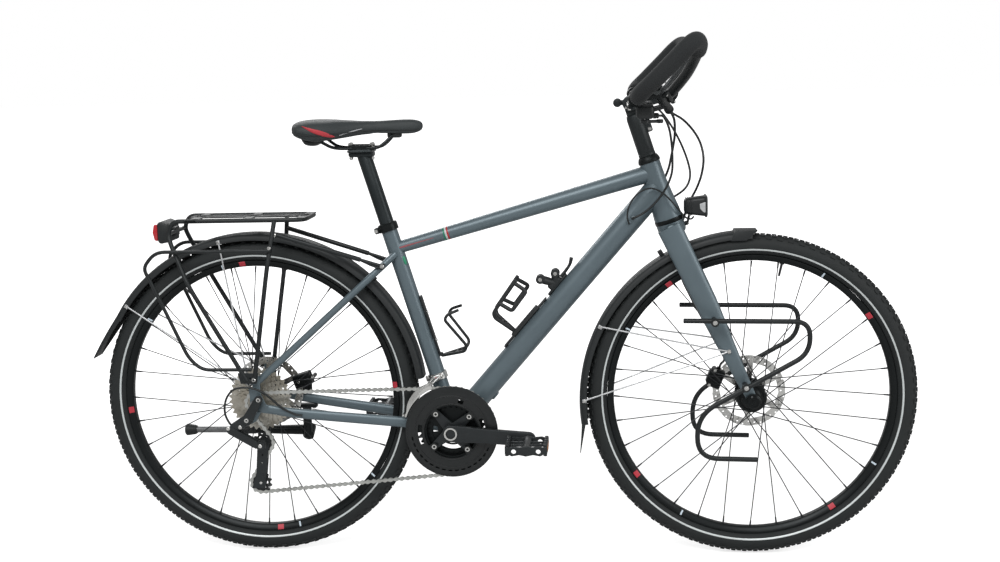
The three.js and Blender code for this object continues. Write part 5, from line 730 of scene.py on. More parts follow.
# Cassette
# Nine pressed steel sprockets, 11 to 34 teeth, on a carrier. The large ones are cut away inside,
# and all are dulled by road dust and old oil.
sprocket_steel = surface_finish("sprocket_steel", (0.37, 0.33, 0.25), 0.36, 0.75, grain=700, depth=0.12,
                                spread=0.25, second=(0.66, 0.64, 0.58))
chain_pitch = 0.0127
sprocket_y, sprocket_spacing = -0.060, 0.0044


def pitch_radius(teeth):
    return chain_pitch / (2 * math.sin(math.pi / teeth))


def toothed_outline(teeth, tip=0.0022, root=0.0036):
    reach = pitch_radius(teeth)
    outline = []
    for i in range(teeth):
        for share, radius in ((0.0, reach - root), (0.12, reach - root * 0.85), (0.33, reach + tip * 0.35),
                              (0.44, reach + tip), (0.56, reach + tip), (0.67, reach + tip * 0.35),
                              (0.88, reach - root * 0.85)):
            angle = 2 * math.pi * (i + share) / teeth
            outline.append((radius * math.cos(angle), radius * math.sin(angle)))
    return outline


def arc_window(inner, outer, start, end, steps=6):
    angles = [start + (end - start) * i / steps for i in range(steps + 1)]
    return ([(outer * math.cos(a), outer * math.sin(a)) for a in angles]
            + [(inner * math.cos(a), inner * math.sin(a)) for a in reversed(angles)])


shapes = [turned([(0.0054, -0.0625), (0.0125, -0.0625), (0.0165, -0.0605), (0.0165, -0.0235),
                  (0.0054, -0.0235)],
                 rear_axle, steps=40)]
for i, teeth in enumerate((11, 13, 15, 17, 20, 23, 26, 30, 34)):
    y = sprocket_y + i * sprocket_spacing
    holes = [ring_of(0.0164, 24)]
    if teeth > 20:
        inner, outer = 0.0235, pitch_radius(teeth) - 0.0095
        holes += [arc_window(inner, outer, math.pi * k / 3 + 0.16, math.pi * (k + 1) / 3 - 0.16)
                  for k in range(6)]
    shapes.append(flat_plate(toothed_outline(teeth), y - 0.0009, y + 0.0009, holes, 0, rear_axle))
joined("cassette_stack", "cassette", sprocket_steel, *shapes, slot="chain_steel", stands_for=["cassette"],
       smooth=30)

# Chain
# A nine-speed bushed roller chain: pairs of outer and inner side plates on pins and rollers, from
# the outer chainring to the smallest sprocket and back through the derailleur's two wheels.
chain_steel = surface_finish("chain_steel", (0.5, 0.51, 0.49), 0.3, 0.75, grain=900, depth=0.1, spread=0.15)
guide_wheel = Vector((0.13 * 0.092, -0.060, -0.98 * 0.092))
cage_turn = math.radians(-96)
tension_wheel = guide_wheel + Vector((0.092 * math.cos(cage_turn), 0, 0.092 * math.sin(cage_turn)))
chain_circles = [
    (Vector((shell_reach, 0, -shell_drop)), 48, -1),
    (Vector((tension_wheel.x, 0, tension_wheel.z)), 11, -1),
    (Vector((guide_wheel.x, 0, guide_wheel.z)), 11, 1),
    (Vector((0, 0, 0)), 11, -1),
]


def run_between(start, end):
    across = math.atan2(end[0].z - start[0].z, end[0].x - start[0].x)
    distance = (end[0] - start[0]).length
    lean = math.acos((start[2] * pitch_radius(start[1]) - end[2] * pitch_radius(end[1])) / distance)
    normal = across - lean
    return normal + (0 if start[2] > 0 else math.pi), normal + (0 if end[2] > 0 else math.pi)


def chain_place(x, z):
    share = min(1, max(0, (x / shell_reach - 0.13) / (0.8 - 0.13)))
    return rear_axle + Vector((x, -0.060 + share * 0.010, z))


chain_line = []
for i, circle in enumerate(chain_circles):
    before, after = chain_circles[i - 1], chain_circles[(i + 1) % 4]
    start, end = run_between(before, circle)[1], run_between(circle, after)[0]
    full = 2 * math.pi
    swept = (end - start) % full if circle[2] > 0 else -((start - end) % full)
    for k in range(41):
        angle = start + swept * k / 40
        reach = pitch_radius(circle[1])
        chain_line.append(chain_place(circle[0].x + reach * math.cos(angle),
                                      circle[0].z + reach * math.sin(angle)))
chain_line.append(chain_line[0])
lengths = [0.0]
for a, b in zip(chain_line, chain_line[1:]):
    lengths.append(lengths[-1] + (b - a).length)
link_count = 2 * round(lengths[-1] / chain_pitch / 2)


def along_chain(distance):
    distance %= lengths[-1]
    i = next(k for k in range(1, len(lengths)) if lengths[k] >= distance)
    share = (distance - lengths[i - 1]) / max(1e-9, lengths[i] - lengths[i - 1])
    return chain_line[i - 1].lerp(chain_line[i], share)


def link_outline(a, b):
    """A link's side plate: round at its pins and narrow between them."""
    way = math.atan2(b.z - a.z, b.x - a.x)
    outline = []
    for place, turn in ((b, way), (a, way + math.pi)):
        for k in range(-3, 4):
            angle = turn + k * math.pi / 5
            outline.append((place.x + 0.0043 * math.cos(angle), place.z + 0.0043 * math.sin(angle)))
        waist = turn + math.pi / 2
        outline.append(((a.x + b.x) / 2 + 0.0019 * math.cos(waist),
                        (a.z + b.z) / 2 + 0.0019 * math.sin(waist)))
    return outline


shapes = []
for i in range(link_count):
    a = along_chain(i * lengths[-1] / link_count)
    b = along_chain((i + 1) * lengths[-1] / link_count)
    out = 0.0026 if i % 2 else 0.0016
    outline = link_outline(a, b)
    for side in (-1, 1):
        y = a.y + side * out
        shapes.append(flat_plate(outline, y - 0.0004, y + 0.0004))
    shapes.append(rod(a - Vector((0, 0.0032, 0)), a + Vector((0, 0.0032, 0)), 0.0017, sides=6))
    shapes.append(rod(a - Vector((0, 0.0012, 0)), a + Vector((0, 0.0012, 0)), 0.0036, sides=8))
joined("roller_chain", "frame", chain_steel, *shapes, slot="chain_steel", stands_for=["chain"], smooth=30)

# Chainset
# Forged black cranks of 170 mm, rings of 48, 36 and 26 teeth on a four-armed spider with bright
# bolts, and a ring-shaped guard outside them with a row of short slots low on its rim.
forged_black = surface_finish("forged_black", (0.028, 0.032, 0.034), 0.36, 0.5, grain=1500, depth=0.07,
                              spread=0.12)
guard_plastic = surface_finish("guard_plastic", (0.0071, 0.009, 0.0095), 0.34, grain=1800, depth=0.06,
                               spread=0.1)
crank_length, crank_end, crank_turn = 0.17, 0.0158, 4.4
set_cranks = Matrix.Translation(shell) @ Matrix.Rotation(math.radians(crank_turn), 4, "Y")


def crank_arm(way, low, high):
    rows = [(0, 0.019), (0.02, 0.0187), (0.05, 0.0172), (0.1, 0.0161), (0.15, crank_end),
            (crank_length, crank_end)]
    upper = [(way * x, z) for x, z in rows[1:-1]]
    nose = [(way * (crank_length + crank_end * math.cos(a)), crank_end * math.sin(a))
            for a in (math.pi / 2 - math.pi * i / 10 for i in range(11))]
    tail = [(-way * 0.019 * math.cos(a), 0.019 * math.sin(a)) for a in
            (-math.pi / 2 * 0.9 + math.pi * 0.9 * i / 10 for i in range(11))]
    outline = upper + nose + [(x, -z) for x, z in reversed(upper)] + tail
    return flat_plate(outline, low, high, (), 0.0028)


shapes = [
    crank_arm(1, -0.0758, -0.063),
    turned([(0.0098, -0.077), (0.0145, -0.077), (0.0168, -0.0745), (0.0168, -0.035), (0.0098, -0.035)],
           steps=40),
    rod(Vector((crank_length, -0.0752, 0)), Vector((crank_length, -0.15, 0)), 0.0058, sides=20),
]
for i in range(4):
    angle = math.pi * (2 * i + 1) / 4
    bolt = (0.052 * math.cos(angle), 0.052 * math.sin(angle))
    shapes.append(flat_plate(arm_outline((0, 0), bolt, 0.014, 0.0078), -0.0508, -0.0468, (), 0.001))
    shapes.append(rod(Vector((bolt[0], -0.0535, bolt[1])), Vector((bolt[0], -0.0365, bolt[1])), 0.005,
                      sides=16))
joined("right_crank_arm", "cranks", forged_black, *(moved(shape, set_cranks) for shape in shapes),
       slot="black_metal", stands_for=["right_crank"], smooth=40)

ring_black = surface_finish("ring_black", (0.0126, 0.0155, 0.016), 0.42, 0.7, grain=1400, depth=0.08,
                            spread=0.15)
shapes = []
for i, teeth in enumerate((48, 36, 26)):
    y = -0.050 + i * 0.0066
    edge = pitch_radius(teeth)
    inner = min(edge - 0.0125, 0.0565)
    holes = [ring_of(0.0465 if i == 2 else inner, 64)]
    if i == 0:
        holes += [arc_window(0.0655, 0.0795, math.pi * k / 4 + 0.12, math.pi * (k + 1) / 4 - 0.12)
                  for k in range(8)]
    shapes.append(flat_plate(toothed_outline(teeth), y - 0.001, y + 0.001, holes))
web_windows = [arc_window(0.0225, 0.0315, -math.pi / 2 - 0.62, -math.pi / 2 + 0.5),
               arc_window(0.0355, 0.0445, -math.pi / 2 - 0.55, -math.pi / 2 + 0.55),
               arc_window(0.0335, 0.0435, math.pi - 0.1, math.pi + 0.22)]
shapes.append(flat_plate(ring_of(0.0635, 72), -0.0346, -0.0332, [ring_of(0.0172, 32), *web_windows]))
joined("chainrings", "cranks", ring_black, *(moved(shape, set_cranks) for shape in shapes),
       slot="chain_steel", smooth=30)

shapes = []
guard_low = -0.050 - 0.003 - 0.001 - 0.003
slots = [arc_window(0.0865, 0.0895, a, a + 0.1, 3)
         for a in (math.radians(192 + 9.5 * k) for k in range(16))]
slots += [arc_window(0.0655, 0.0745, *ends) for ends in ((0.2, 0.5), (3.0, 3.35), (3.42, 3.62),
                                                         (1.25, 1.42))]
shapes.append(flat_plate(ring_of(0.1017, 120), guard_low, guard_low + 0.003, [ring_of(0.0602, 80), *slots],
                         0.0006))
shapes.append(turned([(0.0985, guard_low - 0.0005), (0.1018, guard_low - 0.0005),
                      (0.102, guard_low + 0.0016),
                      (0.1015, guard_low + 0.0035), (0.0985, guard_low + 0.0035)], steps=120))
for r in (0.0628, 0.0805):
    shapes.append(turned([(r - 0.0015, guard_low + 0.0004), (r - 0.0012, guard_low - 0.0007),
                          (r, guard_low - 0.0011),
                          (r + 0.0012, guard_low - 0.0007), (r + 0.0015, guard_low + 0.0004)], steps=96))
for i in range(4):
    angle = math.pi * (2 * i + 1) / 4
    tab = [(r * math.cos(angle), r * math.sin(angle)) for r in (0.052, 0.066)]
    shapes.append(flat_plate(arm_outline(*tab, 0.008, 0.0095), guard_low + 0.0004, guard_low + 0.0026, (),
                             0.0004))
joined("ring_guard", "cranks", guard_plastic, *(moved(shape, set_cranks) for shape in shapes),
       slot="black_plastic", stands_for=["chain_guard"], smooth=35)

shapes = []
for i in range(4):
    angle = math.pi * (2 * i + 1) / 4
    place = Vector((0.052 * math.cos(angle), guard_low, 0.052 * math.sin(angle)))
    rows = [(0.0028, -0.0002), (0.0028, 0.0014), (0.0052, 0.0016), (0.0056, 0.0008), (0.0056, -0.0004)]
    shapes.append(turned(rows, place, Vector((0, -1, 0)), 20))
shapes.append(turned([(0.0105, -0.0772), (0.0108, -0.0785), (0.0142, -0.0785), (0.0146, -0.0772)],
                     steps=40))
joined("chainset_bolts", "cranks", steel_bright, *(moved(shape, set_cranks) for shape in shapes),
       slot="silver_metal")

shapes = [
    crank_arm(-1, 0.0602, 0.073),
    turned([(0, -0.0615), (0.0092, -0.0615), (0.0092, -0.034), (0.0119, -0.034), (0.0119, 0.035),
            (0.0168, 0.035),
            (0.0168, 0.0715), (0.0145, 0.0742), (0.0095, 0.0742), (0.009, 0.0715), (0, 0.0715)], steps=40),
    rod(Vector((-crank_length, 0.0725, 0)), Vector((-crank_length, 0.147, 0)), 0.0058, sides=20),
]
joined("left_crank_arm", "cranks", forged_black, *(moved(shape, set_cranks) for shape in shapes),
       slot="black_metal", stands_for=["left_crank"], smooth=40)

# Pedals
# Black alloy cages round a barrel, with toothed rails front and back, ribs between, a dust cap at
# the outer end and an amber reflector on each rail.
amber = surface_finish("amber_reflector", (0.6, 0.2, 0.02), 0.2, grain=2400, depth=0.4, Coat_Weight=0.6)
for prefix, body, way, low, high in (
    ("right", "right_pedal", 1, -0.163, -0.079),
    ("left", "left_pedal", -1, 0.076, 0.160),
):
    centre = set_cranks @ Vector((way * crank_length, 0, 0))
    middle = (low + high) / 2
    inner, outer = (high, low) if way > 0 else (low, high)
    side = math.copysign(1, low)
    barrel = [(0.0064, -0.0425), (0.0096, -0.0425), (0.0112, -0.039), (0.0098, -0.03), (0.0098, 0.031),
              (0.0114, 0.034), (0.0114, 0.0405), (0.0092, 0.042), (0.0064, 0.042)]
    shapes = [turned([(r, side * y) for r, y in barrel], Vector((centre.x, middle, centre.z)), steps=28)]
    for end in (-1, 1):
        x = centre.x + end * 0.0405
        shapes.append(block((0.0085, 0.082, 0.018), Vector((x, middle, centre.z)), 0, 0.0022, 3))
        for k in range(6):
            y = middle + (k - 2.5) * 0.0135
            for up in (-1, 1):
                shapes.append(block((0.0075, 0.006, 0.005), Vector((x, y, centre.z + up * 0.0097)), 0,
                                    0.0008))
    for y in (middle - 0.0388, middle + 0.0388):
        outline = [(-0.041, 0.006), (-0.03, 0.0095), (-0.012, 0.008), (0, 0.0112), (0.012, 0.008),
                   (0.03, 0.0095), (0.041, 0.006),
                   (0.041, -0.006), (0.03, -0.0112), (0.015, -0.0085), (0, -0.0116), (-0.015, -0.0085),
                   (-0.03, -0.0112), (-0.041, -0.006)]
        eyes = [ring_of(0.0052, 14, x, -0.0014) for x in (-0.026, 0.026)]
        shapes.append(flat_plate(outline, y - 0.0028, y + 0.0028, eyes, 0.0008,
                                 Vector((centre.x, 0, centre.z))))
    for y in (middle - 0.013, middle + 0.013):
        shapes.append(block((0.074, 0.004, 0.004), Vector((centre.x, y, centre.z + 0.004)), 0, 0.001))
    joined(prefix + "_pedal_cage", body, forged_black, *shapes, slot="black_metal",
           stands_for=[prefix + "_pedal"], smooth=35)
    lamps = [block((0.0016, 0.05, 0.011), Vector((centre.x + end * 0.0452, middle, centre.z)), 0, 0.0006)
             for end in (-1, 1)]
    joined(prefix + "_pedal_reflectors", body, amber, *lamps, slot="red_lens")

# Rear derailleur
# A long-cage derailleur in black aluminium: a knuckle on the hanger, two links with bright pins and
# a return spring between them, and a cage of two pierced plates that holds the toothed wheels.
hanger_bolt = rear_axle + Vector((-0.0148, 0, -0.0318))
links_end = rear_axle + Vector((-0.044, 0, -0.049))
elbow = rear_axle + Vector((-0.0525, 0, -0.0555))
guide_axle = rear_axle + Vector((guide_wheel.x, 0, guide_wheel.z))
tension_axle = rear_axle + Vector((tension_wheel.x, 0, tension_wheel.z))
sideways = Vector((0, -1, 0))


def flat_arm(a, b, radius_a, radius_b, low, high, bevel=0.001, holes=()):
    return flat_plate(arm_outline((a.x, a.z), (b.x, b.z), radius_a, radius_b, 10), low, high, holes, bevel)


def across(place, y):
    return Vector((place.x, y, place.z))


shapes = [
    flat_arm(hanger_bolt, links_end, 0.0118, 0.0105, -0.0898, -0.0768, 0.0022),
    turned([(0, -0.0741), (0.0112, -0.0741), (0.0118, -0.0765), (0.0118, -0.0905), (0.0098, -0.0918),
            (0, -0.0918)],
           hanger_bolt, steps=36),
    flat_arm(elbow, guide_axle + Vector((-0.012, 0, 0.004)), 0.0085, 0.0082, -0.0918, -0.0886, 0.001),
    flat_arm(elbow, guide_axle + Vector((-0.012, 0, 0.004)), 0.0085, 0.0082, -0.0786, -0.0756, 0.001),
    turned([(0, -0.0662), (0.0098, -0.0662), (0.0108, -0.0685), (0.0108, -0.0885), (0.0092, -0.0905),
            (0, -0.0905)],
           guide_axle, steps=36),
    rod(across(elbow, -0.0905), across(elbow, -0.0765), 0.0055, sides=20),
]
cage_rings = ring_of(0.0033, 10, guide_axle.x, guide_axle.z), ring_of(0.0033, 10, tension_axle.x,
        tension_axle.z)
down_cage = (tension_axle - guide_axle) / 5
cage_slots = [ring_of(0.0021, 10, *(guide_axle + down_cage * k).xz) for k in (1.5, 2.5)]
heel = [(tension_axle.x + x, tension_axle.z + z) for x, z in
        ((-0.0205, -0.0125), (0.0095, -0.0125), (0.0125, 0.002), (0.006, 0.02), (-0.0095, 0.02))]
for low in (-0.0655, -0.056):
    shapes.append(flat_arm(guide_axle, tension_axle, 0.0128, 0.0112, low, low + 0.0015, 0,
                           (*cage_rings, *cage_slots)))
shapes.append(flat_plate(heel, -0.0661, -0.0652, [cage_rings[1]], 0.0002))
joined("derailleur_body", "frame", forged_black, *shapes, slot="black_metal",
       stands_for=["rear_derailleur"], smooth=40)

spring = [
    elbow.lerp(guide_axle, 0.1 + 0.6 * i / 110)
    + Vector((0, -0.0836 + 0.0036 * math.sin(i * 0.5 * math.pi / 2.5),
              0.0036 * math.cos(i * 0.5 * math.pi / 2.5)))
    for i in range(111)
]
shapes = [drawn_tube(spring, 0.0007, 6)]
for place, y in ((hanger_bolt, -0.0916), (rear_axle + Vector((-0.057, 0, -0.05)), -0.0917),
                 (rear_axle + Vector((-0.031, 0, -0.048)), -0.0897), (guide_axle, -0.0904)):
    shapes.append(bolt_head(across(place, y), sideways, 0.0044, 0.0022))
for place in (guide_axle, tension_axle):
    shapes.append(turned([(0, -0.0665), (0.0028, -0.0665), (0.0036, -0.0655), (0.0028, -0.0655),
                          (0.0028, -0.0545),
                          (0.0036, -0.0545), (0.0028, -0.0535), (0, -0.0535)], place, steps=16))
joined("derailleur_pins", "frame", steel_bright, *shapes, slot="silver_metal")

upper_bolt = rear_axle + Vector((0.0137, 0, 0.0142))
joined("derailleur_hanger_arm", "frame", forged_black,
       flat_arm(hanger_bolt, upper_bolt, 0.0108, 0.0092, -0.0925, -0.0868, 0.0018), slot="black_metal")
joined("derailleur_hanger_bolt", "frame", steel_bright,
       *(turned([(0.0022, -0.0935), (0.0048, -0.0938), (0.0052, -0.0925), (0.0022, -0.0922)], place,
                steps=24)
         for place in (upper_bolt, hanger_bolt)), slot="silver_metal")

# Derailleur's toothed wheels
# Two black nylon wheels of eleven teeth, pierced between hub and rim, on steel bushes.
wheel_nylon = surface_finish("wheel_nylon", (0.0084, 0.0105, 0.011), 0.5, grain=1500, depth=0.1)
for name, place in (("guide_pulley", guide_axle), ("tension_pulley", tension_axle)):
    holes = [ring_of(0.0033, 14)] + [ring_of(0.0036, 10, 0.0122 * math.cos(a), 0.0122 * math.sin(a))
                                     for a in (2 * math.pi * i / 6 for i in range(6))]
    rim = flat_plate(toothed_outline(11), -0.0611, -0.0589, holes, 0, place)
    hub = turned([(0.0033, -0.0628), (0.0062, -0.0628), (0.0066, -0.0611), (0.0066, -0.0589),
                  (0.0062, -0.0572), (0.0033, -0.0572)], place, steps=28)
    joined(name + "_wheel", name, wheel_nylon, rim, hub, slot="black_plastic", stands_for=[name], smooth=30)

# Front derailleur
# A pressed steel cage over the outer ring, hung by two links from a bright band on the seat tube.
def ring_places(radius, angles):
    return [(radius * math.cos(a), radius * math.sin(a)) for a in (math.radians(d) for d in angles)]


cage_sweep = [112 + 50 * i / 14 for i in range(15)]
inner_edge = ring_places(0.1045, cage_sweep)
outer_edge = [(r * math.cos(a), r * math.sin(a)) for r, a in
              ((0.1085 + 0.0105 * math.sin(math.pi * min(1, 0.18 + i / 14)) ** 0.6, math.radians(d))
               for i, d in enumerate(cage_sweep))]
outline = inner_edge + outer_edge[::-1]
tube_up = (by_seat_tube(1) - by_seat_tube(0)).normalized()
band_place = by_seat_tube(0.118)
shapes = [
    flat_plate(outline, -0.0575, -0.056, (), 0.0005, shell),
    flat_plate(outline, -0.044, -0.0425, (), 0.0005, shell),
    turned([(0.0178, -0.0073), (0.0203, -0.0075), (0.0212, -0.0065), (0.0212, 0.0065), (0.0203, 0.0075),
            (0.0178, 0.0073)], band_place, tube_up, 48),
    block((0.013, 0.007, 0.012), by_seat_tube(0.118, -0.0215, 0), -seat_tilt, 0.0015),
]
for angle in (113.5, 160.5):
    x, z = ring_places(0.116 if angle < 120 else 0.112, [angle])[0]
    shapes.append(rod(shell + Vector((x, -0.0575, z)), shell + Vector((x, -0.0425, z)), 0.0022))
arm_place = shell + Vector((*ring_places(0.1125, [114])[0], 0)).xzy
arm_top = by_seat_tube(0.118, 0, -0.0195)
for shift in (-0.0055, 0.0055):
    start = arm_top + Vector((shift, -0.004, 0.003))
    shapes.append(rod(start, arm_place + Vector((shift * 0.7, -0.0425, 0.002)), 0.0035, 0.003, 12))
shapes.append(block((0.018, 0.012, 0.012), arm_top + Vector((0, -0.003, 0.001)), -seat_tilt, 0.0022, 3))
shapes.append(bolt_head(by_seat_tube(0.118, 0.0115, -0.0185), Vector((0.5, -0.86, 0.1)), 0.0038, 0.0025))
joined("front_derailleur_cage", "frame", steel_bright, *shapes, slot="silver_metal",
       stands_for=["front_derailleur"], smooth=40)
joined("front_derailleur_mark", "frame", red_mark,
       block((0.006, 0.0012, 0.0045), arm_top + Vector((0.001, -0.0094, 0.001)), -seat_tilt, 0.0004),
       slot="red_lens")

# Brake calipers
# Two-piston post-mount calipers, each a pair of black alloy halves bolted over the disc, with a
# round piston cap outside, a banjo for the hose and bright bolts into the frame or fork.
def caliper_halves(centre, turn, disc_y, axle_centre):
    away = (centre - axle_centre).normalized()
    tilt = math.atan2(away.z, away.x)
    along = Vector((math.cos(turn), 0, math.sin(turn)))
    middle = Vector((centre.x, disc_y, centre.z))
    shapes, bolts = [], []
    for low, high in ((-0.0135, -0.0018), (0.0018, 0.0135)):
        half = block((0.042, high - low, 0.03), middle + Vector((0, (low + high) / 2, 0)), -turn, 0.0035, 3)
        shapes.append(half)
    shapes.append(block((0.012, 0.02, 0.03), middle + away * 0.0125, -tilt, 0.0025))
    cap = [(0, 0.0182), (0.0078, 0.0182), (0.0085, 0.0172), (0.0108, 0.0172), (0.0115, 0.016),
           (0.0115, 0.0125), (0, 0.0125)]
    shapes.append(turned(cap, middle, steps=36))
    shapes.append(turned([(r, -y) for r, y in reversed(cap)], middle + Vector((0, 0.0025, 0)), steps=36))
    for end in (-1, 1):
        place = middle + along * 0.0175 * end + away * 0.009
        shapes.append(rod(place + Vector((0, -0.0138, 0)), place + Vector((0, 0.0142, 0)), 0.0045,
                          sides=18))
        bolts.append(bolt_head(place + Vector((0, 0.0142, 0)), Vector((0, 1, 0)), 0.0038, 0.0028))
        bolts.append(bolt_head(place + Vector((0, -0.0138, 0)), Vector((0, -1, 0)), 0.0038, 0.0028))
    return shapes, bolts, middle, along, away


turn = math.radians(18)
rear_caliper_centre = rear_axle + Vector((0.0848 * math.cos(turn), 0, 0.0848 * math.sin(turn)))
shapes, bolts, middle, along, away = caliper_halves(rear_caliper_centre, turn, 0.052, rear_axle)
foot_x = rear_caliper_centre.x - rear_axle.x
stay_top = chainstay_at(1 - foot_x / shell_reach, 0.93, -0.1, 1).z + 0.0125
shapes.append(block((0.034, 0.009, 0.024), Vector((middle.x, 0.0605, (middle.z - 0.01 + stay_top) / 2)), 0,
                    0.002))
for shift in (-0.0125, 0.0125):
    shapes.append(rod(Vector((middle.x + shift, 0.0605, stay_top - 0.0002)),
                      Vector((middle.x + shift, 0.0605, middle.z - 0.004)), 0.0055, sides=20))
joined("rear_caliper_halves", "frame", black_anodised, *shapes, slot="black_metal",
       stands_for=["rear_caliper"])
joined("rear_caliper_bolts", "frame", steel_bright, *bolts, slot="silver_metal")

turn = math.radians(158)
front_caliper_centre = front_axle + Vector((0.0784 * math.cos(turn), 0, 0.0784 * math.sin(turn)))
shapes, bolts, middle, along, away = caliper_halves(front_caliper_centre, math.radians(68), 0.039,
                                                    front_axle)
foot_place = middle + Vector((0.0132, 0.0081, 0.0088))
shapes.append(block((0.0264, 0.0081, 0.0132), foot_place, 0, 0.002))
shapes.append(rod(middle + along * 0.014 + Vector((0, 0.007, 0)),
                  middle + along * 0.0235 + Vector((0, 0.007, 0)), 0.0055))
joined("front_caliper_halves", "fork", black_anodised, *shapes, slot="black_metal",
       stands_for=["front_caliper"])
joined("front_caliper_bolts", "fork", steel_bright, *bolts, slot="silver_metal")

# Mudguards
# Matte black moulded guards with rolled edges and two fine ridges, each with a flap at its low end,
# held by steel wire stays that are bolted to the frame or fork.
guard_black = surface_finish("guard_black", (0.0101, 0.013, 0.014), 0.55, grain=1500, depth=0.16,
                             spread=0.1)
stay_steel = surface_finish("stay_steel", (0.62, 0.63, 0.64), 0.3, 0.7, grain=1500, depth=0.05)
guard_radius, guard_half, guard_depth, tyre_reach = 0.372, 0.027, 0.015, 0.356


def guard_section():
    outside = [(guard_radius - guard_depth, -guard_half)]
    for across_share, drop in ((-0.985, 0.66), (-0.93, 0.4), (-0.82, 0.2), (-0.66, 0.08), (-0.6, 0.07),
                               (-0.57, 0.01), (-0.52, 0.01), (-0.49, 0.045), (-0.25, 0.012), (0, 0)):
        outside.append((guard_radius - drop * guard_depth, across_share * guard_half))
    outside += [(r, -y) for r, y in reversed(outside[:-1])]
    inside = [(r - 0.0019, y * 0.93) for r, y in reversed(outside[1:-1])]
    rolled = [(guard_radius - guard_depth - 0.0009, guard_half - 0.0007),
              (guard_radius - guard_depth, guard_half - 0.0019)]
    return outside + rolled + inside + [(r, -y) for r, y in reversed(rolled)]


def mudguard(centre, start, end):
    blade = turned([(r, -y) for r, y in guard_section()], Vector((0, 0, 0)), Vector((0, -1, 0)), 72,
                   end - start)
    return moved(blade, round_axle(centre, start))


def around(centre, degrees, radius, y=0.0):
    a = math.radians(degrees)
    return centre + Vector((radius * math.cos(a), y, radius * math.sin(a)))


def flap(centre, angle, span, flare):
    upper, lower = [], []
    for i in range(9):
        t = i / 8
        reach = guard_radius - 0.004 + (flare + 0.004) * t**1.6
        turn = angle - 3 + (span + 3) * t
        upper.append(tuple(around(centre, turn, reach + 0.0009).xz))
        lower.append(tuple(around(centre, turn, reach - 0.0009).xz))
    back = flat_plate(upper + lower[::-1], -guard_half + 0.0006, guard_half - 0.0006, (), 0.0004)
    wall = [*lower, tuple(around(centre, angle - 3, guard_radius - guard_depth).xz)]
    walls = [flat_plate(wall, *ends) for ends in ((0.0232, 0.0252), (-0.0252, -0.0232))]
    return [back, *walls]


def wire_stays(centre, eye, angles):
    wires, nuts = [], []
    for side in (-1, 1):
        wire_y = side * (eye.y + 0.0018)
        place = Vector((eye.x, side * eye.y, eye.z))
        wires.append(rod(place, place + Vector((0, side * 0.0036, 0)), 0.0045, sides=18))
        nuts.append(bolt_head(place + Vector((0, side * 0.0036, 0)), Vector((0, side, 0)), 0.0045, 0.003))
        for angle in angles:
            end = around(centre, angle, guard_radius - guard_depth * 0.6, side * (guard_half - 0.001))
            start = Vector((eye.x, wire_y, eye.z))
            knee = start.lerp(end, 0.16)
            knee.y = wire_y
            wires.append(drawn_tube(bent_path([start, knee, end], 0.02, 5), 0.0018, 10))
            clip = around(centre, angle, guard_radius - guard_depth * 0.75, side * (guard_half + 0.0008))
            turn = -math.radians(angle)
            wires.append(block((0.009, 0.0036, 0.008), clip, turn, 0.001))
            nuts.append(bolt_head(clip + Vector((0, side * 0.0021, 0)), Vector((0, side, 0)), 0.0032,
                                  0.002))
    return wires, nuts


rear_eye = rear_axle + Vector((-0.08 * 0.074, 0.0738, 0.55 * 0.074))
wires, nuts = wire_stays(rear_axle, rear_eye, (102, 144))
bridge = seatstay_at(0.12, 1)
bridge_angle = math.degrees(math.atan2(bridge.z - rear_axle.z, bridge.x - rear_axle.x))
tab = around(rear_axle, bridge_angle, guard_radius + 0.003)
joined("rear_mudguard", "frame", guard_black, mudguard(rear_axle, 7, 150), *flap(rear_axle, 150, 16, 0.016),
       block((0.006, 0.014, 0.02), tab, -math.radians(bridge_angle), 0.001),
       slot="black_plastic", stands_for=["rear_fender"])
joined("rear_stays", "frame", stay_steel, *wires, slot="silver_metal")
joined("rear_stay_bolts", "frame", steel_bright, *nuts, slot="silver_metal")


def blade_at(up, side):
    """A fork blade's axis at a share of the fork's length, with its radius there."""
    rows = [(0.985, -0.1, 0.041, 0.026), (0.515, 0.45, 0.047, 0.023), (0.185, 0.79, 0.055, 0.015),
            (0.035, 0.97, 0.053, 0.011)]
    high, low = next(p for p in zip(rows, rows[1:]) if up >= p[1][0])
    share = (high[0] - up) / (high[0] - low[0])
    mixed = [a + (b - a) * share for a, b in zip(high, low)]
    return by_steering(up * fork_length, mixed[1] * fork_rake, side * mixed[2]), mixed[3]


eye_place, eye_radius = blade_at(0.29, 1)
front_eye = Vector((eye_place.x, eye_place.y + eye_radius * 0.48 * math.cos(math.pi / 12) + 0.0003,
                    eye_place.z))
wires, nuts = wire_stays(front_axle, front_eye, (154, 181))
crown_place = by_steering(fork_length - 0.026, -fork_rake)
crown_angle = math.degrees(math.atan2(crown_place.z - front_axle.z, crown_place.x - front_axle.x))
guard_centre = front_axle - Vector((0, 0, 0.01))
nose_cap = [(-0.036, 0.3735), (0.0115, 0.3735), (-0.0125, 0.3525), (-0.046, 0.3515)]
joined("front_mudguard", "fork", guard_black, mudguard(guard_centre, 90, 188),
       *flap(guard_centre, 188, 9, 0.016),
       block((0.014, 0.01, 0.01), around(front_axle, crown_angle, guard_radius - 0.003),
             -math.radians(crown_angle), 0.001),
       flat_plate(nose_cap, -0.0272, 0.0272, (), 0.001, guard_centre),
       slot="black_plastic", stands_for=["front_fender"])
joined("front_stays", "fork", stay_steel, *wires, slot="silver_metal")
joined("front_stay_bolts", "fork", steel_bright, *nuts, slot="silver_metal")

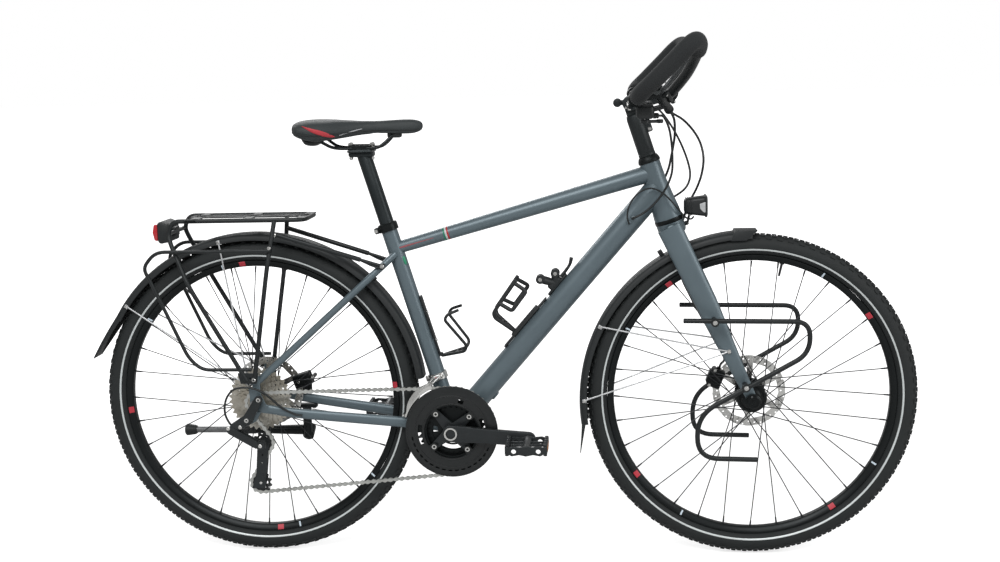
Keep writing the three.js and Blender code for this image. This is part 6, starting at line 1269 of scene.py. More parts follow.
# Rear rack
# Black powder-coated aluminium tube: a flat loop with a centre plate and cross bars, two bent legs a
# side to a drilled foot plate, a lower rail for pannier hooks and a strut to each seat stay.
rack_coat = surface_finish("rack_coat", (0.0109, 0.014, 0.015), 0.45, 0.2, grain=1300, depth=0.18,
                           spread=0.12)
deck_up, deck_half, foot_y, corner = 1.136, 0.058, 0.0834, 0.026


def on_rack(x, z, y):
    return rear_axle + Vector((x * tyre_reach, y, z * tyre_reach))


deck_rear, deck_front = on_rack(-0.46, deck_up, 0), on_rack(0.355, deck_up, 0)
loop = [deck_rear + Vector((corner, -deck_half, 0)), deck_front + Vector((0, -deck_half, 0)),
        deck_front + Vector((0, deck_half, 0)), deck_rear + Vector((corner, deck_half, 0))]
shapes = [drawn_tube(bent_path(loop, corner, 8), 0.005, 14)]
rack_bolts = []
for side in (-1, 1):
    y, foot = side * deck_half, side * foot_y
    leg = [deck_rear + Vector((2 * corner, y, 0))]
    for (x, z), out in zip(((-0.46, 1.136), (-0.495, 1.06), (-0.475, 0.997), (-0.365, 0.75),
                            (-0.033, 0.154)),
                           (y, y, side * (deck_half * 0.75 + foot_y * 0.25), foot, foot)):
        leg.append(on_rack(x, z, out))
    shapes.append(drawn_tube(bent_path(leg, corner, 6), 0.005, 14))
    front_leg = [on_rack(0.17, 1.13, y), on_rack(0.13, 0.86, foot), on_rack(0.015, 0.154, foot)]
    shapes.append(drawn_tube(bent_path(front_leg, corner, 6), 0.005, 14))
    rail = [on_rack(x, z, foot) for x, z in ((0.16, 0.958), (-0.56, 0.958), (-0.64, 0.86), (-0.6, 0.78),
                                             (-0.39, 0.3), (-0.31, 0.225), (0, 0.225))]
    shapes.append(drawn_tube(bent_path(rail, corner, 6), 0.004, 12))
    boss = seatstay_at(0.08, side)
    strut_end = boss + Vector((0, side * 0.0205, 0))
    strut_start = on_rack(0.165, 1.05, side * deck_half)
    fork_place = strut_start.lerp(strut_end, 0.8)
    shapes.append(rod(strut_start, fork_place, 0.0052, sides=18, bevel=0.001))
    shapes.append(rod(fork_place, strut_end, 0.0036, sides=14))
    rack_bolts.append(bolt_head(strut_start + Vector((0, side * 0.0046, -0.001)), Vector((0, side, 0)),
                                0.0055, 0.0032))
    tail = strut_start.lerp(strut_end, 0.78)
    shapes.append(drawn_tube([tail, tail.lerp(strut_end, 0.5) + Vector((0, 0, -0.005)),
                              strut_end + Vector((0.001, 0, -0.007))], 0.0026, 10))
    shapes.append(rod(boss + Vector((0, side * 0.0096, 0)), strut_end + Vector((0, side * 0.004, 0)),
                      0.0052, sides=18))
    rack_bolts.append(bolt_head(strut_end + Vector((0, side * 0.004, 0)), Vector((0, side, 0)), 0.0048,
                                0.003))
    plate = [(x * 0.074, z * 0.074) for x, z in ((-0.34, 0.66), (0.13, 0.66), (0.2, 0.98), (-0.42, 0.98))]
    dots = [ring_of(0.0024, 10, x * 0.074, z * 0.074) for x, z in ((-0.2, 0.82), (-0.05, 0.82))]
    shapes.append(flat_plate(plate, foot - 0.002, foot + 0.002, dots, 0.0007, rear_axle))
    bolt_x, bolt_z = 0.06 * 0.074, 0.78 * 0.074
    shapes.append(rod(rear_axle + Vector((bolt_x, side * 0.0738, bolt_z)),
                      rear_axle + Vector((bolt_x, foot + side * 0.0025, bolt_z)), 0.0039, sides=18))
    rack_bolts.append(bolt_head(rear_axle + Vector((bolt_x, foot + side * 0.0025, bolt_z)),
                                Vector((0, side, 0)), 0.0048, 0.003))
    rack_bolts.append(bolt_head(on_rack(0.15, 0.975, foot + side * 0.004), Vector((0, side, 0)), 0.004,
                                0.0025))
for share in (-0.33, 0, 0.33):
    shapes.append(block((0.02, 2 * deck_half, 0.003), on_rack(share, deck_up, 0) + Vector((0, 0, 0.003)), 0,
                        0.0008))
length = deck_front.x - deck_rear.x - corner
deck_middle = (deck_front + deck_rear) / 2 + Vector((corner / 2, 0, 0.003))
shapes.append(block((length, 0.04, 0.003), deck_middle, 0, 0.0008))
for y in (-0.0135, 0, 0.0135):
    shapes.append(block((length * 0.96, 0.0022, 0.0016), deck_middle + Vector((0, y, 0.0016)), 0, 0.0005))
bar = on_rack(-0.495, 1.06, 0)
shapes.append(rod(bar + Vector((0, -deck_half, 0)), bar + Vector((0, deck_half, 0)), 0.0045, sides=16))
joined("rack_tubes", "frame", rack_coat, *shapes, slot="black_metal", stands_for=["rear_rack"])
joined("rack_bolts", "frame", steel_bright, *rack_bolts, slot="silver_metal")

# Tail light
# A wide black housing bolted behind the rack's rear bar, with a ribbed red lens.
red_glass = surface_finish("red_glass", (0.5, 0.012, 0.02), 0.14, grain=1800, depth=0.25, spread=0.2,
                           rough_spread=0.05, Coat_Weight=0.7, Coat_Roughness=0.08)
light_face = rear_axle + Vector((-0.495 * tyre_reach - 0.005, 0, 1.06 * tyre_reach))
housing = [(-0.0003 + x * 0.026, z * 0.05) for x, z in
           ((0, -0.42), (-0.8, -0.5), (-1, -0.4), (-1, 0.42), (-0.7, 0.5), (0, 0.34))]
joined("tail_light_housing", "frame", guard_black,
       flat_plate(housing, -0.037, 0.037, (), 0.0035, light_face),
       block((0.01, 0.03, 0.02), light_face + Vector((0.003, 0, 0)), 0, 0.002),
       slot="black_plastic", stands_for=["tail_light"])
lens = [(-0.0266 + x * 0.012, z * 0.046) for x, z in ((0, -0.42), (-0.7, -0.38), (-1, 0), (-0.7, 0.38),
                                                      (0, 0.42))]
ribs = [block((0.0012, 0.062, 0.0012), light_face + Vector((-0.0365 + 0.003 * abs(k) / 4, 0, 0.0042 * k)),
              0, 0.0004)
        for k in range(-3, 4)]
joined("tail_lens", "frame", red_glass, flat_plate(lens, -0.034, 0.034, (), 0.0028, light_face), *ribs,
       slot="red_lens", stands_for=["tail_light_lens"])

# Seat collar
# A black alloy band that pinches the seat tube's top round the seatpost with one bright bolt.
collar_low, collar_high = seat_tube_length - 0.0148, seat_tube_length + 0.0002
shapes = [
    turned([(0.0178, 0), (0.0208, 0), (0.0216, 0.0008), (0.0216, 0.0142), (0.0208, 0.015), (0.0178, 0.015)],
           by_seat_tube(collar_low), tube_up, 56),
    turned([(0.0161, 0.0152), (0.0209, 0.0152), (0.0209, 0.0166), (0.02, 0.0174), (0.0161, 0.0174)],
           by_seat_tube(collar_low), tube_up, 56),
]
middle = (collar_low + collar_high) / 2
for side in (-1, 1):
    shapes.append(block((0.0125, 0.0078, 0.0135), by_seat_tube(middle, -0.0246, side * 0.0058), -seat_tilt,
                        0.0028, 3))
joined("seat_collar", "frame", black_anodised, *shapes, slot="black_metal", stands_for=["seat_clamp"])
joined("seat_collar_bolt", "frame", steel_bright,
       rod(by_seat_tube(middle, -0.0262, -0.0108), by_seat_tube(middle, -0.0262, 0.0108), 0.0032, sides=14),
       bolt_head(by_seat_tube(middle, -0.0262, -0.0097), Vector((0, -1, 0)), 0.0046, 0.0034),
       slot="silver_metal")

# Seatpost
# A smooth black alloy tube. Its head is forged with it and carries the cradle, and two bolts draw the
# upper plates down on the saddle's rails.
post_alloy = surface_finish("post_alloy", (0.021, 0.027, 0.029), 0.36, 0.55, grain=1500, depth=0.04,
                            spread=0.1)
clamp_centre = by_seat_tube(seat_tube_length + 0.175)
post_neck = by_seat_tube(seat_tube_length + 0.175 - 0.0204)
post_foot = by_seat_tube(seat_tube_length + 0.175 - 0.363)
rail_half = 0.134 * 0.166


def over_clamp(x, y, z):
    return clamp_centre + Vector((x, y, z))


shapes = [
    turned([(0, 0), (0.0148, 0), (0.0158, 0.001), (0.0158, 0.3425), (0.0136, 0.35), (0, 0.35)],
           post_foot, tube_up, 48),
    drawn_tube([post_neck, post_neck.lerp(over_clamp(0, 0, -0.0102), 0.5), over_clamp(0, 0, -0.0102)],
               [0.0156, 0.0146, 0.0141], 32),
    block((0.054, 0.034, 0.0125), over_clamp(0, 0, -0.0135), 0, 0.0045, 4),
    block((0.054, 0.058, 0.0055), over_clamp(0, 0, -0.0066), 0, 0.0024, 3),
]
for side in (-1, 1):
    shapes.append(block((0.05, 0.0098, 0.0062), over_clamp(0, side * rail_half, -0.0052), 0, 0.0022, 3))
joined("seatpost_tube", "seat", post_alloy, *shapes, slot="black_metal", stands_for=["seatpost"])
shapes = [block((0.034, 0.052, 0.0042), over_clamp(0, 0, 0.0022), 0, 0.0016, 3)]
for side in (-1, 1):
    shapes.append(block((0.05, 0.0096, 0.0038), over_clamp(0, side * rail_half, 0.0049), 0, 0.0016, 3))
joined("rail_plates", "seat", black_anodised, *shapes, slot="black_metal")
shapes = []
for end in (-1, 1):
    shapes.append(rod(over_clamp(end * 0.0235, 0, -0.0262), over_clamp(end * 0.0235, 0, 0.011), 0.0026,
                      sides=14))
    shapes.append(bolt_head(over_clamp(end * 0.0235, 0, -0.0205), Vector((0, 0, -1)), 0.0044, 0.005))
    shapes.append(rod(over_clamp(end * 0.0235, -0.01, 0.0076), over_clamp(end * 0.0235, 0.01, 0.0076),
                      0.0042, sides=14))
joined("rail_bolts", "seat", steel_bright, *shapes, slot="silver_metal")

# Saddle rails
# One black steel wire, bent to two straight runs under the clamp and joined in the nose.
rail_paint = surface_finish("rail_paint", (0.0126, 0.0155, 0.0165), 0.3, 0.6, grain=1500, depth=0.03)
saddle_length, saddle_width, saddle_height = 0.287, 0.166, 0.063
half_rail = [over_clamp(x * saddle_length, y * saddle_width, z * saddle_height) for x, y, z in
             ((-0.29, 0.24, 0.283), (-0.21, 0.17, 0.05), (-0.15, 0.134, 0), (0.14, 0.134, 0),
              (0.2, 0.1, 0.2), (0.25, 0.05, 0.4525))]
rail_run = [Vector((v.x, -v.y, v.z)) for v in half_rail] + half_rail[::-1]
joined("rail_wire", "seat", rail_paint, drawn_tube(bent_path(rail_run, 0.011, 6), 0.0035, 16),
       slot="black_metal", stands_for=["saddle_rails"])

# Saddle
# Foam on a plastic shell, wide behind and narrow in front, under a tight dark grey cover with a
# shallow channel along its middle. The cover is swelled like foam, then gets its seams and stripes.
saddle_cover = surface_finish("saddle_cover", (0.0218, 0.0275, 0.029), 0.62, grain=700, depth=0.12,
                              spread=0.12, rough_spread=0.06, Sheen_Weight=0.04, Sheen_Roughness=0.5)
shell_plastic = surface_finish("shell_plastic", (0.0092, 0.0115, 0.012), 0.5, grain=1100, depth=0.12)
saddle_stations = [
    (-0.508, 0.42, 0.8, 0.64), (-0.497, 0.68, 0.9, 0.54), (-0.47, 0.88, 0.955, 0.45),
    (-0.43, 0.965, 0.985, 0.38),
    (-0.34, 1, 1, 0.28), (-0.22, 0.86, 0.985, 0.3), (-0.1, 0.58, 0.955, 0.36), (0.03, 0.37, 0.935, 0.44),
    (0.16, 0.285, 0.94, 0.47), (0.3, 0.245, 0.962, 0.43), (0.4, 0.22, 0.96, 0.43),
    (0.45, 0.185, 0.92, 0.48), (0.475, 0.13, 0.86, 0.56), (0.484, 0.07, 0.78, 0.64),
]
section_knots = [(0, 1), (0.42, 0.985), (0.74, 0.9), (0.93, 0.72), (1, 0.46), (0.96, 0.16), (0.86, 0),
                 (0.4, 0.1), (0, 0.14)]


def saddle_section(steps=4):
    """Half a saddle's section as smooth shares of its half width and height, top to underside."""
    knots = [Vector((y, z, 0)) for y, z in section_knots]
    return [(v.x, v.y) for v in smooth_path(knots, steps)]


def saddle_rings(inset, top_share=1.0):
    """Rings of a saddle, drawn in from its cover by an inset."""
    half = saddle_section()
    outline = half + [(-y, z) for y, z in half[-2:0:-1]]
    rows = smooth_path([Vector((x, w, t)) for x, w, t, _ in saddle_stations], 3)
    lows = smooth_path([Vector((x, b, 0)) for x, _, _, b in saddle_stations], 3)
    rings = []
    for row, low in zip(rows, lows):
        width = row.y * saddle_width / 2 - inset
        high = row.z * saddle_height - inset
        deep = low.y * saddle_height + inset
        dish = 0.0022 * max(0, math.sin(math.pi * min(1, max(0, (row.x + 0.43) / 0.86))))
        ring = []
        for y, z in outline:
            channel = dish * math.exp(-((y * width / 0.013) ** 2)) if z > 0.5 else 0
            ring.append(over_clamp(row.x * (saddle_length - 2 * inset), y * width,
                                   deep + z * (high - deep) * top_share - channel))
        rings.append(ring)
    return rings


def lofted(rings):
    """A closed skin over rings of points, made by bridging circles that are moved onto them."""
    bm = bmesh.new()
    before = None
    for i, ring in enumerate(rings):
        verts = bmesh.ops.create_circle(bm, radius=1, segments=len(ring))["verts"]
        for vert, place in zip(verts, ring):
            vert.co = place
        edges = list({edge for vert in verts for edge in vert.link_edges})
        if before:
            bmesh.ops.bridge_loops(bm, edges=before + edges)
        if i in (0, len(rings) - 1):
            bmesh.ops.edgeloop_fill(bm, edges=edges)
        before = edges
    bmesh.ops.recalc_face_normals(bm, faces=bm.faces)
    return bm


def applied(piece):
    """Keeps what a piece's modifiers make of it, and removes them."""
    whole = bpy.data.meshes.new_from_object(piece.evaluated_get(bpy.context.evaluated_depsgraph_get()))
    for modifier in list(piece.modifiers):
        piece.modifiers.remove(modifier)
    piece.data = whole


def swelled(piece, reach, voxel=0.0045, frames=20):
    """Fills a closed cover as foam does, no point further than the reach."""
    even = piece.modifiers.new("even", "REMESH")
    even.mode = "VOXEL"
    even.voxel_size = voxel
    applied(piece)
    start = [v.co.copy() for v in piece.data.vertices]
    cloth = piece.modifiers.new("cover", "CLOTH")
    cloth.settings.use_pressure = True
    cloth.settings.uniform_pressure_force = 4
    cloth.settings.effector_weights.gravity = 0
    cloth.settings.quality = 5
    cloth.point_cache.frame_start = 1
    cloth.point_cache.frame_end = frames
    for frame_number in range(1, frames + 1):
        scene.frame_set(frame_number)
    applied(piece)
    scene.frame_set(1)
    for vert, before in zip(piece.data.vertices, start):
        moved_by = vert.co - before
        if moved_by.length > reach:
            vert.co = before + moved_by.normalized() * reach


cover = joined("saddle_cover_foam", "seat", saddle_cover, lofted(saddle_rings(0.0015)), slot="saddle_cover",
               stands_for=["saddle"], smooth=180)
swelled(cover, 0.0014)
smoother = cover.modifiers.new("round", "SUBSURF")
smoother.levels = smoother.render_levels = 1

# The shell under the foam, its tail clip, and the seam where the cover is tucked round the shell.
under = [[Vector((v.x, v.y * 0.93, v.z - 0.0012)) for v in ring]
         for ring in saddle_rings(0.0035, 0.32)[3:-3]]
tail_clip = [over_clamp(x, 0, z) for x, z in ((-0.128, 0.0265), (-0.118, 0.0155), (-0.1, 0.0145),
                                              (-0.086, 0.021))]
joined("saddle_shell", "seat", shell_plastic, lofted(under),
       drawn_tube(smooth_path(tail_clip, 5), between([0.006, 0.0085, 0.0085, 0.007], 5), 16, 2.2),
       block((0.03, 0.022, 0.012), over_clamp(0.0735, 0, 0.0265), 0, 0.004, 3), slot="black_plastic")


def cover_line(start, end, y_share, lift=0.0, side=-1):
    """Points along the side of the saddle's cover between two stations, at a place down its section."""
    half = saddle_section()
    rows = smooth_path([Vector((x, w, t)) for x, w, t, _ in saddle_stations], 8)
    lows = smooth_path([Vector((x, b, 0)) for x, _, _, b in saddle_stations], 8)
    spot = y_share * (len(half) - 1)
    low_i = min(int(spot), len(half) - 2)
    y = half[low_i][0] + (half[low_i + 1][0] - half[low_i][0]) * (spot - low_i)
    z = half[low_i][1] + (half[low_i + 1][1] - half[low_i][1]) * (spot - low_i)
    points = []
    for row, low in zip(rows, lows):
        if start <= row.x <= end:
            deep = low.y * saddle_height
            points.append(over_clamp(row.x * saddle_length, side * (y * row.y * saddle_width / 2 + lift),
                                     deep + z * (row.z * saddle_height - deep)))
    return points


thread = surface_finish("thread", (0.0147, 0.018, 0.019), 0.7, grain=2500, depth=0.3)
seams = [drawn_tube(cover_line(-0.47, 0.46, 0.56, -0.0006, side), 0.0009, 8) for side in (-1, 1)]
joined("saddle_seams", "seat", thread, *seams, slot="saddle_cover")
stripe_red = surface_finish("stripe_red", (0.42, 0.03, 0.04), 0.5, grain=700, depth=0.2, spread=0.15)
stripe_pale = surface_finish("stripe_pale", (0.36, 0.37, 0.38), 0.5, grain=700, depth=0.2, spread=0.1)
for name, material, start, end, shares, high, slot in (
        ("red", stripe_red, -0.4, -0.155, (0.36, 0.62), 0.0052, "red_lens"),
        ("pale", stripe_pale, -0.14, 0.03, (0.6, 0.5), 0.0011, "saddle_cover")):
    lines = []
    for side in (-1, 1):
        last = len(cover_line(start, end, shares[0], -0.0009, side)) - 1
        run = [cover_line(start, end, shares[0] + (shares[1] - shares[0]) * i / last, -0.0009, side)[i]
               for i in range(last + 1)]
        widths = [0.0007 + (high - 0.0007) * math.sin(math.pi * (i / last) ** 1.5) ** 0.8
                  for i in range(last + 1)]
        lines.append(drawn_tube(run, widths, 12, 0.36))
    joined("saddle_stripe_" + name, "seat", material, *lines, slot=slot)

# Bottle cages
# The seat tube's cage is bent from black wire round a flat strip with two bolts. The down tube's cage
# is moulded in black plastic with broader arms and a window in its back.
def by_cage(place, up_way, out_way):
    side_way = Vector((0, 1, 0))
    return lambda out, side, up: place + out_way * out + side_way * side + up_way * up


def cage_wire(at, side, shares):
    """One side's wire from its places: out and across in bottle radii, up in halves of the cage."""
    return [at(0.0026 + out * 0.038, side * wide * 0.038, up * 0.071) for out, wide, up in shares]


seat_cage_place = by_seat_tube(0.487 * seat_tube_length, seat_tube_radius * 0.99)
seat_tube_way = (by_seat_tube(1) - by_seat_tube(0)).normalized()
at = by_cage(seat_cage_place, seat_tube_way, (by_seat_tube(0, 1) - by_seat_tube(0)).normalized())
seat_cage_shares = [(0.08, 0.07, -0.9), (0.08, 0.07, -1), (1.55, 0.6, -1.03), (1.77, 0.75, -0.86),
                    (1.05, 0.98, 0.12), (1.3, 0.98, 0.25), (1.97, 0.75, 0.27)]
wires = [cage_wire(at, side, seat_cage_shares) for side in (-1, 1)]
shapes = [drawn_tube(bent_path(wire, 0.012, 6), 0.0034, 12) for wire in wires]
shapes.append(block((0.0042, 0.019, 0.1), at(0.0026, 0, 0.02), -seat_tilt, 0.0014))
foot = [wire[1].lerp(wire[2], 0.65) for wire in wires]
shapes.append(drawn_tube([foot[0], foot[1]], 0.0025, 12))
shapes.append(block((0.0034, 0.0115, 0.142), seat_cage_place + (at(0.0026, 0, 0) - at(0, 0, 0)), -seat_tilt,
                    0.0012))
joined("seat_tube_cage", "frame", rack_coat, *shapes, slot="black_metal",
       stands_for=["seat_tube_bottle_cage"])
bolts = [bolt_head(at(0.0042, 0, up), at(1, 0, 0) - at(0, 0, 0), 0.0045, 0.0028) for up in (-0.033, 0.031)]

down_cage_place = by_down_tube(0.282, -down_tube_radius * 0.99)
down_tube_way = (by_down_tube(1) - by_down_tube(0)).normalized()
upward = (by_down_tube(0, -1) - by_down_tube(0)).normalized()
at = by_cage(down_cage_place, down_tube_way, upward)
down_cage_shares = [(0.08, 0.07, -0.52), (0.08, 0.07, -0.42), (1.55, 0.6, -0.44), (1.8, 0.75, -0.33),
                    (2.02, 0.8, 0.9)]
window_shares = [(1.95, 0.8, 0.8), (1.18, 1.02, 0.86), (1.08, 1.02, 0.11), (1.88, 0.8, 0.02)]
wires = [cage_wire(at, side, down_cage_shares) for side in (-1, 1)]
windows = [cage_wire(at, side, window_shares) for side in (-1, 1)]
shapes = [drawn_tube(bent_path(wire, 0.012, 6), 0.0042, 14) for wire in wires]
shapes += [drawn_tube(bent_path(frame_wire, 0.006, 4), 0.0046, 12, 0.8) for frame_wire in windows]
shapes.append(block((0.0095, 0.021, 0.085), at(0.0052, 0, 0.002), -down_tilt, 0.003, 3))
foot = [wire[1].lerp(wire[2], 0.65) for wire in wires]
shapes.append(drawn_tube([foot[0], foot[1]], 0.0034, 12))
for side in (-1, 1):
    shapes.append(block((0.0045, 0.0048, 0.142), at(0.0026, side * 0.0085, 0), -down_tilt, 0.0018))
for up in (-0.066, -0.03, 0.03, 0.066):
    shapes.append(block((0.0045, 0.02, 0.01), at(0.0026, 0, up), -down_tilt, 0.0018))
joined("down_tube_cage", "frame", guard_black, *shapes, slot="black_plastic",
       stands_for=["down_tube_bottle_cage"])
bolts += [bolt_head(at(0.0046, 0, up), upward, 0.0045, 0.0028) for up in (-0.03, 0.03)]
joined("cage_bolts", "frame", steel_bright, *bolts, slot="silver_metal")

# Strap holder
# A black plastic foot on the down tube above the cage. It carries two pierced drums on short arms
# and a curved lever that clamps the strap.
holder_up, holder_length, holder_rise = 0.392, 0.06, down_tube_radius * 0.9914 + 0.0029


def by_holder(along, out, y=0.0):
    return by_down_tube(holder_up + along * holder_length,
                        -holder_rise - out * holder_length) + Vector((0, y, 0))


shapes = [block((0.0056, 0.0175, holder_length), by_holder(0, 0), -down_tilt, 0.0024, 3),
          block((0.017, 0.0195, 0.034), by_holder(-0.02, 0.11), -down_tilt, 0.005, 3)]
drum_profile = [(0.0042, -0.0127), (0.0084, -0.0127), (0.0096, -0.0112), (0.0096, -0.0085),
                (0.0084, -0.0078),
                (0.0084, 0.0078), (0.0096, 0.0085), (0.0096, 0.0112), (0.0084, 0.0127), (0.0042, 0.0127)]
drums = [by_holder(-0.25, 0.6), by_holder(0.27, 0.33)]
for drum in drums:
    shapes.append(turned(drum_profile, drum, steps=36))
    shapes.append(drawn_tube([by_holder(0, 0.06), by_holder(0, 0.06).lerp(drum, 0.6), drum],
                             [0.0075, 0.0092, 0.0092], 18, 1.3))
lever_run = [by_holder(*place) for place in ((0.3, 0.08), (0.62, 0.1), (0.85, 0.13), (1.08, 0.24))]
shapes.append(drawn_tube(smooth_path(lever_run, 6), between([0.0042, 0.0035, 0.0034, 0.0044], 6), 16, 1.9))
joined("strap_drum", "frame", guard_black, *shapes, slot="black_plastic", stands_for=["strap_holder"])
joined("strap_drum_bolt", "frame", steel_bright,
       *(bolt_head(drum + Vector((0, -0.0118, 0)), Vector((0, -1, 0)), 0.0026, 0.0022) for drum in drums),
       *(rod(drum + Vector((0, -0.0119, 0)), drum + Vector((0, 0.0119, 0)), 0.004, sides=18)
         for drum in drums),
       slot="silver_metal")

# Kickstand
# A black forged bracket bolted under the left chain stay, and a grey alloy leg whose end slides in it
# under a clamp ring and stands on a rubber foot.
stand_seat = chainstay_at(0.81, 0.98, -0.1, 1)
stand_drop, stand_length, stand_knuckle = 0.082, 0.293, 0.018
stand_pivot = stand_seat + Vector((0, stand_knuckle, -stand_drop))
stand_axis = Vector((0, math.cos(math.radians(30)), math.sin(math.radians(30))))
bracket_face = stand_pivot - stand_axis * 0.0111
inner_face = stand_pivot - stand_axis * 0.0201
plate_place = stand_seat + Vector((0, 0, -0.0192))
shapes = [
    block((0.0504, 0.018, 0.0088), plate_place, 0, 0.0022, 3),
    rod(plate_place, inner_face, 0.0102, 0.0098, 24),
    rod(inner_face, bracket_face, 0.013, 0.0128, 32, 0.001),
    rod(inner_face, stand_pivot + stand_axis * 0.0108, 0.0044, sides=20),
]
joined("stand_bracket", "frame", black_anodised, *shapes, slot="black_metal",
       stands_for=["kickstand_bracket"])
bolts = [bolt_head(plate_place + Vector((x, 0, -0.0044)), Vector((0, 0, -1)), 0.0042, 0.0028)
         for x in (-0.0175, 0.0175)]
joined("stand_bolts", "frame", steel_bright, *bolts, slot="silver_metal")
leg_alloy = surface_finish("leg_alloy", (0.2, 0.205, 0.21), 0.42, 0.75, grain=900, depth=0.12, spread=0.16)


def along_leg(share):
    return stand_pivot + Vector((-share * stand_length, 0, 0))


leg_axis = Vector((-1, 0, 0))
shapes = [
    turned([(0.0048, -0.0108), (0.012, -0.0108), (0.013, -0.0098), (0.013, 0.0098), (0.012, 0.0108),
            (0.0048, 0.0108)],
           stand_pivot, stand_axis, 36),
    turned([(0, 0), (0.0118, 0.004), (0.0112, 0.03), (0.0092, 0.1), (0.0088, 0.124), (0, 0.124)],
           along_leg(0.035), leg_axis, 32),
]
joined("stand_arm", "kickstand", black_anodised, *shapes, slot="black_metal", stands_for=["kickstand_leg"])
joined("stand_leg", "kickstand", leg_alloy,
       turned([(0, 0), (0.0078, 0), (0.0078, 0.052), (0.0072, 0.053), (0.0072, 0.144), (0, 0.144)],
              along_leg(0.45), leg_axis, 28), slot="silver_metal")
shapes = [
    turned([(0.0072, 0), (0.0092, 0.0004), (0.0099, 0.002), (0.0099, 0.058), (0.0092, 0.062),
            (0.0072, 0.0624)],
           along_leg(0.43), leg_axis, 32),
    turned([(0, 0), (0.0092, 0), (0.0112, 0.004), (0.0122, 0.012), (0.0134, 0.019), (0.0138, 0.0235),
            (0.0112, 0.0265), (0, 0.0265)], along_leg(0.912), leg_axis, 32),
]
joined("stand_foot", "kickstand", guard_black, *shapes, slot="black_plastic")
joined("stand_pin_bolt", "kickstand", steel_bright,
       bolt_head(along_leg(0.46) + Vector((0, 0.0094, 0)), Vector((0, 1, 0)), 0.0035, 0.0024),
       slot="silver_metal")

# Headset
# Black anodised cups with sealed bearings: one pressed into the head tube's top, and a thin race that
# shows under its lower end.
steering_up = (by_steering(1) - by_steering(0)).normalized()
head_top = fork_length + head_length
joined("headset_cup", "frame", black_anodised,
       turned([(0.0162, 0.0003), (0.0236, 0.0003), (0.024, 0.0012), (0.0238, 0.0042), (0.0226, 0.0085),
               (0.0206, 0.0125), (0.0196, 0.0139), (0.0162, 0.0139)],
              by_steering(head_top), steering_up, 56), slot="black_metal")
joined("headset_race", "frame", black_anodised,
       turned([(0.0162, -0.0006), (0.0304, -0.0006), (0.0311, 0.0004), (0.0311, 0.0078), (0.0303, 0.0088),
               (0.0162, 0.0088)],
              by_steering(fork_length), steering_up, 56), slot="black_metal")

# Stem riser
# A tall black cast riser clamped on the steerer by two bolts in front, with a lug on top that the
# folding arm turns on.
cast_black = surface_finish("cast_black", (0.0134, 0.017, 0.018), 0.42, 0.35, grain=1000, depth=0.12,
                            spread=0.12)
riser_foot, riser_height = head_top + 0.0143, 0.118
pivot_up = riser_foot + riser_height
pivot = by_steering(pivot_up)
shapes = [
    turned([(0.0146, 0), (0.0176, 0), (0.0184, 0.0008), (0.0184, 0.0056), (0.0176, 0.0064),
            (0.0176, 0.0072), (0.018, 0.008),
            (0.018, 0.084), (0.0165, 0.0915), (0.0125, 0.095), (0, 0.095), (0, 0.073), (0.0146, 0.073)],
           by_steering(riser_foot), steering_up, 48),
    rod(pivot + Vector((0, -0.0109, 0)), pivot + Vector((0, 0.0109, 0)), 0.0158, sides=40, bevel=0.0012),
    block((0.029, 0.0214, 0.034), by_steering(pivot_up - 0.0158), -head_tilt, 0.004, 3),
    block((0.019, 0.0172, 0.028), by_steering(riser_foot + 0.0613, 0.0192), -head_tilt, 0.004, 3),
    rod(pivot + Vector((-0.012, 0, 0.0015)), pivot + Vector((-0.0262, 0, 0.0015)), 0.0054, sides=20),
    rod(pivot + Vector((-0.0264, -0.0105, 0.0015)), pivot + Vector((-0.0264, 0.0105, 0.0015)), 0.0092,
        sides=32, bevel=0.0016),
]
riser_bolts = []
for up in (0.0535, 0.0695):
    spot = by_steering(riser_foot + up, 0.0222)
    riser_bolts.append(bolt_head(spot + Vector((0, -0.0086, 0)), Vector((0, -1, 0)), 0.0042, 0.0028))
    riser_bolts.append(rod(spot + Vector((0, -0.0088, 0)), spot + Vector((0, 0.0098, 0)), 0.0026, sides=14))
joined("stem_riser", "fork", cast_black, *shapes, slot="black_metal", stands_for=["stem_base"])
joined("stem_riser_bolts", "fork", steel_bright, *riser_bolts, slot="silver_metal")

# Stem arm
# Two cast ears on the riser's lug, a web between them, and a clamp whose front plate is drawn on to
# the bar by four bolts.
arm_length, arm_dip = 0.085, 0.075
bar_place = by_steering(pivot_up - arm_length * arm_dip, arm_length)
bar_half, bar_rise = 0.297, 0.104


def by_bar(x, y, z):
    return bar_place + Vector((x, y, z))


shapes, bolts = [], []
ear = arm_outline((pivot.x, pivot.z), (bar_place.x - 0.0114, bar_place.z), 0.016, 0.0152, 12)
for low, high in ((-0.0193, -0.0113), (0.0113, 0.0193)):
    shapes.append(flat_plate(ear, low, high, (), 0.0018))
for side in (-1, 1):
    cap = [(0, 0.0183), (0.0088, 0.0183), (0.0088, 0.0212), (0.0074, 0.0223), (0.0045, 0.0223),
           (0.0045, 0.0205), (0, 0.0205)]
    shapes.append(turned([(r, side * y) for r, y in (cap if side > 0 else reversed(cap))], pivot, steps=24))
web = pivot.lerp(bar_place, 0.63)
arm_turn = -math.atan2(bar_place.z - pivot.z, bar_place.x - pivot.x)
shapes.append(block((0.036, 0.03, 0.016), web, arm_turn, 0.003, 3))
shapes.append(turned([(0.013, -0.0215), (0.0176, -0.0215), (0.0188, -0.0203), (0.0188, 0.0203),
                      (0.0176, 0.0215), (0.013, 0.0215)], bar_place, steps=40))
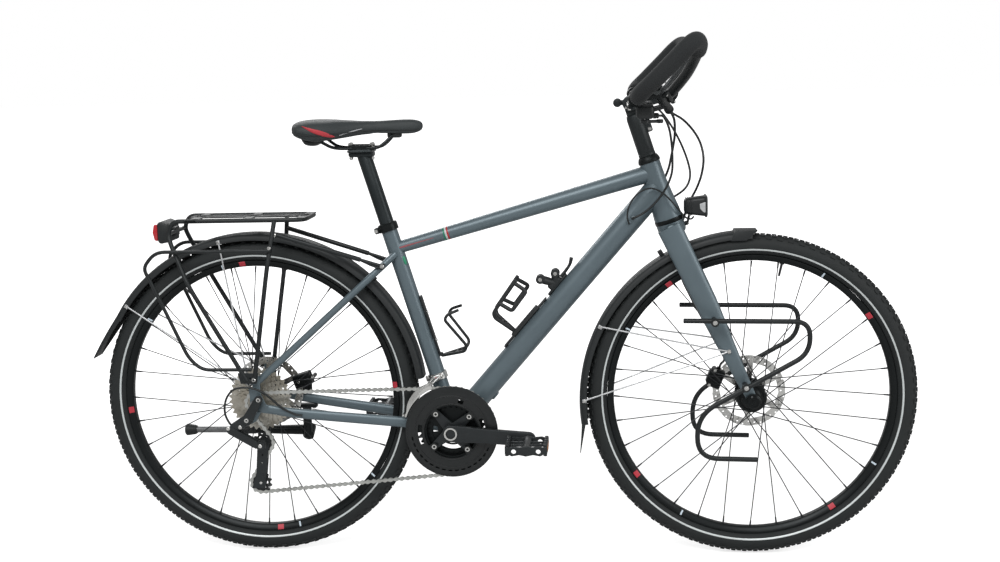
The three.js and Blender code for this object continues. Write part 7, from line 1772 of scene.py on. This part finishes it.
for up in (-1, 1):
    shapes.append(block((0.0105, 0.041, 0.0085), by_bar(-0.0035, 0, up * 0.0188), 0, 0.0024, 3))
    shapes.append(block((0.0072, 0.041, 0.0085), by_bar(0.0068, 0, up * 0.0188), 0, 0.0024, 3))
    for side in (-1, 1):
        bolts.append(bolt_head(by_bar(0.0104, side * 0.0135, up * 0.019), Vector((1, 0, 0)), 0.0036,
                               0.0026))
bolts.append(bolt_head(pivot + Vector((0, -0.0213, 0)), Vector((0, -1, 0)), 0.0068, 0.0032))
for x, z in ((-0.0125, -0.0088), (0.0125, 0.0088)):
    bolts.append(bolt_head(pivot + Vector((x * 0.7, -0.0193, z)), Vector((0, -1, 0)), 0.0024, 0.0014))
joined("stem_ears", "handlebar", cast_black, *shapes, slot="black_metal", stands_for=["stem_arm"])
joined("stem_ear_bolts", "handlebar", steel_bright, *bolts, slot="silver_metal")

# Handlebar
# One aluminium tube, anodised black, bent to a wide butterfly shape that is thicker in its clamp.
bar_shares = [(0, 0.16, 0), (0.09, 0.25, 0.1), (0.3, 0.44, 0.4), (0.44, 0.67, 0.74), (0.46, 0.84, 0.93),
              (0.39, 0.955, 1),
              (0.24, 1, 0.9), (-0.04, 1, 0.62), (-0.38, 0.985, 0.29), (-0.59, 0.935, 0.09),
              (-0.68, 0.84, -0.03), (-0.7, 0.69, -0.08), (-0.68, 0.4, -0.1)]


def bar_side(side):
    return [by_bar(x * bar_rise, side * y * bar_half, z * bar_rise) for x, y, z in bar_shares]


bar_run = smooth_path(bar_side(-1)[::-1] + bar_side(1), 5)
plugs = []
for side in (-1, 1):
    tip, inner = bar_side(side)[-1], bar_side(side)[-2]
    out = (tip - inner).normalized()
    plugs.append(turned([(0, -0.003), (0.0112, -0.003), (0.0118, 0), (0.0112, 0.0022), (0, 0.003)], tip,
                        out, 24))
joined("butterfly_bar", "handlebar", black_anodised, drawn_tube(bar_run, 0.0111, 20),
       turned([(0, -0.034), (0.0114, -0.034), (0.0127, -0.029), (0.0127, 0.029), (0.0114, 0.034),
               (0, 0.034)], bar_place, steps=32),
       *plugs, slot="black_metal", stands_for=["handlebar"])

# Grips
# Closed-cell foam sleeves in matte charcoal, pushed over the bar's outer bends and a little waisted.
grip_foam = surface_finish("grip_foam", (0.009, 0.011, 0.012), 0.85, grain=420, depth=0.75, spread=0.2,
                           rough_spread=0.08, Sheen_Weight=0.04, Sheen_Roughness=0.6)
for name, side in (("right", -1), ("left", 1)):
    knots = bar_side(side)
    run = smooth_path([knots[3].lerp(knots[4], 0.35), *knots[4:10], knots[10].lerp(knots[9], 0.05)], 7)
    count = len(run)
    radii = []
    for i in range(count):
        from_end = min(i, count - 1 - i) / 3
        swell = 0.0171 + 0.0004 * math.cos(4 * math.pi * i / count)
        radii.append(0.0125 + (swell - 0.0125) * math.sin(0.5 * math.pi * min(1, 0.35 + from_end)) ** 0.8)
    sleeve = joined(name + "_grip_foam", "handlebar", grip_foam, drawn_tube(run, radii, 28),
                    slot="black_foam", stands_for=[name + "_grip"])

# Brake cylinders and shifters
# On each side two alloy clamps on the bar's rear run carry a black brake cylinder with a flat
# reservoir lid, and a plastic shifter with a domed cover, a barrel for its cable and a clear window.
control_plastic = surface_finish("control_plastic", (0.0118, 0.0145, 0.0155), 0.42, grain=1200, depth=0.16,
                                 spread=0.12)
window = surface_finish("window", (0.05, 0.052, 0.055), 0.16, grain=1500, depth=0.02, spread=0.1,
                        rough_spread=0.03, Coat_Weight=0.8)
lever_axis = Vector((-0.77, 0, 0.64)).normalized()
lever_way = Vector((0.64, 0, 0.77)).normalized()


def lever_pivot(side):
    return by_bar(-0.22 * bar_rise, side * 0.775 * bar_half, 0.08 * bar_rise)


def cylinder_ends(side):
    place = lever_pivot(side)
    return place + Vector((-0.006, 0, -0.004)), Vector((place.x + 0.018, side * bar_half * 0.53,
                                                        place.z - 0.04))


def control_place(side, share):
    return by_bar(-0.695 * bar_rise, side * share * bar_half, -0.06 * bar_rise)


def shifter_centre(side):
    return control_place(side, 0.6) + Vector((0.018, 0, -0.0252))


for name, side in (("right", -1), ("left", 1)):
    clamps, bolts = [], []
    for share in (0.75, 0.6):
        place = control_place(side, share)
        clamps.append(turned([(0.0114, -0.0082), (0.0148, -0.0082), (0.0156, -0.007), (0.0156, 0.007),
                              (0.0148, 0.0082), (0.0114, 0.0082)], place, steps=36))
        clamps.append(block((0.01, 0.0145, 0.012), place + Vector((-0.011, 0, -0.0122)), 0, 0.0022))
        bolts.append(bolt_head(place + Vector((-0.0135, 0, -0.0182)), Vector((0, 0, -1)), 0.0034, 0.0026))
        bolts.append(bolt_head(place + Vector((-0.0162, 0, -0.0105)), Vector((-1, 0, 0)), 0.003, 0.002))
    behind, hose_end = cylinder_ends(side)
    along = (hose_end - behind).normalized()
    place = control_place(side, 0.75)
    hinge = lever_pivot(side)
    length = (hose_end - behind).length
    body = [(0, -0.009), (0.0072, -0.0085), (0.0092, -0.006), (0.0098, 0), (0.0098, 0.022), (0.0088, 0.026),
            (0.0088, length - 0.011),
            (0.0096, length - 0.0105), (0.0096, length - 0.004), (0.0062, length - 0.0032),
            (0.0058, length), (0, length)]
    lid_place = behind.lerp(hose_end, 0.42) + Vector((0.0055, 0, 0.0088))
    lid_turn = Vector((1, 0, 0)).rotation_difference(along).to_matrix().to_4x4()
    lid = bmesh.new()
    bmesh.ops.create_cube(lid, size=1,
                          matrix=Matrix.Translation(lid_place) @ lid_turn @ Matrix.Diagonal((0.038, 0.02,
                                  0.009, 1)))
    clamps += [
        turned(body, behind, along, 32),
        drawn_tube([place, place.lerp(behind, 0.5), behind], [0.0085, 0.0075, 0.009], 20),
        softened(lid, 0.003, 3),
    ]
    for way in (-1, 1):
        near, far = hinge + lever_axis * way * 0.0059, hinge + lever_axis * way * 0.0124
        clamps.append(rod(near, far, 0.0088, 0.0078, 28, 0.001))
        clamps.append(rod(far, behind.lerp(far, 0.3), 0.006, 0.005, 16))
        bolts.append(bolt_head(far, lever_axis * way, 0.0034, 0.0018))
    clamps.append(rod(hinge - lever_axis * 0.0065, hinge + lever_axis * 0.0065, 0.0022, sides=14))
    joined(name + "_brake_cylinder", "handlebar", black_anodised, *clamps, slot="black_metal",
           stands_for=[name + "_control"])
    centre = shifter_centre(side)
    shapes = [
        block((0.036, 0.043, 0.03), centre, 0, 0.0085, 4),
        turned([(0, 0), (0.0135, 0), (0.0145, 0.0012), (0.0135, 0.0045), (0.0095, 0.0068), (0, 0.0074)],
               centre + Vector((0.001, 0, 0.0128)), Vector((0, 0, 1)), 32),
        drawn_tube([control_place(side, 0.6), control_place(side, 0.6).lerp(centre, 0.8)], [0.0105, 0.0125],
                   20),
        rod(centre, behind.lerp(hose_end, 0.7), 0.006, 0.0052, 16),
        turned([(0, -0.002), (0.0058, -0.002), (0.0058, 0.003), (0.005, 0.0036), (0.005, 0.0046),
                (0.0056, 0.0052), (0.0056, 0.0075),
                (0.0036, 0.0094), (0, 0.0094)], centre + Vector((0.018, 0, -0.009)), Vector((1, 0, 0)), 20),
    ]
    joined(name + "_shifter", "handlebar", control_plastic, *shapes, slot="black_plastic")
    dial = block((0.015, 0.02, 0.006), centre + Vector((0.0052, side * 0.002, 0.0176)), 0, 0.002, 3)
    joined(name + "_shifter_window", "handlebar", window, dial, slot="clear_lens")
    joined(name + "_control_bolts", "handlebar", steel_bright, *bolts, slot="silver_metal")

# Brake levers
# Forged aluminium blades, tumbled to a dull grey, flattened for the fingers and round at their tips.
lever_alloy = surface_finish("lever_alloy", (0.05, 0.054, 0.056), 0.36, 0.6, grain=1200, depth=0.08,
                             spread=0.12)
for name, side in (("right", -1), ("left", 1)):
    hinge = lever_pivot(side)
    inward = Vector((0, -side, 0))
    run = [hinge, hinge + lever_way * 0.014 + inward * 0.0038, hinge + lever_way * 0.028 + inward * 0.0063,
           hinge + lever_way * 0.054 + inward * 0.0044, hinge + lever_way * 0.0765 + inward * 0.0028]
    joined(name + "_lever_blade", name + "_brake_lever", lever_alloy,
           drawn_tube(smooth_path(run, 6), between([0.0046, 0.0043, 0.0044, 0.0042, 0.0036], 6), 20, 1.25),
           rod(hinge - lever_axis * 0.0045, hinge + lever_axis * 0.0045, 0.0079, 0.0079, 28, 0.0008),
           turned([(0, -0.0048), (0.003, -0.004), (0.0046, -0.0014), (0.0048, 0.0012), (0.0036, 0.0038),
                   (0, 0.005)],
                  run[-1], lever_way, 20),
           slot="silver_metal", stands_for=[name + "_brake_lever"])

# Shift levers
# Black plastic thumb levers under the shifters, each with a ribbed pad.
for name, side in (("right", -1), ("left", 1)):
    centre = shifter_centre(side)
    hub = centre + Vector((0, 0, -0.0162 - 0.004 - 0.0003))
    tip = hub + Vector((0.042 * 0.7, -side * 0.042 * 0.3, 0))
    shapes = [
        turned([(0, -0.004), (0.008, -0.004), (0.009, -0.003), (0.009, 0.003), (0.008, 0.004), (0, 0.004)],
               hub, Vector((0, 0, 1)), 28),
        drawn_tube([hub, hub.lerp(tip, 0.5), tip], [0.0037, 0.0033, 0.0034], 14),
        turned([(0, -0.0038), (0.006, -0.0038), (0.007, -0.0028), (0.007, 0.0028), (0.006, 0.0038),
                (0, 0.0038)], tip,
               Vector((0, 0, 1)), 28),
    ]
    for k in (-1, 0, 1):
        shapes.append(block((0.0012, 0.0085, 0.0012), tip + Vector((0.0026 * k, 0, -0.0039)), 0, 0.0003))
    joined(name + "_thumb_lever", name + "_shift_lever", control_plastic, *shapes, slot="black_plastic",
           stands_for=[name + "_shift_lever"])

# Headlight
# A black plastic lamp with cooling ribs behind and a clear lens that also shows at its sides. A bent
# steel bracket bolts it to the fork's crown.
lamp_place = by_steering(fork_length + 0.015, 0.063)


def by_lamp(x, y, z):
    return lamp_place + Vector((x, y, z))


housing = bmesh.new()
bmesh.ops.create_cube(housing, size=1,
                      matrix=Matrix.Translation(lamp_place) @ Matrix.Diagonal((0.05, 0.044, 0.044, 1)))
for vert in housing.verts:
    if vert.co.x < lamp_place.x:
        vert.co = lamp_place + (vert.co - lamp_place) * 0.999 - Vector(
            (0, (vert.co.y - lamp_place.y) * 0.32, (vert.co.z - lamp_place.z) * 0.26))
shapes = [softened(housing, 0.0075, 4)]
for x in (-0.0205, -0.0165, -0.0125, -0.0085):
    scale = 0.66 + (x + 0.025) * 5.4
    shapes.append(block((0.0014, 0.0455 * scale + 0.0022, 0.0455 * scale + 0.004), by_lamp(x, 0, 0), 0,
                        0.0045, 3))
shapes.append(block((0.006, 0.0458, 0.0458), by_lamp(0.0212, 0, 0), 0, 0.0026, 3))
bracket_low = by_steering(0.403, 0.0297)
bracket_bend = by_steering(0.403, 0.0357)
joined("headlight_housing", "fork", control_plastic, *shapes, slot="black_plastic",
       stands_for=["headlight"])
run = [bracket_low, bracket_bend, by_lamp(-0.0125, 0, -0.0142)]
joined("headlight_bracket", "fork", guard_black, drawn_tube(bent_path(run, 0.004, 4), 0.0026, 12, 2.3),
       rod(bracket_low, bracket_bend, 0.0048, sides=20),
       rod(by_lamp(-0.0125, -0.0085, -0.0165), by_lamp(-0.0125, 0.0085, -0.0165), 0.0042, sides=20),
       slot="black_metal")
joined("headlight_bolts", "fork", steel_bright,
       bolt_head(by_lamp(-0.0125, -0.0085, -0.0165), Vector((0, -1, 0)), 0.004, 0.0026),
       bolt_head(bracket_bend, by_steering(0, 1) - by_steering(0), 0.0042, 0.0026), slot="silver_metal")
clear_lens = surface_finish("clear_lens", (0.72, 0.74, 0.75), 0.08, grain=600, depth=0.12, spread=0.06,
                            rough_spread=0.03, Coat_Weight=1, Transmission_Weight=0.35)
pane = block((0.003, 0.0385, 0.0385), by_lamp(0.0235, 0, 0), 0, 0.0012, 3)
ridges = [block((0.001, 0.0016, 0.034), by_lamp(0.0248, 0.0055 * k, 0), 0, 0.0003) for k in range(-3, 4)]
side_panes = []
for side in (-1, 1):
    outline = [(0.0085, -0.004), (0.0145, -0.0115), (0.0218, -0.0135), (0.0212, 0.0105), (0.0075, 0.006)]
    low, high = sorted((side * 0.0195, side * 0.0226))
    side_panes.append(flat_plate(outline, low, high, (), 0.0009, lamp_place))
joined("headlight_pane", "fork", clear_lens, pane, *ridges, *side_panes, slot="clear_lens",
       stands_for=["headlight_lens"])

# Lowriders
# Black powder-coated tube in one bent loop a side, held off the fork blade by two spacers and bolts.
lowrider_reach, lowrider_y = 0.12, 0.095
lowrider_shares = [(-1.23, 1.53), (0.94, 1.5), (0.94, 0.934), (-1.0, -0.167), (-1.0, -0.955), (0.04, -0.98)]
for name, side in (("right", -1), ("left", 1)):
    run = [front_axle + Vector((x * lowrider_reach, side * lowrider_y, z * lowrider_reach))
           for x, z in lowrider_shares]
    shapes, bolts = [drawn_tube(bent_path(run, 0.045, 10), 0.0053, 18)], []
    for end, before in ((run[0], run[1]), (run[-1], run[-2])):
        out = (end - before).normalized()
        shapes.append(turned([(0, -0.003), (0.0052, -0.003), (0.0054, 0), (0.0044, 0.0014), (0, 0.0018)],
                             end, out, 20))
    for share in (0.471, 0.102):
        place, radius = blade_at(share, side)
        outer = abs(place.y) + radius * 0.48
        head = Vector((place.x, side * lowrider_y, place.z))
        shapes.append(rod(Vector((place.x, side * (outer + 0.0005), place.z)), head, 0.0054, sides=24))
        shapes.append(turned([(0.003, -0.0058), (0.0082, -0.0058), (0.0088, -0.0046), (0.0088, 0.0046),
                              (0.0082, 0.0058), (0.003, 0.0058)], head, steps=28))
        bolts.append(bolt_head(head + Vector((0, side * 0.0045, 0)), Vector((0, side, 0)), 0.0052, 0.0034))
    joined(name + "_lowrider_loop", "fork", rack_coat, *shapes, slot="black_metal",
           stands_for=[name + "_lowrider"])
    joined(name + "_lowrider_bolts", "fork", steel_bright, *bolts, slot="silver_metal")

# Hoses, cables and the lamp's lead
# Black sleeved cables and hydraulic hoses: out of the controls in loose bends, then into the ports in
# the down tube, down the fork's blade, or round the cassette to the derailleur.
cable_sleeve = surface_finish("cable_sleeve", (0.0092, 0.0115, 0.012), 0.42, grain=1800, depth=0.12,
                              spread=0.12)
port_up = down_run.length - 0.096
hose_radius, cable_radius, lead_radius = 0.0026, 0.0024, 0.0018


def by_down_tube_top(places):
    return [down_tube_top + Vector(place) / 1000 for place in places]


def hose_start(side):
    start, end = cylinder_ends(side)
    out = (end - start).normalized()
    return [end + out * 0.0003, end + out * 0.01]


def gear_cable_start(side):
    centre = shifter_centre(side)
    return [centre + Vector((0.018 + reach, 0, -0.009)) for reach in (0.0003, 0.01)]


def port_end(up, side):
    return [by_down_tube(up, 0, side * (0.029 + reach)) for reach in (0.01, 0.0003)]


def beside_blade(up, back, out):
    place, radius = blade_at(up, 1)
    clear = radius * math.cos(math.pi / 12) + hose_radius + 0.0003
    return place + (by_steering(0, -back * clear, out * clear) - by_steering(0))


def caliper_end():
    turn = math.radians(68)
    return [Vector((front_caliper_centre.x + reach * math.cos(turn), 0.04575,
                    front_caliper_centre.z + reach * math.sin(turn)))
            for reach in (0.032, 0.0223)]


def cable(name, node, points, radius, ride_on=None, bend=None):
    """A cable along its route, which rides on one body, or on none when it runs between two."""
    run = smooth_path(points, 5)
    piece = joined(name, ride_on, cable_sleeve, drawn_tube(run, radius, 14), slot="cable_rubber",
                   stands_for=[node])
    if bend:
        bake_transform(piece)
    return piece


front_hose = [
    *hose_start(1),
    *by_down_tube_top([(37, 128, 151), (59, 104, 137), (79, 76, 115), (93, 52, 89), (99, 38, 57),
                       (95, 38, 23), (85, 44, -7),
                       (73, 52, -32), (61, 57, -62), (51, 58.5, -97), (45, 58.8, -132), (45, 58, -165)]),
    *[beside_blade(*row) for row in ((0.72, 0.84, 0.42), (0.66, 1.02, 0.21), (0.6, 1.03, 0),
                                     (0.515, 1.03, 0), (0.4, 1, 0), (0.3, 1, 0), (0.2, 1, 0))],
    *caliper_end(),
]
rear_hose = [
    *hose_start(-1),
    *by_down_tube_top([(30, -128, 147), (32, -100, 117), (30, -62, 89), (27, -20, 63), (23, 16, 37),
                       (11, 38, 7), (-9, 46, -19), (-29, 46, -42)]),
    *port_end(port_up + 0.014, 1),
]
rear_gear_cable = [
    *gear_cable_start(-1),
    *by_down_tube_top([(8, -164, 155), (19, -140, 131), (25, -110, 99), (28, -80, 65), (27, -58, 33),
                       (15, -48, 1), (-5, -44, -27), (-29, -42, -49)]),
    *port_end(port_up + 0.014, -1),
]
front_gear_cable = [
    *gear_cable_start(1),
    *by_down_tube_top([(11, 164, 155), (33, 134, 125), (53, 100, 87), (67, 70, 48), (71, 52, 18),
                       (61, 46, -7), (35, 50, -27), (0, 52, -45), (-35, 48, -62)]),
    *port_end(port_up, 1),
]
lamp_run = [
    *port_end(port_up, -1)[::-1],
    *by_down_tube_top([(-66, -44, -57), (-61, -44, -33), (-43, -42, -9), (-17, -38, 1), (8, -35, -9),
                       (27, -34, -27), (45, -28, -49), (59, -16, -65), (70, -5, -69), (75.97, 0, -64.6)]),
]
around_cassette = [from_rear_axle(*place) for place in (
    (106, -76, -25), (88, -77, -21), (60, -81, -4), (30, -84, 24), (6, -85, 37), (-20, -86, 41),
    (-42, -86, 36), (-57, -85, 20),
    (-64, -84, 0), (-64, -84, -20), (-57, -83, -38), (-46.8, -82.8, -50.9))]
cable("front_hose", "front_brake_hose", front_hose, hose_radius, bend=("handlebar", "fork"))
cable("rear_hose", "rear_brake_hose", rear_hose, hose_radius, bend=("fork", "frame"))
cable("rear_gear_cable", "rear_shift_cable", rear_gear_cable, cable_radius, bend=("fork", "frame"))
cable("front_gear_cable", "front_shift_cable", front_gear_cable, cable_radius,
      bend=("fork", "frame"))
cable("lamp_cable", "lamp_lead", lamp_run, lead_radius, bend=("frame", "fork"))
cable("gear_loop", "derailleur_cable", around_cassette, cable_radius, "frame")

# Stripes
# Thin painted bands on the top tube and the seat tube: a short tricolour, a faint red flash and a
# green patch.
def top_tube_at(share):
    start = by_seat_tube(seat_tube_length - 0.056)
    return start.lerp(by_steering(fork_length + head_length - 0.023), share), 0.0135 + 0.0055 * share


def painted_band(start, end):
    (a, radius_a), (b, radius_b) = top_tube_at(start), top_tube_at(end)
    return rod(a, b, radius_a + 0.00012, radius_b + 0.00012, 40)


band_colours = (("green", (0.005, 0.19, 0.11)), ("white", (0.55, 0.56, 0.56)), ("red", (0.4, 0.02, 0.03)))
for i, (name, colour) in enumerate(band_colours):
    paint = surface_finish("band_" + name, colour, 0.42, grain=1500, depth=0.04, spread=0.06)
    joined("top_tube_band_" + name, "frame", paint, painted_band(0.1933 + 0.0066 * i, 0.1998 + 0.0066 * i),
           slot="slate_paint")

flash_run = [top_tube_at(share)[0] + Vector((0, -top_tube_at(share)[1] * 0.998, 0))
             for share in (0.02, 0.04, 0.08, 0.155)]
flash_paint = surface_finish("flash_red", (0.27, 0.075, 0.085), 0.45, grain=1500, depth=0.04, spread=0.1)
joined("top_tube_flash", "frame", flash_paint,
       drawn_tube(flash_run, [0.0014, 0.0022, 0.0014, 0.0006], 12, 0.2), slot="slate_paint")
patch_paint = surface_finish("patch_green", (0.03, 0.26, 0.14), 0.45, grain=1500, depth=0.04, spread=0.1)
joined("seat_tube_patch", "frame", patch_paint,
       drawn_tube([by_seat_tube(up, 0.0132, -0.0113) for up in (0.376, 0.38, 0.392, 0.396)],
                  [0.0012, 0.0034, 0.0034, 0.0012], 12),
       slot="slate_paint")
